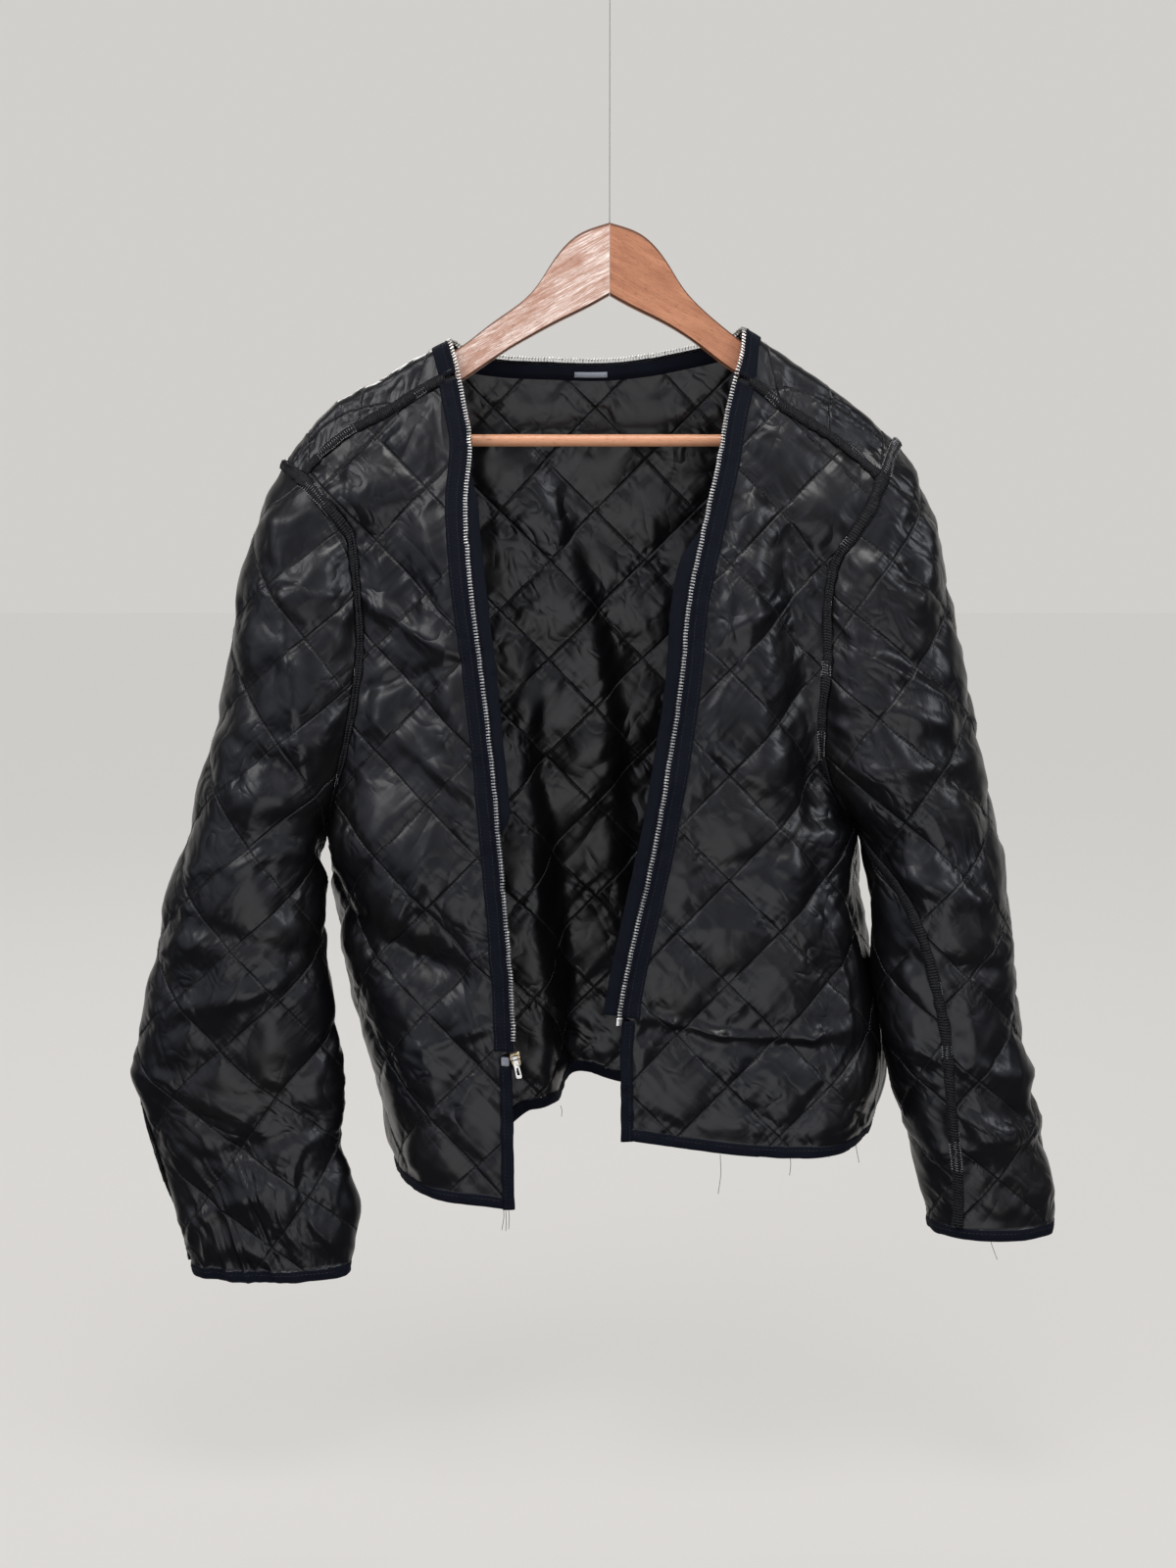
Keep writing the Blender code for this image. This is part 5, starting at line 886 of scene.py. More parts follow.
def coons(top, bottom, left, right):
    """Coons patch: the blend of opposite sides in each direction, less that of the corners."""
    u = np.linspace(0, 1, len(top))[None, :, None]
    v = np.linspace(0, 1, len(left))[:, None, None]
    corners = ((1 - u) * (1 - v) * top[0] + u * (1 - v) * top[-1]
               + (1 - u) * v * bottom[0] + u * v * bottom[-1])
    return ((1 - v) * top[None] + v * bottom[None] + (1 - u) * left[:, None]
            + u * right[:, None] - corners)


def holds(outline, points):
    """Whether a closed outline holds each point: an odd count of edges on one side of it."""
    x, y = points[:, 0], points[:, 1]
    odd = np.zeros(len(points), bool)
    for (ax, ay), (bx, by) in zip(outline, np.roll(outline, -1, axis=0)):
        if ay != by:
            odd ^= ((ay > y) != (by > y)) & (x < ax + (y - ay) / (by - ay) * (bx - ax))
    return odd


def inward(outline, flat):
    """Unit ways across a run of flat points, to the side where the outline holds them."""
    along = units(np.gradient(flat, axis=0))
    way = np.stack([-along[:, 1], along[:, 0]], axis=1)
    middle = slice(len(flat) // 2, len(flat) // 2 + 1)
    return way if holds(outline, flat[middle] + way[middle] * 0.006)[0] else -way


class Cloth:
    """A quilted piece: its flat cut, the surface it hangs on and the relief it has."""

    def __init__(self, name, surface, top, bottom, left, right):
        self.name, self.surface, self.sides = name, surface, (top, bottom, left, right)
        self.phase, self.lines = QUILT_PHASE[name], LINES[name]
        self.seed = 100 * (list(QUILT_PHASE).index(name) + 1)
        edges = top + bottom + left + right
        self.edges = {edge.name: edge for edge in edges}
        self.flat = np.vstack([edge.flat for edge in edges])
        self.bands = np.concatenate([np.full(len(edge.flat), edge.band) for edge in edges])
        self.sewn = np.concatenate([np.full(len(edge.flat), edge.up is not None) for edge in edges])
        edges = [edge for edge in edges if edge.up is not None]
        self.shift = np.vstack([edge.target - surface.points(*edge.flat.T) for edge in edges])
        self.up = np.vstack([edge.up for edge in edges])
        self.cut = np.vstack([edge.flat for edge in top + right]
                             + [edge.flat[::-1] for edge in bottom[::-1] + left[::-1]])
        self.outline = self.cut[::3]

    def frame_at(self, p, q):
        """Base points and normals of the surface, drawn to the shared seams near them.

        With them come the distance to the nearest of those seams, and the room to every
        flat band."""
        points = np.stack([p.ravel(), q.ravel()], axis=1)
        index = np.zeros(len(points), int)
        away, clear = np.zeros((2, len(points)))
        for k in range(0, len(points), 4096):
            part = slice(k, k + 4096)
            gap = np.sqrt(np.sum((points[part, None] - self.flat[None])**2, axis=2))
            to_seam = gap[:, self.sewn]
            index[part], away[part] = np.argmin(to_seam, axis=1), np.min(to_seam, axis=1)
            clear[part] = np.min(gap - self.bands[None], axis=1)
        index, away, clear = (found.reshape(p.shape) for found in (index, away, clear))
        pull = (1 - smooth(away / 0.022))[..., None]
        base = self.surface.points(p, q) + self.shift[index] * pull
        near = np.clip(1 - away / SEAM_BAND, 0, 1)[..., None]
        normal = units(self.surface.normals(p, q) * (1 - near) + self.up[index] * near)
        return base, normal, away, clear

    def line_places(self, p, q):
        """Place across and along both families of quilting lines, in line spacings."""
        x, y = p - self.phase[0], q - self.phase[1]
        return (x + y) / DIAMOND, (x - y) / DIAMOND

    def pillow(self, p, q):
        """Rise of the wadding: 1 - exp(-(d / r)^1.15) for the distance d to each line."""
        total = 1.0
        s, d = self.line_places(p, q)
        for place in (s, d):
            gap = np.abs(place - np.round(place)) * LINE_SPACING
            rise = 1 - np.exp(-(gap / PILLOW_RADIUS)**1.15)
            total = total * rise * (0.72 + 0.28 * np.sin(math.pi * gap / LINE_SPACING))
        i, j = np.floor(s) + 0.37 * self.seed, np.floor(d) + 0.71 * self.seed
        lean = (s - np.floor(s) - 0.5) * noise(i, j, 8) + (d - np.floor(d) - 0.5) * noise(i, j, 9)
        return total * (0.85 + 0.25 * noise(i, j, 7) + 0.75 * lean)

    def relief(self, p, q, base, away):
        """Puckers across the quilting lines, crumpled cloth, and the piece's own creases."""
        sizes = bpy.context.scene.liner_sizes
        s, d = self.line_places(p, q)
        total = 0.0
        for k, (across, along) in enumerate(((s, d), (d, s))):
            line = np.round(across)
            off = (across - line) * LINE_SPACING
            lane = line * 7.3 + np.sign(off) * 3.1 + np.abs(off) / 0.040
            ripple = noise(along * LINE_SPACING / PUCKER_STEP, lane, self.seed + 20 + k)
            total = total + sizes.pucker * ripple * np.exp(-(np.abs(off) / 0.017)**1.5)
        x, drop = base[..., 0], HANGER_TOP - base[..., 2]
        lively = 0.55 + 0.45 * noise(p / 0.11, q / 0.11, self.seed + 31)
        for zone in self.lines["zones"]:
            lively = lively + zone.lift * np.exp(-((x - zone.x)**2 + (drop - zone.drop)**2)
                                                 / zone.size**2)
        across = p + 0.45 * noise(p / 0.16, q / 0.16, self.seed + 33) * q
        wide, tall = self.lines["folds"]
        total = total + sizes.crumple * lively * crumple(across / wide, q / tall, self.seed + 40)
        total = total + 0.22 * sizes.crumple * lively * crumple((p + q) / 0.026, (q - p) / 0.060,
                                                                self.seed + 50)
        facing = smooth(-(base[..., 1] - self.lines["middle"]) / 0.02)
        for crease in self.lines["creases"]:
            total = total + crease_lift(crease, x, drop) * facing
        return total * smooth(away / 0.013)

    def place(self, p, q, height=0.0):
        """Points at a height over the cloth's middle, with its relief."""
        p, q = np.broadcast_arrays(np.asarray(p, float), np.asarray(q, float))
        base, normal, away, _ = self.frame_at(p, q)
        return base + normal * (self.relief(p, q, base, away) + height)[..., None]

    def run(self, name):
        """Flat points of an edge, and the flat way into the cloth."""
        flat = self.edges[name].flat
        return flat, inward(self.outline, flat)


# ------------ meshes in arrays
def new_piece(name, verts, groups, finish, uv=None, soft=True):
    """A mesh object from whole arrays: groups are arrays of faces with equal corner counts."""
    mesh = bpy.data.meshes.new(name)
    corners = np.concatenate([group.ravel() for group in groups])
    sizes = np.concatenate([np.full(len(group), group.shape[1]) for group in groups])
    mesh.vertices.add(len(verts))
    mesh.vertices.foreach_set("co", verts.ravel())
    mesh.loops.add(len(corners))
    mesh.loops.foreach_set("vertex_index", corners.astype(np.int32))
    mesh.polygons.add(len(sizes))
    mesh.polygons.foreach_set("loop_start", np.concatenate([[0], np.cumsum(sizes)[:-1]]).astype(np.int32))
    mesh.update(calc_edges=True)
    mesh.polygons.foreach_set("use_smooth", np.full(len(sizes), soft))
    if uv is not None:
        layer = mesh.uv_layers.new(name="cloth")
        layer.data.foreach_set("uv", np.asarray(uv, float).reshape(-1, 2)[corners].ravel())
    mesh.validate()
    obj = bpy.data.objects.new(name, mesh)
    bpy.context.scene.collection.objects.link(obj)
    mesh.materials.append(finish)
    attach(obj, "jacket")
    return obj


def stands_for(piece, node, slot):
    """Puts a piece in the place of a node by hiding the node; slot is not used."""
    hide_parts(node)
    return piece


def grid_faces(rows, columns, round_rows=False, round_columns=False):
    """Quads of a grid of points in rows, optionally closed either way."""
    i = np.arange(rows if round_rows else rows - 1)
    j = np.arange(columns if round_columns else columns - 1)
    i, j = np.meshgrid(i, j, indexing="ij")
    i1, j1 = (i + 1) % rows, (j + 1) % columns
    quads = np.stack([i * columns + j, i * columns + j1, i1 * columns + j1, i1 * columns + j], axis=-1)
    return quads.reshape(-1, 4)


def rim_faces(rows, columns):
    """Quads between the rims of two equal grids, the second one's points after the first's."""
    top = np.arange(columns)
    side = np.arange(rows) * columns
    ring = np.concatenate([top[:-1], side[:-1] + columns - 1, (side[-1] + top)[:0:-1], side[:0:-1]])
    after, shift = np.roll(ring, -1), rows * columns
    return np.stack([after, ring, ring + shift, after + shift], axis=1)


def outward(verts, groups):
    """Faces turned so that a closed shape's volume, the sum of its corner products, is positive."""
    volume = 0.0
    for group in groups:
        for k in range(1, group.shape[1] - 1):
            a, b, c = verts[group[:, 0]], verts[group[:, k]], verts[group[:, k + 1]]
            volume += float(np.sum(a * np.cross(b, c)))
    return groups if volume > 0 else [group[:, ::-1] for group in groups]


def shell(sections, ring=False):
    """Closed sections joined by quads, with flat ends unless they go round in a ring."""
    sections = np.asarray(sections, float)
    count, corners = sections.shape[:2]
    groups = [grid_faces(count, corners, ring, True)]
    if not ring:
        end = np.arange(corners)[None]
        groups += [end[:, ::-1], end + (count - 1) * corners]
    verts = sections.reshape(-1, 3)
    return verts, outward(verts, groups)


def joined(shells):
    """The points and faces of several shells as those of one."""
    starts = np.cumsum([0] + [len(verts) for verts, _ in shells])
    return (np.vstack([verts for verts, _ in shells]),
            [group + start for start, (_, groups) in zip(starts, shells) for group in groups])


def swept(name, sections, finish, uv=None, ring=False, soft=True):
    """A profile carried along a path."""
    return new_piece(name, *shell(sections, ring), finish, uv, soft)


def strip_uv(along, across):
    """Places along a swept piece and around its profile, in metres."""
    return np.stack(np.broadcast_arrays(along[:, None], across[None]), axis=-1)


def tube_sections(path, radius, sides=6, ring=False):
    """Circles across a path: radius times cos and sin of even angles on two side vectors."""
    if ring:
        along = units(np.roll(path, -1, axis=0) - np.roll(path, 1, axis=0))
    else:
        along = units(np.gradient(path, axis=0))
    first = units(np.cross(along, (0.0, -1.0, 0.0)))
    second = np.cross(along, first)
    angle = np.linspace(0, 2 * math.pi, sides, endpoint=False)[None, :, None]
    radius = np.broadcast_to(radius, (len(path),))[:, None, None]
    return path[:, None] + radius * (first[:, None] * np.cos(angle)
                                     + second[:, None] * np.sin(angle))


def repeated(name, template, faces, origins, axes, finish):
    """Many copies of one small closed shape, each in its own frame of three axes."""
    verts = origins[:, None] + np.einsum("kc,nca->nka", template, axes)
    shift = (np.arange(len(origins)) * len(template))[:, None, None]
    groups = [(group[None] + shift).reshape(-1, group.shape[1]) for group in outward(verts[0], faces)]
    return new_piece(name, verts.reshape(-1, 3), groups, finish, soft=False)


# ------------ quilted pieces
def make_cloths():
    """The five quilted pieces of cloth with their edges, before any mesh is made."""
    made = {}
    for side in SIDES:
        runs = front_runs(side)
        name = f"front_{side}"
        made[name] = Cloth(name, FRONTS[side], edges_of(runs, ["shoulder"]), edges_of(runs, ["hem"], -1),
                           edges_of(runs, ["zip", "notch", "bound"], -1),
                           edges_of(runs, ["armhole", "side"]))
    runs = back_runs()
    lefts, rights = ([f"{name}_{side}" for name in ("shoulder", "cap", "armhole", "side")]
                     for side in SIDES)
    made["back"] = Cloth("back", BACK, edges_of(runs, ["neck"]), edges_of(runs, ["hem"]),
                         edges_of(runs, lefts, 1, rights), edges_of(runs, rights, 1, lefts))
    for side in SIDES:
        runs = sleeve_runs(side)
        name, low, high = f"sleeve_{side}", ["seam_low"], ["seam_high"]
        made[name] = Cloth(name, SLEEVES[side], edges_of(runs, ["cap"]), edges_of(runs, ["hem"]),
                           edges_of(runs, low, 1, high), edges_of(runs, high, 1, low))
    return made


def patch_of(cloth, step):
    """Flat grid of a piece, rows down the cloth and columns across it.

    The back's rows reach each corner of both its sides together."""
    top, bottom, left, right = cloth.sides
    lengths = [[run_length(edge.flat)[-1] for edge in side] for side in cloth.sides]
    across, down = (max(sum(lengths[k]), sum(lengths[k + 1])) for k in (0, 2))
    columns, rows = int(across / step) + 1, int(down / step) + 1
    if cloth.name == "back":
        shares = np.maximum(lengths[2], lengths[3])
        counts = np.maximum(2, np.round(shares / shares.sum() * rows).astype(int))
        left, right = (np.vstack([side_points([edge], n + 1)[(k > 0):]
                                  for k, (edge, n) in enumerate(zip(side, counts))])
                       for side in (left, right))
    else:
        left, right = side_points(left, rows), side_points(right, rows)
    return coons(side_points(top, columns), side_points(bottom, columns), left, right)


def make_panel(cloth, step, finish):
    """Closed wall of a quilted piece: pillows on its outer face, shallower ones inside."""
    flat = patch_of(cloth, step)
    p, q = flat[..., 0], flat[..., 1]
    base, normal, away, clear = cloth.frame_at(p, q)
    relief = cloth.relief(p, q, base, away)
    rise = rise_in = cloth.pillow(p, q) * smooth((clear + 0.002) / 0.020)
    if "sleeve" not in cloth.name:
        below = (HANGER_TOP - base[..., 2]) - ridge(base[..., 0])
        rise = rise * (0.35 + 0.65 * smooth((below - 0.010) / 0.05))
        rise_in = rise_in * smooth((below - 0.030) / 0.06)
    swell = bpy.context.scene.liner_sizes.swell
    outer = base + normal * (relief + WALL / 2 + swell * rise)[..., None]
    inner = base + normal * (relief - WALL / 2 - PUFF_IN * rise_in)[..., None]
    verts = np.concatenate([outer.reshape(-1, 3), inner.reshape(-1, 3)])
    faces = grid_faces(*p.shape)
    groups = [np.concatenate([faces[:, ::-1], faces + p.size, rim_faces(*p.shape)])]
    uv = np.concatenate([flat.reshape(-1, 2) - cloth.phase] * 2)
    piece = new_piece(cloth.name + "_quilted", verts, outward(verts, groups), finish, uv)
    stands_for(piece, cloth.name, "quilted_nylon")
    x, y = cloth.cut.T
    area = 0.5 * abs(float(np.sum(x * np.roll(y, -1) - np.roll(x, -1) * y)))
    return piece, tuple(float(v) for v in np.ptp(cloth.cut, axis=0)), area


# ------------ sewn threads
STITCH = np.array([(-1.0, -0.5, -0.6), (1.0, -0.5, -0.6), (1.0, 0.5, -0.6), (-1.0, 0.5, -0.6),
                   (-0.45, 0.0, 0.9), (0.45, 0.0, 0.9)])
STITCH_FACES = [np.array([(0, 1, 5, 4), (2, 3, 4, 5), (3, 2, 1, 0)]), np.array([(1, 2, 5), (3, 0, 4)])]


def stitches(name, start, end, up, thickness, finish):
    """A row of small stitches: a tented bar from each start to its end."""
    middle, along = (start + end) / 2, (end - start) / 2
    across = units(np.cross(up, along)) * thickness
    axes = np.stack([along, across, units(up) * thickness * 0.6], axis=1)
    return repeated(name, STITCH, STITCH_FACES, middle, axes, finish)


def quilting_thread(cloth, pitch, finish, inside=False):
    """Thread dashes along both families of quilting lines, where the cloth lies under them.

    x + y (or x - y) is a whole number of diamonds all along a line."""
    low, high = cloth.flat.min(axis=0), cloth.flat.max(axis=0)
    reach = float(np.sum(high - low))
    span = np.arange(-reach, reach, pitch)
    spots, ways = [], []
    for turn in (1.0, -1.0):
        for k in range(int(-2 * reach / DIAMOND), int(2 * reach / DIAMOND) + 1):
            x = span / math.sqrt(2) + k * DIAMOND / 2
            spot = np.stack([x, turn * (k * DIAMOND - x)], axis=1) + cloth.phase
            spots.append(spot[np.all((spot > low) & (spot < high), axis=1)])
            ways.append(np.broadcast_to([1 / math.sqrt(2), -turn / math.sqrt(2)], spots[-1].shape))
    spot, way = np.vstack(spots), np.vstack(ways)
    good = holds(cloth.outline, spot)
    spot, way = spot[good], way[good]
    _, normal, _, clear = cloth.frame_at(*spot.T)
    good = clear > 0.0
    spot, way, normal = spot[good], way[good], normal[good]
    turn = -1.0 if inside else 1.0
    ends = [cloth.place(*(spot + way * half).T, turn * (WALL / 2 + THREAD * 0.8))
            for half in (-0.36 * pitch, 0.36 * pitch)]
    name = cloth.name + ("_quilting_inside" if inside else "_quilting")
    return stitches(name, *ends, normal * turn, THREAD, finish)


# ------------ bands along edges
def turned_ends(flat, way, first=None, last=None, reach=0.012):
    """Ways that turn to a given direction within reach of a run's ends."""
    steps = run_length(flat)
    for goal, distance in ((first, steps), (last, steps[-1] - steps)):
        if goal is not None:
            near = (1 - smooth(distance / reach))[:, None]
            size = 1 + near * (1 / np.maximum(0.5, np.abs(way @ goal)) - 1)[:, None]
            way = units(way * (1 - near) + goal * near) * size
    return way


def trimmed(flat, way, start, end):
    """A run without its first and last few millimetres, or with them added."""
    if start < 0:
        flat = np.vstack([flat[0] + units(flat[0] - flat[1]) * -start, flat])
        way = np.vstack([way[0], way])
    if end < 0:
        flat = np.vstack([flat, flat[-1] + units(flat[-1] - flat[-2]) * -end])
        way = np.vstack([way, way[-1]])
    start, end = max(start, 0), max(end, 0)
    steps = run_length(flat)
    where = np.linspace(start, steps[-1] - end, max(4, int((steps[-1] - start - end) / 0.0022)))
    return rows_at(flat, steps, where), rows_at(way, steps, where)


# ------------ materials
class Wire:
    """A value in a material's node tree; arithmetic on wires adds the nodes for it."""

    def __init__(self, tree, socket=None):
        self.tree, self.socket = tree, socket

    def feed(self, made, place, value):
        """Puts a wire, or a fixed value, in one socket of a node."""
        if isinstance(value, Wire):
            self.tree.links.new(value.socket, made.inputs[place])
        else:
            made.inputs[place].default_value = value

    def node(self, kind, settings=None, sockets=None, out=0):
        """Adds a node with its settings, and with wires or fixed values in its sockets."""
        made = self.tree.nodes.new(kind)
        for name, value in (settings or {}).items():
            setattr(made, name, value)
        for place, value in (sockets or {}).items():
            self.feed(made, place, value)
        return Wire(self.tree, made.outputs[out])

    def maths(self, operation, first, second=0.0):
        return self.node("ShaderNodeMath", {"operation": operation}, {0: first, 1: second})

    def __add__(self, other):
        return self.maths("ADD", self, other)

    def __radd__(self, other):
        return self.maths("ADD", other, self)

    def __sub__(self, other):
        return self.maths("SUBTRACT", self, other)

    def __rsub__(self, other):
        return self.maths("SUBTRACT", other, self)

    def __mul__(self, other):
        return self.maths("MULTIPLY", self, other)

    def __truediv__(self, other):
        return self.maths("DIVIDE", self, other)

    def size(self):
        return self.maths("ABSOLUTE", self)

    def exp(self):
        return self.maths("EXPONENT", self)

    def sine(self):
        return self.maths("SINE", self)

    def nearest_whole(self):
        return self.maths("ROUND", self)

    def between(self, low, high):
        """0 below low, 1 above high, and a smooth step between."""
        return self.node("ShaderNodeMapRange", {"interpolation_type": "SMOOTHSTEP"},
                         {0: self, 1: low, 2: high})

    def colours(self, first, second):
        """A mix of two colours by this factor."""
        pair = [value if isinstance(value, Wire) else (*value, 1.0) for value in (first, second)]
        return self.node("ShaderNodeMix", {"data_type": "RGBA", "clamp_factor": True},
                         {0: self, 6: pair[0], 7: pair[1]}, 2)

    def parts(self):
        """The x, y and z of a vector."""
        made = self.node("ShaderNodeSeparateXYZ", None, {0: self}).socket.node
        return [Wire(self.tree, output) for output in made.outputs]

    def on_cloth(self):
        """Place on the piece's own flat cut, with its x and y."""
        spot = self.node("ShaderNodeUVMap", {"uv_map": "cloth"})
        return [spot] + spot.parts()[:2]

    def joined(self, x, y, z=0.0):
        return self.node("ShaderNodeCombineXYZ", None, {0: x, 1: y, 2: z})

    def noise(self, scale, detail=2.0, roughness=0.5, distortion=0.0):
        return self.node("ShaderNodeTexNoise", None,
                         {"Vector": self, "Scale": scale, "Detail": detail,
                          "Roughness": roughness, "Distortion": distortion})

    def bump(self, height):
        """Normals of a surface raised by a height in metres."""
        return self.node("ShaderNodeBump", None, {"Height": height, "Strength": 1.0,
                                                  "Distance": 1.0})


FINISHES = {}


def finish_of(name, build, **fixed):
    """A material made once: build returns the wires of the shader's varying inputs."""
    if name not in FINISHES:
        made = FINISHES[name] = bpy.data.materials.new(name)
        made.use_nodes = True
        tree = made.node_tree
        tree.nodes.clear()
        shader = tree.nodes.new("ShaderNodeBsdfPrincipled")
        output = tree.nodes.new("ShaderNodeOutputMaterial")
        tree.links.new(shader.outputs[0], output.inputs[0])
        for key, value in fixed.items():
            shader.inputs[key.replace("_", " ")].default_value = value
        for key, wire in (build(Wire(tree)) if build else {}).items():
            tree.links.new(wire.socket, shader.inputs[key])
    return FINISHES[name]


def hues():
    return bpy.context.scene.liner_colours


def shaded(hue, share):
    """A colour made darker or brighter."""
    return tuple(c * share for c in hue)


def quilted_satin(name="quilted satin nylon", shine=0.36):
    """Black satin: twill weave, sharp drawn folds, puckers along the stitched lines, and painted shade
    that darkens the base colour in the quilting grooves.
    """
    def build(wire):
        spot, x, y = wire.on_cloth()
        places = (x + y) / DIAMOND, (x - y) / DIAMOND
        gaps = [(place - place.nearest_whole()).size() * LINE_SPACING for place in places]
        height, seams = 0.0, 0.0
        for across, along, seed in ((0, 1, 0.0), (1, 0, 40.0)):
            line = places[across].nearest_whole()
            gap = gaps[across]
            run = places[along] * LINE_SPACING
            groove = (gap * gap * (-1.0 / 0.0010**2)).exp()
            hole = (run * (2 * math.pi / 0.0032)).sine()
            near = (gap * (-1.0 / 0.0090)).exp() * (0.35 + (gaps[along] * (-1.0 / 0.018)).exp())
            ripple = wire.joined(run / 0.0075, gap / 0.045, line * 5.7 + seed).noise(1.0, 1.0)
            height = height + groove * (hole * 0.00006 - 0.00060) + near * (ripple - 0.5) * 0.0021
            # seams: mask of the quilting grooves; it drives the painted shade in the base colour and a
            # duller roughness
            seams = seams + groove
        sway = wire.joined(x * 9.0, y * 9.0, 3.0).noise(1.0, 1.0)
        patch = wire.joined(x * 13.0, y * 13.0, 7.0).noise(1.0, 1.0).between(0.38, 0.62)
        drawn = wire.joined(x * 30.0 + sway * 2.5, y * 12.0 + x * 6.0, 1.0)
        drawn = (drawn.noise(1.0, 1.0, 0.4, 0.5) - 0.5).size()
        slack = wire.joined(x * 44.0 - y * 34.0, y * 30.0 + x * 22.0 + sway, 2.0)
        slack = (slack.noise(1.0, 1.0, 0.45, 0.7) - 0.5).size()
        twill = ((x * 0.8 + y) * (2 * math.pi / 0.0007)).sine()
        height = height + drawn * 0.0030 + slack * patch * 0.0030 + twill * 0.000004
        tone = spot.noise(9.0, 3.0, 0.6)
        base = tone.between(0.35, 0.70).colours(tuple(hues().cloth), tuple(hues().cloth_worn))
        # painted shade: the base colour turns near-black in the quilting grooves
        base = (seams * 0.75).colours(base, (0.0012, 0.0012, 0.0014))
        dull = 0.25 + tone * 0.12 + seams * 0.30
        return {"Base Color": base, "Roughness": dull, "Normal": wire.bump(height)}
    return finish_of(name, build, Specular_IOR_Level=shine)


def ribbed_tape(name="navy tape", hue=None, pitch=0.0011, rise=0.00009):
    """Woven tape: ribs every millimetre, with a little fuzz between them."""
    def build(wire):
        spot, x, y = wire.on_cloth()
        rib = (x * (2 * math.pi / pitch)).sine()
        weft = (y * (2 * math.pi / (pitch * 0.6))).sine()
        fuzz = spot.noise(900.0, 2.0, 0.6)
        tone = spot.noise(60.0, 3.0, 0.6)
        shade = hue or hues().tape
        base = (tone * 0.6 + fuzz * 0.4).colours(shaded(shade, 0.62), shaded(shade, 1.45))
        height = rib * rise + weft * rise * 0.35 + fuzz * rise * 0.8
        return {"Base Color": base, "Roughness": 0.70 + fuzz * 0.2, "Normal": wire.bump(height)}
    return finish_of(name, build, Specular_IOR_Level=0.14)


def sewing_thread(name, hue):
    def build(wire):
        twist = wire.node("ShaderNodeTexCoord", out=3).noise(1400.0, 1.0)
        return {"Base Color": twist.colours(shaded(hue, 0.6), shaded(hue, 1.25))}
    return finish_of(name, build, Roughness=0.55, Specular_IOR_Level=0.4)


def dark_thread():
    return sewing_thread("black sewing thread", (0.020, 0.020, 0.024))


def metal(name, hue, dark, roughness):
    """Worn plating: duller and darker in blotches, with fine scratches."""
    def build(wire):
        spot = wire.node("ShaderNodeTexCoord", out=3)
        blotch = spot.noise(420.0, 3.0, 0.6).between(0.45, 0.68)
        scratch = spot.noise(2600.0, 2.0, 0.6)
        base = blotch.colours(tuple(hue), tuple(dark))
        return {"Base Color": base, "Roughness": roughness + blotch * 0.16 + scratch * 0.06,
                "Normal": wire.bump(scratch * 0.00002)}
    return finish_of(name, build, Metallic=1.0)


def silver(name, worn, roughness):
    return metal(name, hues().silver, shaded(hues().silver, worn), roughness)


def wood(name, pale, deep, roughness, coat, streaked):
    """Planed wood: grain lines along the board, pores, pale streaks, worn dark edges."""
    def build(wire):
        _, x, y = wire.on_cloth()
        bend = wire.joined(x * 9.0, y * 22.0, 0.0).noise(1.0, 3.0, 0.5)
        grain = y + bend * 0.006
        broad = wire.joined(x * 16.0, grain * 210.0, 1.0).noise(1.0, 4.0, 0.6)
        fine = wire.joined(x * 60.0, grain * 1300.0, 2.0).noise(1.0, 3.0, 0.65)
        pores = wire.joined(x * 210.0, grain * 1500.0, 4.0).noise(1.0, 2.0, 0.6)
        blotch = wire.joined(x * 30.0, y * 45.0, 6.0).noise(1.0, 3.0, 0.6)
        tone = (broad * 0.45 + fine * 0.25 + blotch * 0.30).between(0.36, 0.64)
        base = tone.colours(tuple(deep), tuple(c * 0.55 + d * 0.45 for c, d in zip(pale, deep)))
        limed = (broad * 0.30 + fine * 0.70).between(0.50, 0.59) * streaked
        base = (limed * blotch.between(0.30, 0.55)).colours(base, tuple(pale))
        dark = pores.between(0.60, 0.70)
        base = (dark * 0.5).colours(base, shaded(deep, 0.35))
        worn = wire.node("ShaderNodeAttribute", {"attribute_name": "edge_wear"}, out=2)
        base = (worn * (0.72 + broad * 0.4)).colours(base, tuple(hues().wood_edge))
        height = fine * 0.00022 - dark * 0.00020 + blotch * 0.00025
        return {"Base Color": base, "Roughness": roughness + fine * 0.15 + dark * 0.1 + worn * 0.3,
                "Coat Weight": (1.0 - worn) * coat, "Normal": wire.bump(height)}
    return finish_of(name, build, Coat_Roughness=0.15)


def allowance_cloth():
    """Cut edge of the satin, drawn into ribs by the overlock thread."""
    def build(wire):
        spot, x, y = wire.on_cloth()
        fuzz = spot.noise(500.0, 3.0, 0.6)
        rib = ((x + fuzz * 0.0012) * (2 * math.pi / 0.0023)).sine()
        pull = wire.joined(x * 160.0, y * 40.0, 1.0).noise(1.0, 2.0, 0.6)
        base = pull.colours((0.0010, 0.0010, 0.0012), shaded(hues().cloth, 1.6))
        height = rib * 0.00022 + fuzz * 0.0005 + pull * 0.0016
        return {"Base Color": base, "Roughness": 0.45 + fuzz * 0.25, "Normal": wire.bump(height)}
    return finish_of("overlocked edge", build, Specular_IOR_Level=0.25)


# ------------ cloth made on demand
CLOTHS = {}
PANEL_STEP = {"front_left": 0.0020, "front_right": 0.0020, "back": 0.0038,
              "sleeve_left": 0.0029, "sleeve_right": 0.0026}


def cloth_of(name):
    """One of the five pieces of cloth, which are all cut and hung once."""
    if not CLOTHS:
        CLOTHS.update(make_cloths())
    return CLOTHS[name]


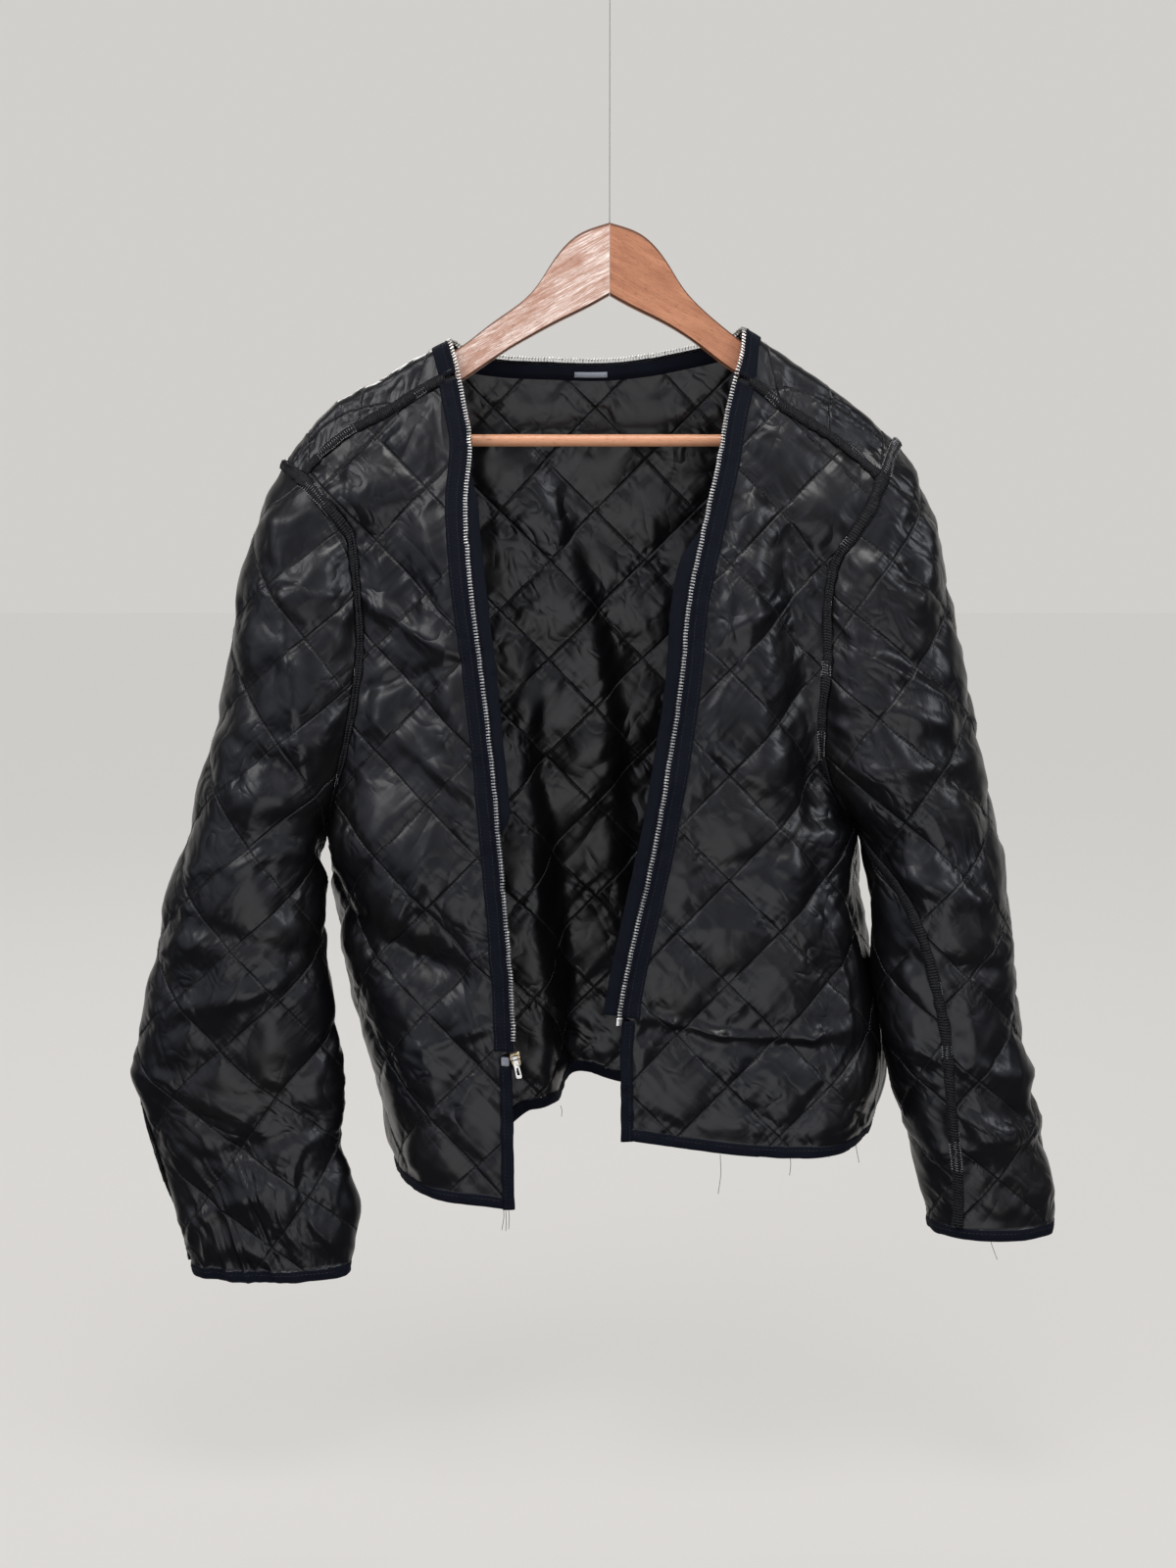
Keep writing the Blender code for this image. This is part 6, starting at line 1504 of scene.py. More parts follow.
def sew_panels(*names):
    """Quilted walls and the threads on them."""
    pitch = bpy.context.scene.liner_sizes.stitch
    for name in names:
        satin = quilted_satin("back satin", 0.42) if name == "back" else quilted_satin()
        cloth = cloth_of(name)
        piece, size, area = make_panel(cloth, PANEL_STEP[name] * (1.0), satin)
        threads = [quilting_thread(cloth, pitch, dark_thread(), inside)
                   for inside in ((False, True) if name == "back" else (False,))]


# ------------ bands
# Profiles of pairs: how far beyond the cloth's edge, and how far above its middle.
TAPE_TOP = OUTER_FACE + TAPE_THICK
TAPE_PROFILE = [
    (-TAPE_WIDTH, OUTER_FACE), (-TAPE_WIDTH + 0.0002, OUTER_FACE + TAPE_THICK * 0.8),
    (-TAPE_WIDTH + 0.0010, TAPE_TOP), (-0.0090, OUTER_FACE + TAPE_THICK * 0.92),
    (-0.0040, TAPE_TOP), (-0.0014, TAPE_TOP), (-0.0009, TAPE_TOP + 0.0005),
    (-0.0001, TAPE_TOP + 0.0007), (0.0010, TAPE_TOP + 0.0003),
    (0.0024, OUTER_FACE + TAPE_THICK * 0.4), (0.0021, OUTER_FACE),
]
BINDING_PROFILE = [
    (-0.0007, 0.00168), (0.0006, 0.00188), (0.0035, 0.00198), (0.0066, 0.00188),
    (0.0084, 0.00130), (0.0091, 0.0), (0.0084, -0.00130), (0.0066, -0.00188),
    (0.0035, -0.00198), (0.0006, -0.00188), (-0.0007, -0.00168),
]


def facing_profile(beyond, lower=SEAM_GAP):
    """Flat ribbon behind the cloth's edge that reaches some way past it."""
    high = -OUTER_FACE - lower
    places = (-FACING_WIDTH, -0.006, -0.001, beyond)
    return [(x, high) for x in places] + [(x, high - TAPE_THICK) for x in places[::-1]]


def sweep_band(node, cloth, flat, way, profile, finish, slot="navy_tape", ripple=0.0):
    """A band in the place of a node: its profile carried along an edge of the cloth."""
    steps = run_length(flat)
    profile = np.broadcast_to(profile, (len(flat),) + np.shape(profile)[-2:])
    spots = flat[:, None] - way[:, None] * profile[..., :1]
    above = profile[..., 1] + (ripple * noise(steps / 0.011, 0.5, 3))[:, None]
    points = cloth.place(spots[..., 0], spots[..., 1], above)
    piece = swept(node + "_sewn", points, finish, strip_uv(steps, run_length(points[0])))
    return stands_for(piece, node, slot)


def stitch_row(name, cloth, flat, way, beyond, above, pitch=0.0032):
    """A row of stitches beside an edge, at a distance beyond it and a height."""
    steps = run_length(flat)
    starts = np.arange(0.001, steps[-1] - pitch, pitch)
    ends = []
    for where in (starts, starts + pitch * 0.68):
        spot = rows_at(flat, steps, where) - rows_at(way, steps, where) * beyond
        ends.append(cloth.place(*spot.T, above))
    normal = cloth.frame_at(*rows_at(flat, steps, starts).T)[1]
    return stitches(name, *ends, normal, THREAD, dark_thread())


def binding(node, cloth, name, trim, ends=(None, None), flip=False):
    """Folded binding along an edge, with its stitching on the outer face."""
    flat, way = cloth.run(name)
    if flip:
        flat, way = flat[::-1], way[::-1]
    flat, way = trimmed(flat, turned_ends(flat, way, *ends), *trim)
    sweep_band(node, cloth, flat, way, BINDING_PROFILE, ribbed_tape(), ripple=0.00022)
    stitch_row(node + "_stitches", cloth, flat, way, 0.0022, 0.00205, 0.0034)


def up_from(flat):
    """Flat direction of a run's last steps, seen from its end."""
    return units(flat[-5] - flat[-1])


def bind_edges():
    """Bindings below the zip's ends, and of hems and cuffs."""
    down = np.array([0.0, -1.0])
    for side in SIDES:
        cloth = cloth_of(f"front_{side}")
        bound, hem = cloth.edges["bound"].flat, cloth.edges["hem"].flat
        flip = bound[0, 1] < bound[-1, 1]
        low = bound[::-1] if flip else bound
        short = NOTCH[side] - 0.002 if side == "left" else 0.0
        binding(f"edge_binding_{side}", cloth, "bound", (-BINDING_WIDTH, short), flip=flip)
        ends = up_from(cloth.edges["side"].flat), up_from(low[::-1])
        binding(f"hem_binding_{side}", cloth, "hem", (3 * SEAM_GAP, SEAM_GAP), ends,
                np.linalg.norm(hem[0] - low[0]) < 1e-6)
        binding(f"cuff_binding_{side}", cloth_of(f"sleeve_{side}"), "hem",
                (SEAM_GAP / 2, SEAM_GAP / 2), (down, down))
    cloth = cloth_of("back")
    ends = [up_from(cloth.edges[f"side_{side}"].flat) for side in SIDES]
    binding("hem_binding_back", cloth, "hem", (3 * SEAM_GAP, 3 * SEAM_GAP), ends)


# ------------ zip
TOOTH = np.array([(u, v, w) for w in (-1.0, 1.0) for u, v in (
    (0.0012, -0.00042), (0.0026, -0.00044), (0.0034, -0.00072), (0.0043, -0.00066),
    (0.0047, 0.0), (0.0043, 0.00066), (0.0034, 0.00072), (0.0026, 0.00044),
    (0.0012, 0.00042))])
TOOTH[[2, 3, 4, 5, 6, 11, 12, 13, 14, 15], 2] *= 0.86
TOOTH_SIDES = np.array([(k, (k + 1) % 9, (k + 1) % 9 + 9, k + 9) for k in range(9)])
TOOTH_FACES = [TOOTH_SIDES, np.arange(9)[None, ::-1], np.arange(9)[None] + 9]


def zip_edge(name):
    """Flat run of a zip edge with its inward ways, turned along the shoulder seam at its end."""
    cloth = cloth_of(name)
    flat, way = cloth.run("neck" if name == "back" else "zip")
    seams = [edge.flat for edge in cloth.edges.values() if edge.name.startswith("shoulder")]
    ends = [units(seam[6] - seam[0]) for seam in seams]
    if name == "back":
        return cloth, flat, turned_ends(flat, way, *ends, 0.015)
    if np.linalg.norm(flat[-1] - seams[0][0]) > 0.001:
        flat, way = flat[::-1], way[::-1]
    return cloth, flat, turned_ends(flat, way, None, ends[0], 0.015)


def zip_teeth(name, cloth, flat, way, raised, trim):
    """Teeth at an even pitch: each stands in the frame of the edge's outward way and run."""
    flat, way = trimmed(flat, way, *trim)
    steps = run_length(cloth.place(*(flat - way * CHAIN_START).T, 0.0))
    where = np.arange(TOOTH_PITCH / 2, steps[-1], TOOTH_PITCH)
    spot, turn = rows_at(flat, steps, where), rows_at(way, steps, where)
    edge = cloth.place(*spot.T, 0.0)
    out = units(cloth.place(*(spot - turn * 0.006).T, 0.0) - edge)
    along = units(np.cross(cloth.frame_at(*spot.T)[1], out))
    up = np.cross(out, along)
    along = units(along + out * (0.06 * noise(np.arange(len(spot)) * 0.9, 0.3, 5)[:, None]))
    axes = np.stack([out, along, up * 0.00125], axis=1)
    middle = edge + up * (CHAIN_TOP - CHAIN_THICK / 2 + raised)
    piece = repeated(name, TOOTH, TOOTH_FACES, middle, axes, silver("aluminium teeth", 0.45, 0.40))
    return piece


def sew_zip():
    """Tapes, teeth and the ribbons behind them."""
    for side in SIDES:
        cloth, flat, way = zip_edge(f"front_{side}")
        tape = trimmed(flat, way, 0.0, 0.0030)
        sweep_band(f"zip_tape_{side}", cloth, *tape, TAPE_PROFILE, ribbed_tape(), ripple=0.00012)
        start = SLIDER_DROP + 0.004 if side == "left" else 0.0
        zip_teeth(f"zip_teeth_{side}", cloth, flat, way, 0.0, (start, 0.0006))
        for tail, beyond in (("", -0.0042), ("_edge", -0.0118)):
            stitch_row(f"zip_stitches_{side}{tail}", cloth, *tape, beyond, TAPE_TOP + 0.0001)
        first, last, reach = FACING_SHOWN[side]
        flat, way = trimmed(flat, way, 0.0, 0.0008)
        u = np.linspace(0, 1, len(flat))
        rise = reach * smooth((u - first) / 0.06) * smooth((last - u) / 0.10) - 0.0004
        rise = rise * (1 + 0.10 * noise(u * 9, 0.2, 8))
        sweep_band(f"facing_{side}", cloth, flat, way, np.array([facing_profile(r) for r in rise]),
                   ribbed_tape("navy ribbon", None, 0.0008), ripple=0.0002)
    cloth, flat, way = zip_edge("back")
    tape = trimmed(flat, way, 0.0022, 0.0026)
    raised = [(min(beyond, 0.0011), above + 0.0006) for beyond, above in TAPE_PROFILE]
    sweep_band("zip_tape_neck", cloth, *tape, raised, ribbed_tape(), ripple=0.00012)
    zip_teeth("zip_teeth_neck", cloth, flat, way, 0.0006, (0.0006, 0.0006))
    sweep_band("facing_neck", cloth, *tape, facing_profile(-0.0004, 0.0014),
               ribbed_tape("navy ribbon"))
    stitch_row("zip_stitches_neck", cloth, *tape, -0.0042, TAPE_TOP + 0.0007)


def sew_label():
    """Grey woven label on the neck's ribbon, folded at its ends."""
    cloth, flat, way = zip_edge("back")
    x = cloth.place(*flat.T, 0.0)[:, 0]
    keep = (flat[:, 1] > 0.10) & (x > LABEL_X[0]) & (x < LABEL_X[1])
    low = -OUTER_FACE - TAPE_THICK - 0.0018
    profile = [(-0.0050, low), (-0.0090, low), (-0.0092, low - 0.0005), (-0.0090, low - 0.0010),
               (-0.0070, low - 0.0009), (-0.0050, low - 0.0010), (-0.0048, low - 0.0005)]
    label = ribbed_tape("grey label", tuple(hues().label), 0.0005, 0.00005)
    sweep_band("neck_label", cloth, *trimmed(flat[keep], way[keep], 0.0, 0.0), profile, label,
               "grey_woven", 0.0001)


def flat_block(node, side, span, across, heights, finish, slot, chamfer=0.0003):
    """A small rounded block beside the zip's lower end, in the cloth's own frame."""
    drops = np.linspace(span[0], span[1], 9)
    q = drops + WRAP_EXTRA
    p = np.array([front_p(side, edge_x(side, d), float(q_)) for d, q_ in zip(drops, q)])
    (a, b), (c, d) = across, heights
    u, v = chamfer * (1.0 if b > a else -1.0), chamfer * (1.0 if d > c else -1.0)
    profile = [(a + u, c), (b - u, c), (b, c + v), (b, d - v), (b - u, d), (a + u, d), (a, d - v),
               (a, c + v)]
    place = cloth_of(f"front_{side}").place
    sections = np.stack([place(p - OUTWARD[side] * x, q, h) for x, h in profile], axis=1)
    middle = sections.mean(axis=1, keepdims=True)
    sections[[0, -1]] = middle[[0, -1]] + (sections[[0, -1]] - middle[[0, -1]]) * 0.9
    piece = swept(node + "_made", sections, finish, strip_uv(drops, np.arange(8) * 0.001))
    return stands_for(piece, node, slot)


# ------------ seam allowances
def shared_run(pairs):
    """Both pieces' edges along one seam, with the same points in space."""
    count = steps_along(ALLOWANCE_STEP, 6, *(marks for _, marks in pairs))
    edges = [(cloth, edge_of("seam", marks, count)) for cloth, marks in pairs]
    return [(cloth, edge, inward(cloth.outline, edge.flat)) for cloth, edge in edges]


def overlock(node, runs, trim):
    """Allowance over a seam: a flat ridge of cut cloth with thread wound across it."""
    sections, wound = [], []
    low = WALL / 2 + 2 * SEAM_GAP
    for pairs in runs:
        one, other = shared_run(pairs)
        target, up = one[1].target, one[1].up
        count = np.linspace(0, 1, len(target)) * len(target)
        wave = 0.0009 * noise(count * 0.30, 0.4, 9)
        bulk = 0.0010 * noise(count * 0.42, 2.4, 10) + 0.0005 * noise(count * 0.9, 1.4, 11)
        over = []
        for (cloth, edge, way), share in ((one, 1.0), (one, 0.5), (other, 0.5), (other, 1.0)):
            spot = edge.flat + way * (ALLOWANCE_HALF * share + wave[:, None])
            lift = low + ALLOWANCE_RISE * (0.45 if share == 1.0 else 0.86) + bulk * share
            over.append(cloth.place(*spot.T, lift))
        top = target + up * (low + ALLOWANCE_RISE * 0.80 - bulk * 0.6)[:, None]
        over.insert(2, top)
        below = [cloth.place(*(edge.flat + way * ALLOWANCE_HALF * 0.96).T, low * 0.8)
                 for cloth, edge, way in (other, one)]
        section = np.stack(over + [below[0], target + up * low * 0.8, below[1]], axis=1)
        sections.append(section[min(len(sections), 1):])
        length = run_length(top)
        where = np.arange(0.004, length[-1] - 0.004, 0.0021)
        for first, second, lean, step in ((0, 2, 0.0, 0.0005), (2, 4, 0.0006, 0.0011),
                                          (4, 4, 0.0, 0.0014), (0, 0, 0.0, 0.0014)):
            wound.append((rows_at(over[first] + up * THREAD, length, where + lean),
                          rows_at(over[second] + up * THREAD, length, where + step),
                          rows_at(up, length, where)))
    whole = np.concatenate(sections)
    start, end = (max(1, int(cut / ALLOWANCE_STEP)) for cut in trim)
    whole = whole[start:len(whole) - end]
    piece = swept(node + "_cloth", whole, allowance_cloth(),
                  strip_uv(np.arange(len(whole)) * ALLOWANCE_STEP, np.linspace(0, 0.02, 8)))
    stands_for(piece, node, "overlocked_seam")
    starts, ends, tops = (np.vstack(points) for points in zip(*wound))
    tops = units(tops)
    faded = noise(starts[:, 0] / 0.018 + starts[:, 1] / 0.02, starts[:, 2] / 0.018, 21) < 0.42
    grey = sewing_thread("grey overlock thread", tuple(hues().overlock))
    for kind, which, thread in (("black", faded, dark_thread()), ("grey", ~faded, grey)):
        stitches(f"{node}_thread_{kind}", starts[which], ends[which], tops[which],
                         THREAD * 0.62, thread)


def sew_allowances():
    """Overlocked allowances of shoulders, armholes and underarm seams."""
    back = cloth_of("back")
    for side in SIDES:
        front, sleeve = cloth_of(f"front_{side}"), cloth_of(f"sleeve_{side}")
        overlock(f"shoulder_seam_{side}", [((front, shoulder_marks(side, "front")),
                                            (back, shoulder_marks(side, "back")))], (0.014, 0.005))
        behind = [(cloth, armhole_marks(side, "back", kind)[::-1] + armhole_marks(side, "cap", kind)[1:])
                  for cloth, kind in ((back, "back"), (sleeve, "sleeve"))]
        ahead = [(cloth, armhole_marks(side, "front", kind))
                 for cloth, kind in ((front, "front"), (sleeve, "sleeve"))]
        overlock(f"armhole_seam_{side}", [behind, ahead], (0.014, 0.014))
        runs = sleeve_runs(side)
        overlock(f"sleeve_seam_{side}", [((sleeve, runs["seam_high"]), (sleeve, runs["seam_low"]))],
                 (0.002, 0.001))


# ------------ slider and pull
def slider_frame():
    """Corner and axes of the slider: it leans by its tilt about Y at the zip's lower end."""
    drop = ZIP_END["left"] + SLIDER_DROP
    q = drop + WRAP_EXTRA
    p = front_p("left", edge_x("left", drop), q)
    c, s = math.cos(SLIDER_TILT), math.sin(SLIDER_TILT)
    return (FRONTS["left"].points(p + (CHAIN_START + CHAIN_END) / 2, q),
            np.array([(c, 0.0, -s), (0.0, 1.0, 0.0), (s, 0.0, c)]))


def plate(outline, y0, y1, chamfer=0.0003):
    """A flat plate over an x-z outline, with its rims taken off."""
    outline = np.asarray(outline, float)
    middle = outline.mean(axis=0)
    small = middle + (outline - middle) * (1 - chamfer / np.abs(outline - middle).max())
    turn = 1.0 if y1 > y0 else -1.0
    sections = [(small, y0), (outline, y0 + chamfer * turn), (outline, y1 - chamfer * turn), (small, y1)]
    return shell([[(x, y, z) for x, z in shape] for shape, y in sections])


def cast(node, shells, base, axes, finish, slot):
    """Several shells as one piece of metal, placed in the slider's frame."""
    verts, groups = joined(shells)
    piece = new_piece(node + "_cast", base + verts @ axes, groups, finish, soft=False)
    return stands_for(piece, node, slot)


def arc(x, z, radius, start, end, count):
    angle = np.radians(np.linspace(start, end, count))
    return [(x + radius * math.cos(a), z + radius * math.sin(a)) for a in angle]


def make_slider():
    """Two plates with a wedge between them, ears, and the pin that the pull hangs on."""
    w, h = SLIDER[0] / 2, SLIDER[2] / 2
    outline = (arc(w - 0.0016, h - 0.0016, 0.0016, 0, 90, 6)
               + arc(-w + 0.0016, h - 0.0016, 0.0016, 90, 180, 6)
               + [(-w, 0.0012), (-w * 0.74, -0.0020)]
               + arc(-w * 0.72 + 0.0012, -h + 0.0012, 0.0012, 180, 270, 5)
               + arc(w * 0.72 - 0.0012, -h + 0.0012, 0.0012, 270, 360, 5)
               + [(w * 0.74, -0.0020), (w, 0.0012)])
    wedge = [(-0.0011, h - 0.0006), (0.0, 0.0004), (0.0011, h - 0.0006)]
    face, back = SLIDER_FACE, SLIDER_FACE + SLIDER[1]
    parts = [plate(outline, face, face + 0.0014), plate(outline, back - 0.0013, back),
             plate(wedge, face + 0.0011, back - 0.0010, 0.0001)]
    for turn in (-1, 1):
        rail = [(turn * w * 0.90, -0.0016), (turn * w * 0.70, -0.0022), (turn * w * 0.62, -h + 0.0006),
                (turn * w * 0.72, -h + 0.0002), (turn * w * 0.80, -0.0030)]
        parts.append(plate(rail, face + 0.0011, face + 0.0022, 0.0001))
        parts.append(plate(rail, back - 0.0022, back - 0.0010, 0.0001))
    pin_y = face - PIN_OFF
    ear = [(face + 0.0006, 0.0043), (pin_y + 0.0006, 0.0043)] + [
        (pin_y + 0.0013 * math.cos(a), PIN_UP + 0.0015 * math.sin(a))
        for a in np.radians(np.linspace(80, 280, 9))] + [(face - 0.0004, 0.0002), (face + 0.0006, -0.0012)]
    near, far = EAR_X
    for turn in (-1, 1):
        parts.append(shell([[(turn * x, y, z) for y, z in ear]
                            for x in (near, near + 0.0001, far - 0.0001, far)]))
    angle = np.linspace(0, 2 * math.pi, 14, endpoint=False)
    parts.append(shell([[(x, pin_y + PIN_RADIUS * math.cos(a), PIN_UP + PIN_RADIUS * math.sin(a))
                         for a in angle] for x in (-far - 0.0002, far + 0.0002)]))
    plating = metal("worn brass plating", hues().brass, hues().brass_dark, 0.26)
    cast("zip_slider", parts, *slider_frame(), plating, "brass")


def make_pull():
    """Pull: an eye round the pin and a flat tongue with a long hole and rounded end."""
    base, axes = slider_frame()
    base = base + np.array([0.0, SLIDER_FACE - PIN_OFF, PIN_UP]) @ axes
    bevel, c = 0.0002, 0.00022
    eye = [[(x, math.cos(a) * r, math.sin(a) * r) for x, r in (
        (-EYE_HALF, EYE_OUTER - bevel), (-EYE_HALF + bevel, EYE_OUTER),
        (EYE_HALF - bevel, EYE_OUTER), (EYE_HALF, EYE_OUTER - bevel),
        (EYE_HALF, EYE_INNER), (-EYE_HALF, EYE_INNER))]
        for a in np.linspace(0, 2 * math.pi, 24, endpoint=False)]
    w, t, length, top = PULL[0] / 2, PULL[1] / 2, PULL[2], -0.0016
    outer = np.array(arc(w - 0.0015, -length + 0.0015, 0.0015, 0, -90, 6)
                     + arc(-w + 0.0015, -length + 0.0015, 0.0015, 270, 180, 6)
                     + arc(-w * 0.86 + 0.0004, top - 0.0004, 0.0004, 180, 90, 3)
                     + arc(w * 0.86 - 0.0004, top - 0.0004, 0.0004, 90, 0, 3))
    hole_middle, reach = np.array([0.0, -0.0112]), np.array([0.0010, 0.0032])
    toward = units(outer - hole_middle)
    inner = hole_middle + toward / np.abs(toward / reach).max(axis=1)[:, None] * 0.94
    shrink = outer + units(inner - outer) * c
    widen = inner + units(outer - inner) * c
    tongue = [[(o[0], -t + c, o[1]), (s[0], -t, s[1]), (v[0], -t, v[1]), (i[0], -t + c, i[1]),
               (i[0], t - c, i[1]), (v[0], t, v[1]), (s[0], t, s[1]), (o[0], t - c, o[1])]
              for o, s, v, i in zip(outer, shrink, widen, inner)]
    piece = cast("zip_pull", [shell(eye, True), shell(tongue, True)], base, axes,
                 silver("satin pull", 0.6, 0.24), "silver_metal")
    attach(piece, "pull")


# ------------ hanger
def arm_curve(side, table):
    """One edge of an arm: a spline through its outline, smoothed by averaging neighbours."""
    x = np.array([min(row.x, 0.200) + max(row.x - 0.200, 0.0) * ARM_SHORT[side] for row in table])
    drop = np.array([row.drop for row in table]) + look_up(ARM_LOWER[side], "drop", x, "x")
    points = np.stack([x, drop], axis=1)
    steps = run_length(points)
    curve = spline_rows(points, np.interp(np.linspace(0, steps[-1], 150), steps, np.arange(len(x))))
    for _ in range(50):
        curve[1:-1] = curve[1:-1] / 2 + (curve[:-2] + curve[2:]) / 4
    return curve


def make_arm(side):
    """Arm cut from a board: chamfered sections between its upper and lower edge."""
    left = side == "left"
    top, low = arm_curve(side, ARM_TOP + [ARM_LOW[0]]), arm_curve(side, ARM_LOW[::-1])
    keep = np.linalg.norm(top - low, axis=1) > 0.0065
    top, low = top[keep], low[keep]
    across = units(low - top)
    half, cut = ARM_THICK / 2, ARM_CHAMFER
    chamfer = np.minimum(cut, np.linalg.norm(top - low, axis=1) * 0.3)[:, None]
    corners = [(0.0, -half + cut, top), (1.0, -half, top), (-1.0, -half, low), (0.0, -half + cut, low),
               (0.0, half - cut, low), (-1.0, half, low), (1.0, half, top), (0.0, half - cut, top)]
    sections, uv = [], []
    lean = math.atan2(ARM_LOW[5].drop - ARM_LOW[-1].drop, ARM_LOW[5].x - ARM_LOW[-1].x)
    for inset, y, curve in corners:
        x, drop = (curve + across * chamfer * inset).T
        sections.append(at(OUTWARD[side] * x, y, drop))
        height = drop * math.cos(lean) - x * math.sin(lean)
        uv.append(np.stack([x * math.cos(lean) + drop * math.sin(lean),
                            height + 0.7 * y + (0.31 if left else 0.0)], axis=1))
    if left:
        finish = wood("pale varnished wood", hues().wood_pale, hues().wood_pale_deep, 0.30, 0.45, 1.0)
    else:
        finish = wood("orange wood", hues().wood_orange, hues().wood_orange_deep, 0.38, 0.20, 0.12)
    piece = swept(f"hanger_arm_{side}_cut", np.stack(sections, axis=1), finish, np.stack(uv, axis=1),
                  soft=False)
    wear = np.zeros(len(piece.data.polygons), np.float32)
    wear[:8 * (len(top) - 1)] = np.tile([1.0, 0.0], 4 * (len(top) - 1))
    layer = piece.data.attributes.new("edge_wear", "FLOAT", "FACE")
    layer.data.foreach_set("value", wear)
    return stands_for(piece, f"hanger_arm_{side}", "wood_pale" if left else "wood_orange")


def make_bar():
    """Turned bar between the arms."""
    x = np.linspace(-BAR_END["left"] + 0.002, BAR_END["right"] - 0.002, 90)
    wobble = BAR_RADIUS * (1 - 0.015 * (1 + noise(x / 0.03, 0.1, 12)))
    sections = tube_sections(at(x, BAR_Y, BAR_DROP), wobble, 20)
    finish = wood("bar wood", hues().wood_bar, hues().wood_orange, 0.38, 0.20, 0.5)
    piece = swept("hanger_bar_turned", sections, finish, strip_uv(x, np.linspace(0, 0.03, 20)))
    return stands_for(piece, "hanger_bar", "wood_orange")


def tied(name, path, radius=LINE_RADIUS, ring=True):
    """A length of the clear line along a path."""
    clear = finish_of("clear nylon line", None, Base_Color=(0.22, 0.22, 0.22, 1.0), Roughness=0.35,
                      Specular_IOR_Level=0.6)
    path = np.stack(np.broadcast_arrays(*path), axis=1)
    piece = swept(name, tube_sections(path, radius, 8, ring), clear, ring=ring)
    return stands_for(piece, name.rpartition("_")[0], "clear_line")


def hang_line():
    """Taut clear line, its knot and its loop."""
    z = np.linspace(HANGER_TOP - 0.0003, -KNOT_DROP - KNOT_RADIUS, 60)
    line = tied("line_drawn", (0.0, 0.0, z), ring=False)
    t = np.linspace(0, 2 * math.pi, 64, endpoint=False)
    knot = tied("line_knot_tied", (0.0009 * np.sin(t) + 0.0006 * np.sin(2 * t), 0.0007 * np.cos(3 * t),
                                   -KNOT_DROP + 0.0010 * np.cos(t) - 0.0005 * np.cos(2 * t)),
                LINE_RADIUS * 0.9)
    low, top = -KNOT_DROP + KNOT_RADIUS, -LINE_RADIUS
    a = np.linspace(0, 2 * math.pi, 48, endpoint=False)
    wide = 0.55 + 0.45 * (0.5 - 0.5 * np.cos(a))
    loop = tied("line_loop_tied", (LOOP_HALF * np.sin(a) * wide, 0.0,
                                   (low + top) / 2 - (top - low) / 2 * np.cos(a)))


# ------------ loose threads
LOOSE = [          # x, y and drop of each thread's root, and two bends below it
    (-0.0866, -0.092, 0.7872, (0.0008, 0.0115), (-0.0009, 0.0231)),
    (-0.0850, -0.092, 0.7872, (0.0011, 0.0120), (0.0007, 0.0239)),
    (-0.0826, -0.092, 0.7872, (0.0011, 0.0111), (0.0007, 0.0223)),
    (0.0900, -0.086, 0.7481, (0.0007, 0.0169), (-0.0013, 0.0337)),
    (0.1466, -0.085, 0.7484, (0.0010, 0.0090), (0.0002, 0.0181)),
    (0.1784, -0.078, 0.7423, (0.0012, 0.0058), (0.0010, 0.0115)),
    (0.2027, -0.055, 0.7409, (0.0019, 0.0121), (0.0044, 0.0242)),
    (-0.0415, 0.060, 0.7487, (0.0012, 0.0053), (0.0008, 0.0106)),
    (0.3212, -0.020, 0.8266, (0.0028, 0.0172), (0.0091, 0.0345)),
]


def loose_threads():
    """Ends of thread that hang from the hems and one cuff."""
    shells = []
    t = np.linspace(0, 2, 24)
    for x, y, drop, *bends in LOOSE:
        curve = spline_rows([(0.0, 0.0)] + bends, t)
        path = np.stack([x + curve[:, 0], y + 0.002 * np.sin(t), HANGER_TOP - drop - curve[:, 1]],
                        axis=1)
        shells.append(shell(tube_sections(path, THREAD * 0.75, 5)))
    new_piece("loose_threads", *joined(shells), dark_thread())


# ------------ stage
ROOM_PALE = (0.640, 0.625, 0.600)      # the wall behind
ROOM_DIM = (0.070, 0.072, 0.085)       # the room before the jacket
ROOM_WINDOW = (0.72, 0.76, 0.90)       # its window, and the doorway beside it
ROOM_DOOR = (0.72, 0.75, 0.86)
SUN_WHITE = (1.0, 0.99, 0.97)
FLOOR = (14.0, -1.25)                  # half its width, and its height
LIGHTS = [                             # name, place, goal, width, watts and colour
    ("window light", (-1.5, -1.5, 1.0), (0.0, 0.0, -0.5), 1.0, 16.0, SUN_WHITE),
    ("fill light", (1.8, -1.2, 0.4), (0.0, 0.0, -0.6), 0.8, 10.0, (0.93, 0.96, 1.0)),
    ("back light", (-0.9, 2.2, 1.1), (0.0, 0.0, -0.5), 0.9, 20.0, SUN_WHITE),
    ("bounce light", (0.0, -1.5, -1.15), (0.0, 0.0, -0.45), 1.1, 6.0, (0.97, 0.98, 1.0)),
    ("top light", (0.1, -0.7, 1.3), (0.0, 0.0, -0.4), 1.0, 26.0, SUN_WHITE),
]


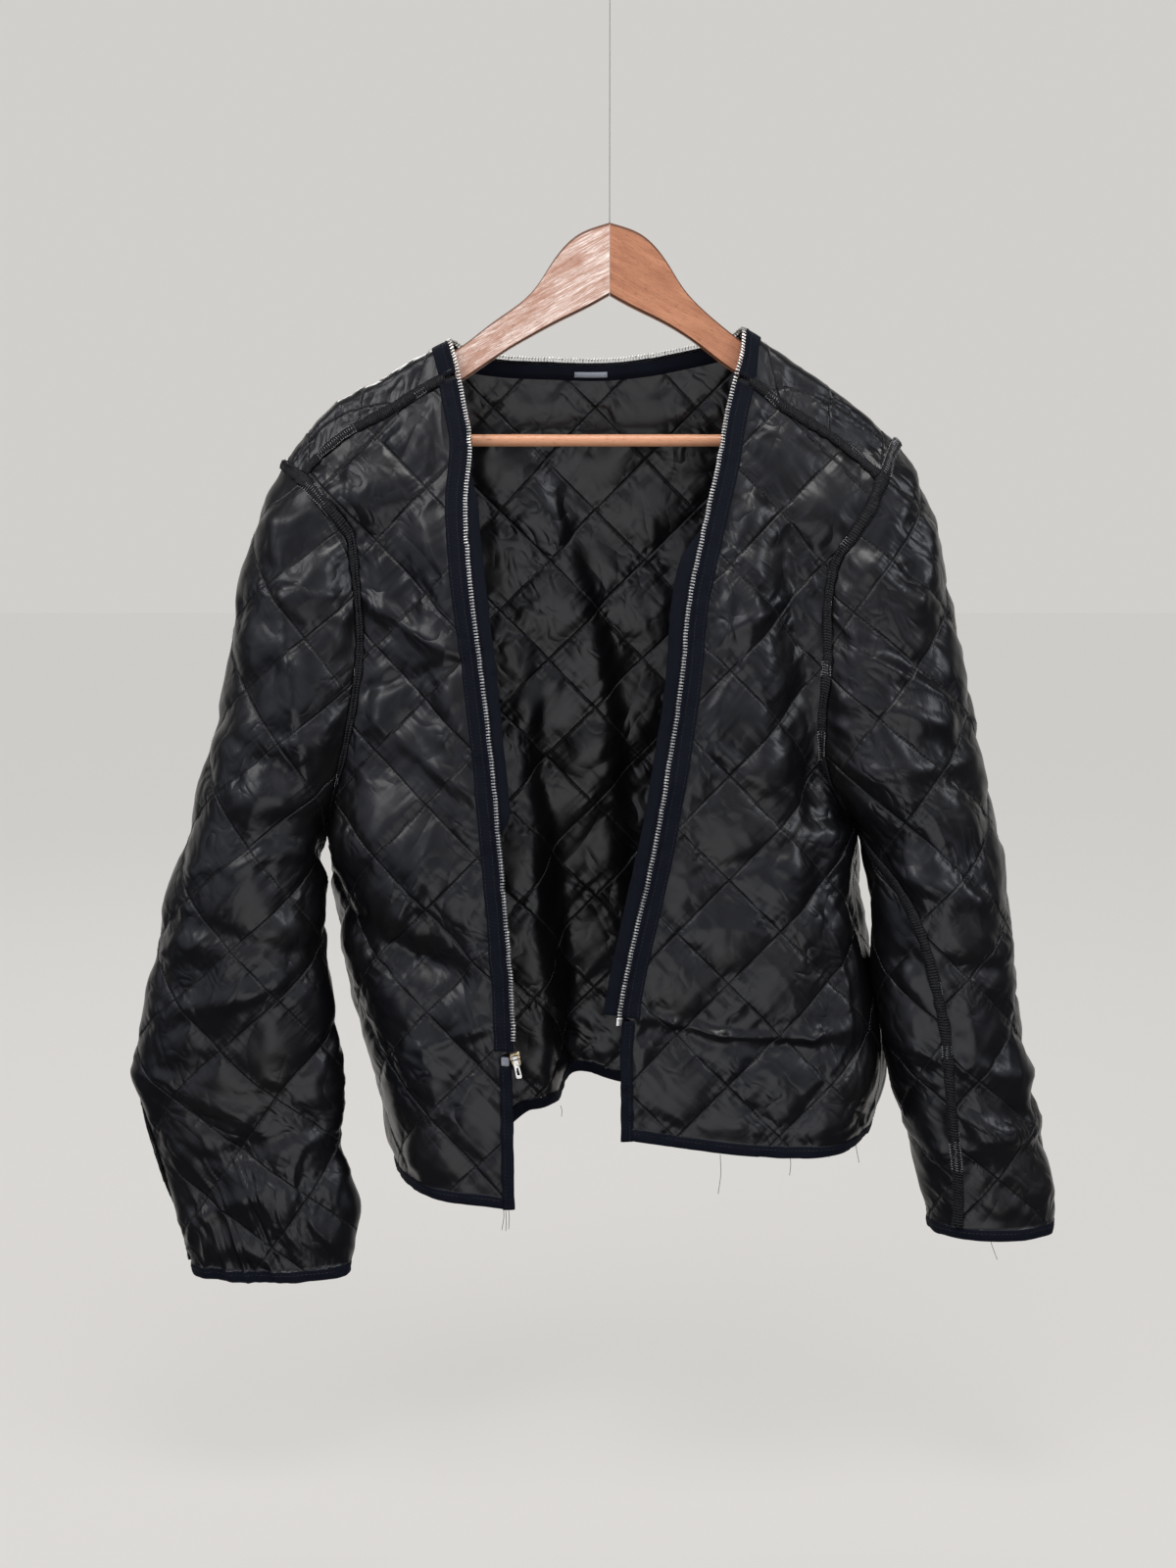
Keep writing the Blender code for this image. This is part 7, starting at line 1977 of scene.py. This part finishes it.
def set_stage():
    """Pale floor and world, soft window light, and the camera where the picture was taken."""
    scene = bpy.context.scene
    floor_paint = finish_of("pale floor", None, Base_Color=(0.16, 0.155, 0.15, 1.0), Roughness=1.0,
                            Specular_IOR_Level=0.0, Emission_Color=(*ROOM_PALE, 1.0),
                            Emission_Strength=0.86)
    size, height = FLOOR
    mesh = bpy.data.meshes.new("floor")
    mesh.from_pydata([(-size, -size, height), (size, -size, height), (size, size, height),
                      (-size, size, height)], [], [(0, 1, 2, 3)])
    mesh.materials.append(floor_paint)
    floor = bpy.data.objects.new("floor", mesh)
    floor.visible_glossy = False
    scene.collection.objects.link(floor)
    world = scene.world = bpy.data.worlds.new("pale room")
    world.use_nodes = True
    tree = world.node_tree
    across, ahead, above = Wire(tree).node("ShaderNodeTexCoord", out=0).parts()
    window = (across * -0.62 + ahead * -0.65 + above * 0.44).between(0.62, 0.97)
    door = (across * 0.60 + ahead * -0.68 + above * 0.42).between(0.74, 0.98)
    room = door.colours(window.colours(ROOM_DIM, ROOM_WINDOW), ROOM_DOOR)
    room = ahead.between(0.10, 0.62).colours(room, ROOM_PALE)
    tree.links.new(room.socket, tree.nodes["Background"].inputs[0])
    tree.nodes["Background"].inputs[1].default_value = 1.0
    for name, spot, goal, width, power, hue in LIGHTS:
        data = bpy.data.lights.new(name, "AREA")
        data.shape, data.size, data.energy, data.color = "SQUARE", width, power, hue
        lamp = bpy.data.objects.new(name, data)
        back = units(np.array(spot) - np.array(goal))
        lamp.location = spot
        lamp.rotation_euler = (math.acos(back[2]), 0.0, math.atan2(back[0], -back[1]))
        scene.collection.objects.link(lamp)
    data = bpy.data.cameras.new("camera")
    data.lens, data.sensor_width = 50.0, 36.0
    camera = scene.camera = bpy.data.objects.new("camera", data)
    camera.location = (-0.0174, -1.80, -0.419)
    camera.rotation_euler = (math.radians(82.5), 0.0, 0.0)
    scene.collection.objects.link(camera)
    scene.view_settings.view_transform = "Standard"


# ------------ settings, operators, panel
def colour(name, what, value):
    return bpy.props.FloatVectorProperty(name=name, description=what, default=value, size=3,
                                         subtype="COLOR", min=0.0, max=1.0)


def length(name, what, value):
    return bpy.props.FloatProperty(name=name, description=what, default=value, unit="LENGTH")


class LinerColours(bpy.types.PropertyGroup):
    """Colours of the jacket and its hanger."""
    cloth: colour("Cloth", "Black satin of the quilting", (0.0026, 0.0027, 0.0036))
    cloth_worn: colour("Worn cloth", "Where the satin has turned brownish", (0.0050, 0.0045, 0.0047))
    tape: colour("Tape", "Navy tape, ribbon and bindings", (0.0024, 0.0033, 0.0078))
    overlock: colour("Overlock thread", "Faded thread over the cut edges", (0.42, 0.42, 0.43))
    label: colour("Label", "Woven label and tab", (0.22, 0.23, 0.26))
    silver: colour("Silver", "Teeth and pull", (0.60, 0.59, 0.56))
    brass: colour("Brass", "Slider", (0.60, 0.49, 0.32))
    brass_dark: colour("Dark brass", "Worn parts of the slider", (0.24, 0.17, 0.10))
    wood_pale: colour("Pale wood", "Streaks of the pale arm", (0.90, 0.76, 0.68))
    wood_pale_deep: colour("Pale wood, deep", "Grain of the pale arm", (0.42, 0.200, 0.125))
    wood_orange: colour("Orange wood", "Orange arm and bar", (0.62, 0.285, 0.150))
    wood_bar: colour("Bar", "Round bar between the arms", (0.56, 0.26, 0.14))
    wood_orange_deep: colour("Orange wood, deep", "Their grain", (0.34, 0.128, 0.062))
    wood_edge: colour("Wood's edge", "Dark chamfered edges", (0.085, 0.030, 0.012))


class LinerSizes(bpy.types.PropertyGroup):
    """Sizes of the cloth's relief."""
    swell: length("Swell", "Rise of the wadding in the middle of a diamond", 0.0048)
    pucker: length("Pucker", "Height of the ripples beside a quilting line", 0.0010)
    crumple: length("Crumple", "Height of the crumpled cloth", 0.0018)
    stitch: length("Stitch", "Pitch of the quilting's stitches", 0.0032)


class LINER_OT_stage(bpy.types.Operator):
    """Lay the floor and set the light and the camera"""
    bl_idname = "liner.stage"
    bl_label = "Stage"

    def execute(self, context):
        set_stage()
        return {"FINISHED"}


class LINER_OT_body(bpy.types.Operator):
    """Sew the quilted back and fronts"""
    bl_idname = "liner.body"
    bl_label = "Body"

    def execute(self, context):
        sew_panels("front_left", "front_right", "back")
        return {"FINISHED"}


class LINER_OT_sleeves(bpy.types.Operator):
    """Sew the quilted sleeves"""
    bl_idname = "liner.sleeves"
    bl_label = "Sleeves"

    def execute(self, context):
        sew_panels("sleeve_left", "sleeve_right")
        return {"FINISHED"}


class LINER_OT_seams(bpy.types.Operator):
    """Overlock the seam allowances"""
    bl_idname = "liner.seams"
    bl_label = "Seams"

    def execute(self, context):
        sew_allowances()
        return {"FINISHED"}


class LINER_OT_bindings(bpy.types.Operator):
    """Bind the edges, hems and cuffs"""
    bl_idname = "liner.bindings"
    bl_label = "Bindings"

    def execute(self, context):
        bind_edges()
        return {"FINISHED"}


class LINER_OT_zip(bpy.types.Operator):
    """Sew in the zip, its ribbons and its end pieces"""
    bl_idname = "liner.zip"
    bl_label = "Zip"

    def execute(self, context):
        sew_zip()
        low = ZIP_END["left"]
        tab = ribbed_tape("grey tab", tuple(hues().label), 0.0006, 0.00006)
        flat_block("zip_end_tab", "left", (low + 0.0034, low + 0.0104), (-0.0086, -0.0022),
                   (0.0012, -0.0010), tab, "grey_woven")
        low = ZIP_END["right"] - 0.002 + SEAM_GAP
        flat_block("zip_stop_right", "right", (low, low + 0.007), (0.0005, 0.0055),
                   (CHAIN_TOP, CHAIN_TOP - CHAIN_THICK), silver("aluminium stop", 0.45, 0.30),
                   "silver_metal")
        return {"FINISHED"}


class LINER_OT_slider(bpy.types.Operator):
    """Cast the zip's slider and its pull"""
    bl_idname = "liner.slider"
    bl_label = "Slider and pull"

    def execute(self, context):
        make_slider()
        make_pull()
        return {"FINISHED"}


class LINER_OT_label(bpy.types.Operator):
    """Sew on the neck label"""
    bl_idname = "liner.label"
    bl_label = "Label"

    def execute(self, context):
        sew_label()
        return {"FINISHED"}


class LINER_OT_hanger(bpy.types.Operator):
    """Cut the hanger's arms and turn its bar"""
    bl_idname = "liner.hanger"
    bl_label = "Hanger"

    def execute(self, context):
        for side in SIDES:
            make_arm(side)
        make_bar()
        return {"FINISHED"}


class LINER_OT_line(bpy.types.Operator):
    """Tie the clear line that it hangs from"""
    bl_idname = "liner.line"
    bl_label = "Line"

    def execute(self, context):
        hang_line()
        return {"FINISHED"}


class LINER_OT_threads(bpy.types.Operator):
    """Leave the loose ends of thread at the hems"""
    bl_idname = "liner.threads"
    bl_label = "Loose threads"

    def execute(self, context):
        loose_threads()
        return {"FINISHED"}


STEPS = (LINER_OT_stage, LINER_OT_hanger, LINER_OT_line, LINER_OT_body, LINER_OT_sleeves,
         LINER_OT_seams, LINER_OT_bindings, LINER_OT_zip, LINER_OT_slider, LINER_OT_label,
         LINER_OT_threads)


class LINER_PT_panel(bpy.types.Panel):
    """Lists the jacket's pieces, sizes and colours"""
    bl_label = "Liner jacket"
    bl_idname = "LINER_PT_panel"
    bl_space_type = "VIEW_3D"
    bl_region_type = "UI"
    bl_category = "Liner jacket"

    def draw(self, context):
        for group in (context.scene.liner_sizes, context.scene.liner_colours):
            for name in type(group).__annotations__:
                self.layout.prop(group, name)
        for step in STEPS:
            self.layout.operator(step.bl_idname)


CLASSES = (LinerColours, LinerSizes) + STEPS + (LINER_PT_panel,)


def register():
    for each in CLASSES:
        bpy.utils.register_class(each)
    bpy.types.Scene.liner_colours = bpy.props.PointerProperty(type=LinerColours)
    bpy.types.Scene.liner_sizes = bpy.props.PointerProperty(type=LinerSizes)


def unregister():
    del bpy.types.Scene.liner_sizes
    del bpy.types.Scene.liner_colours
    for each in reversed(CLASSES):
        bpy.utils.unregister_class(each)


def main():
    register()
    for step in STEPS:
        group, name = step.bl_idname.split(".")
        getattr(getattr(bpy.ops, group), name)()


if __name__ == "__main__":
    main()
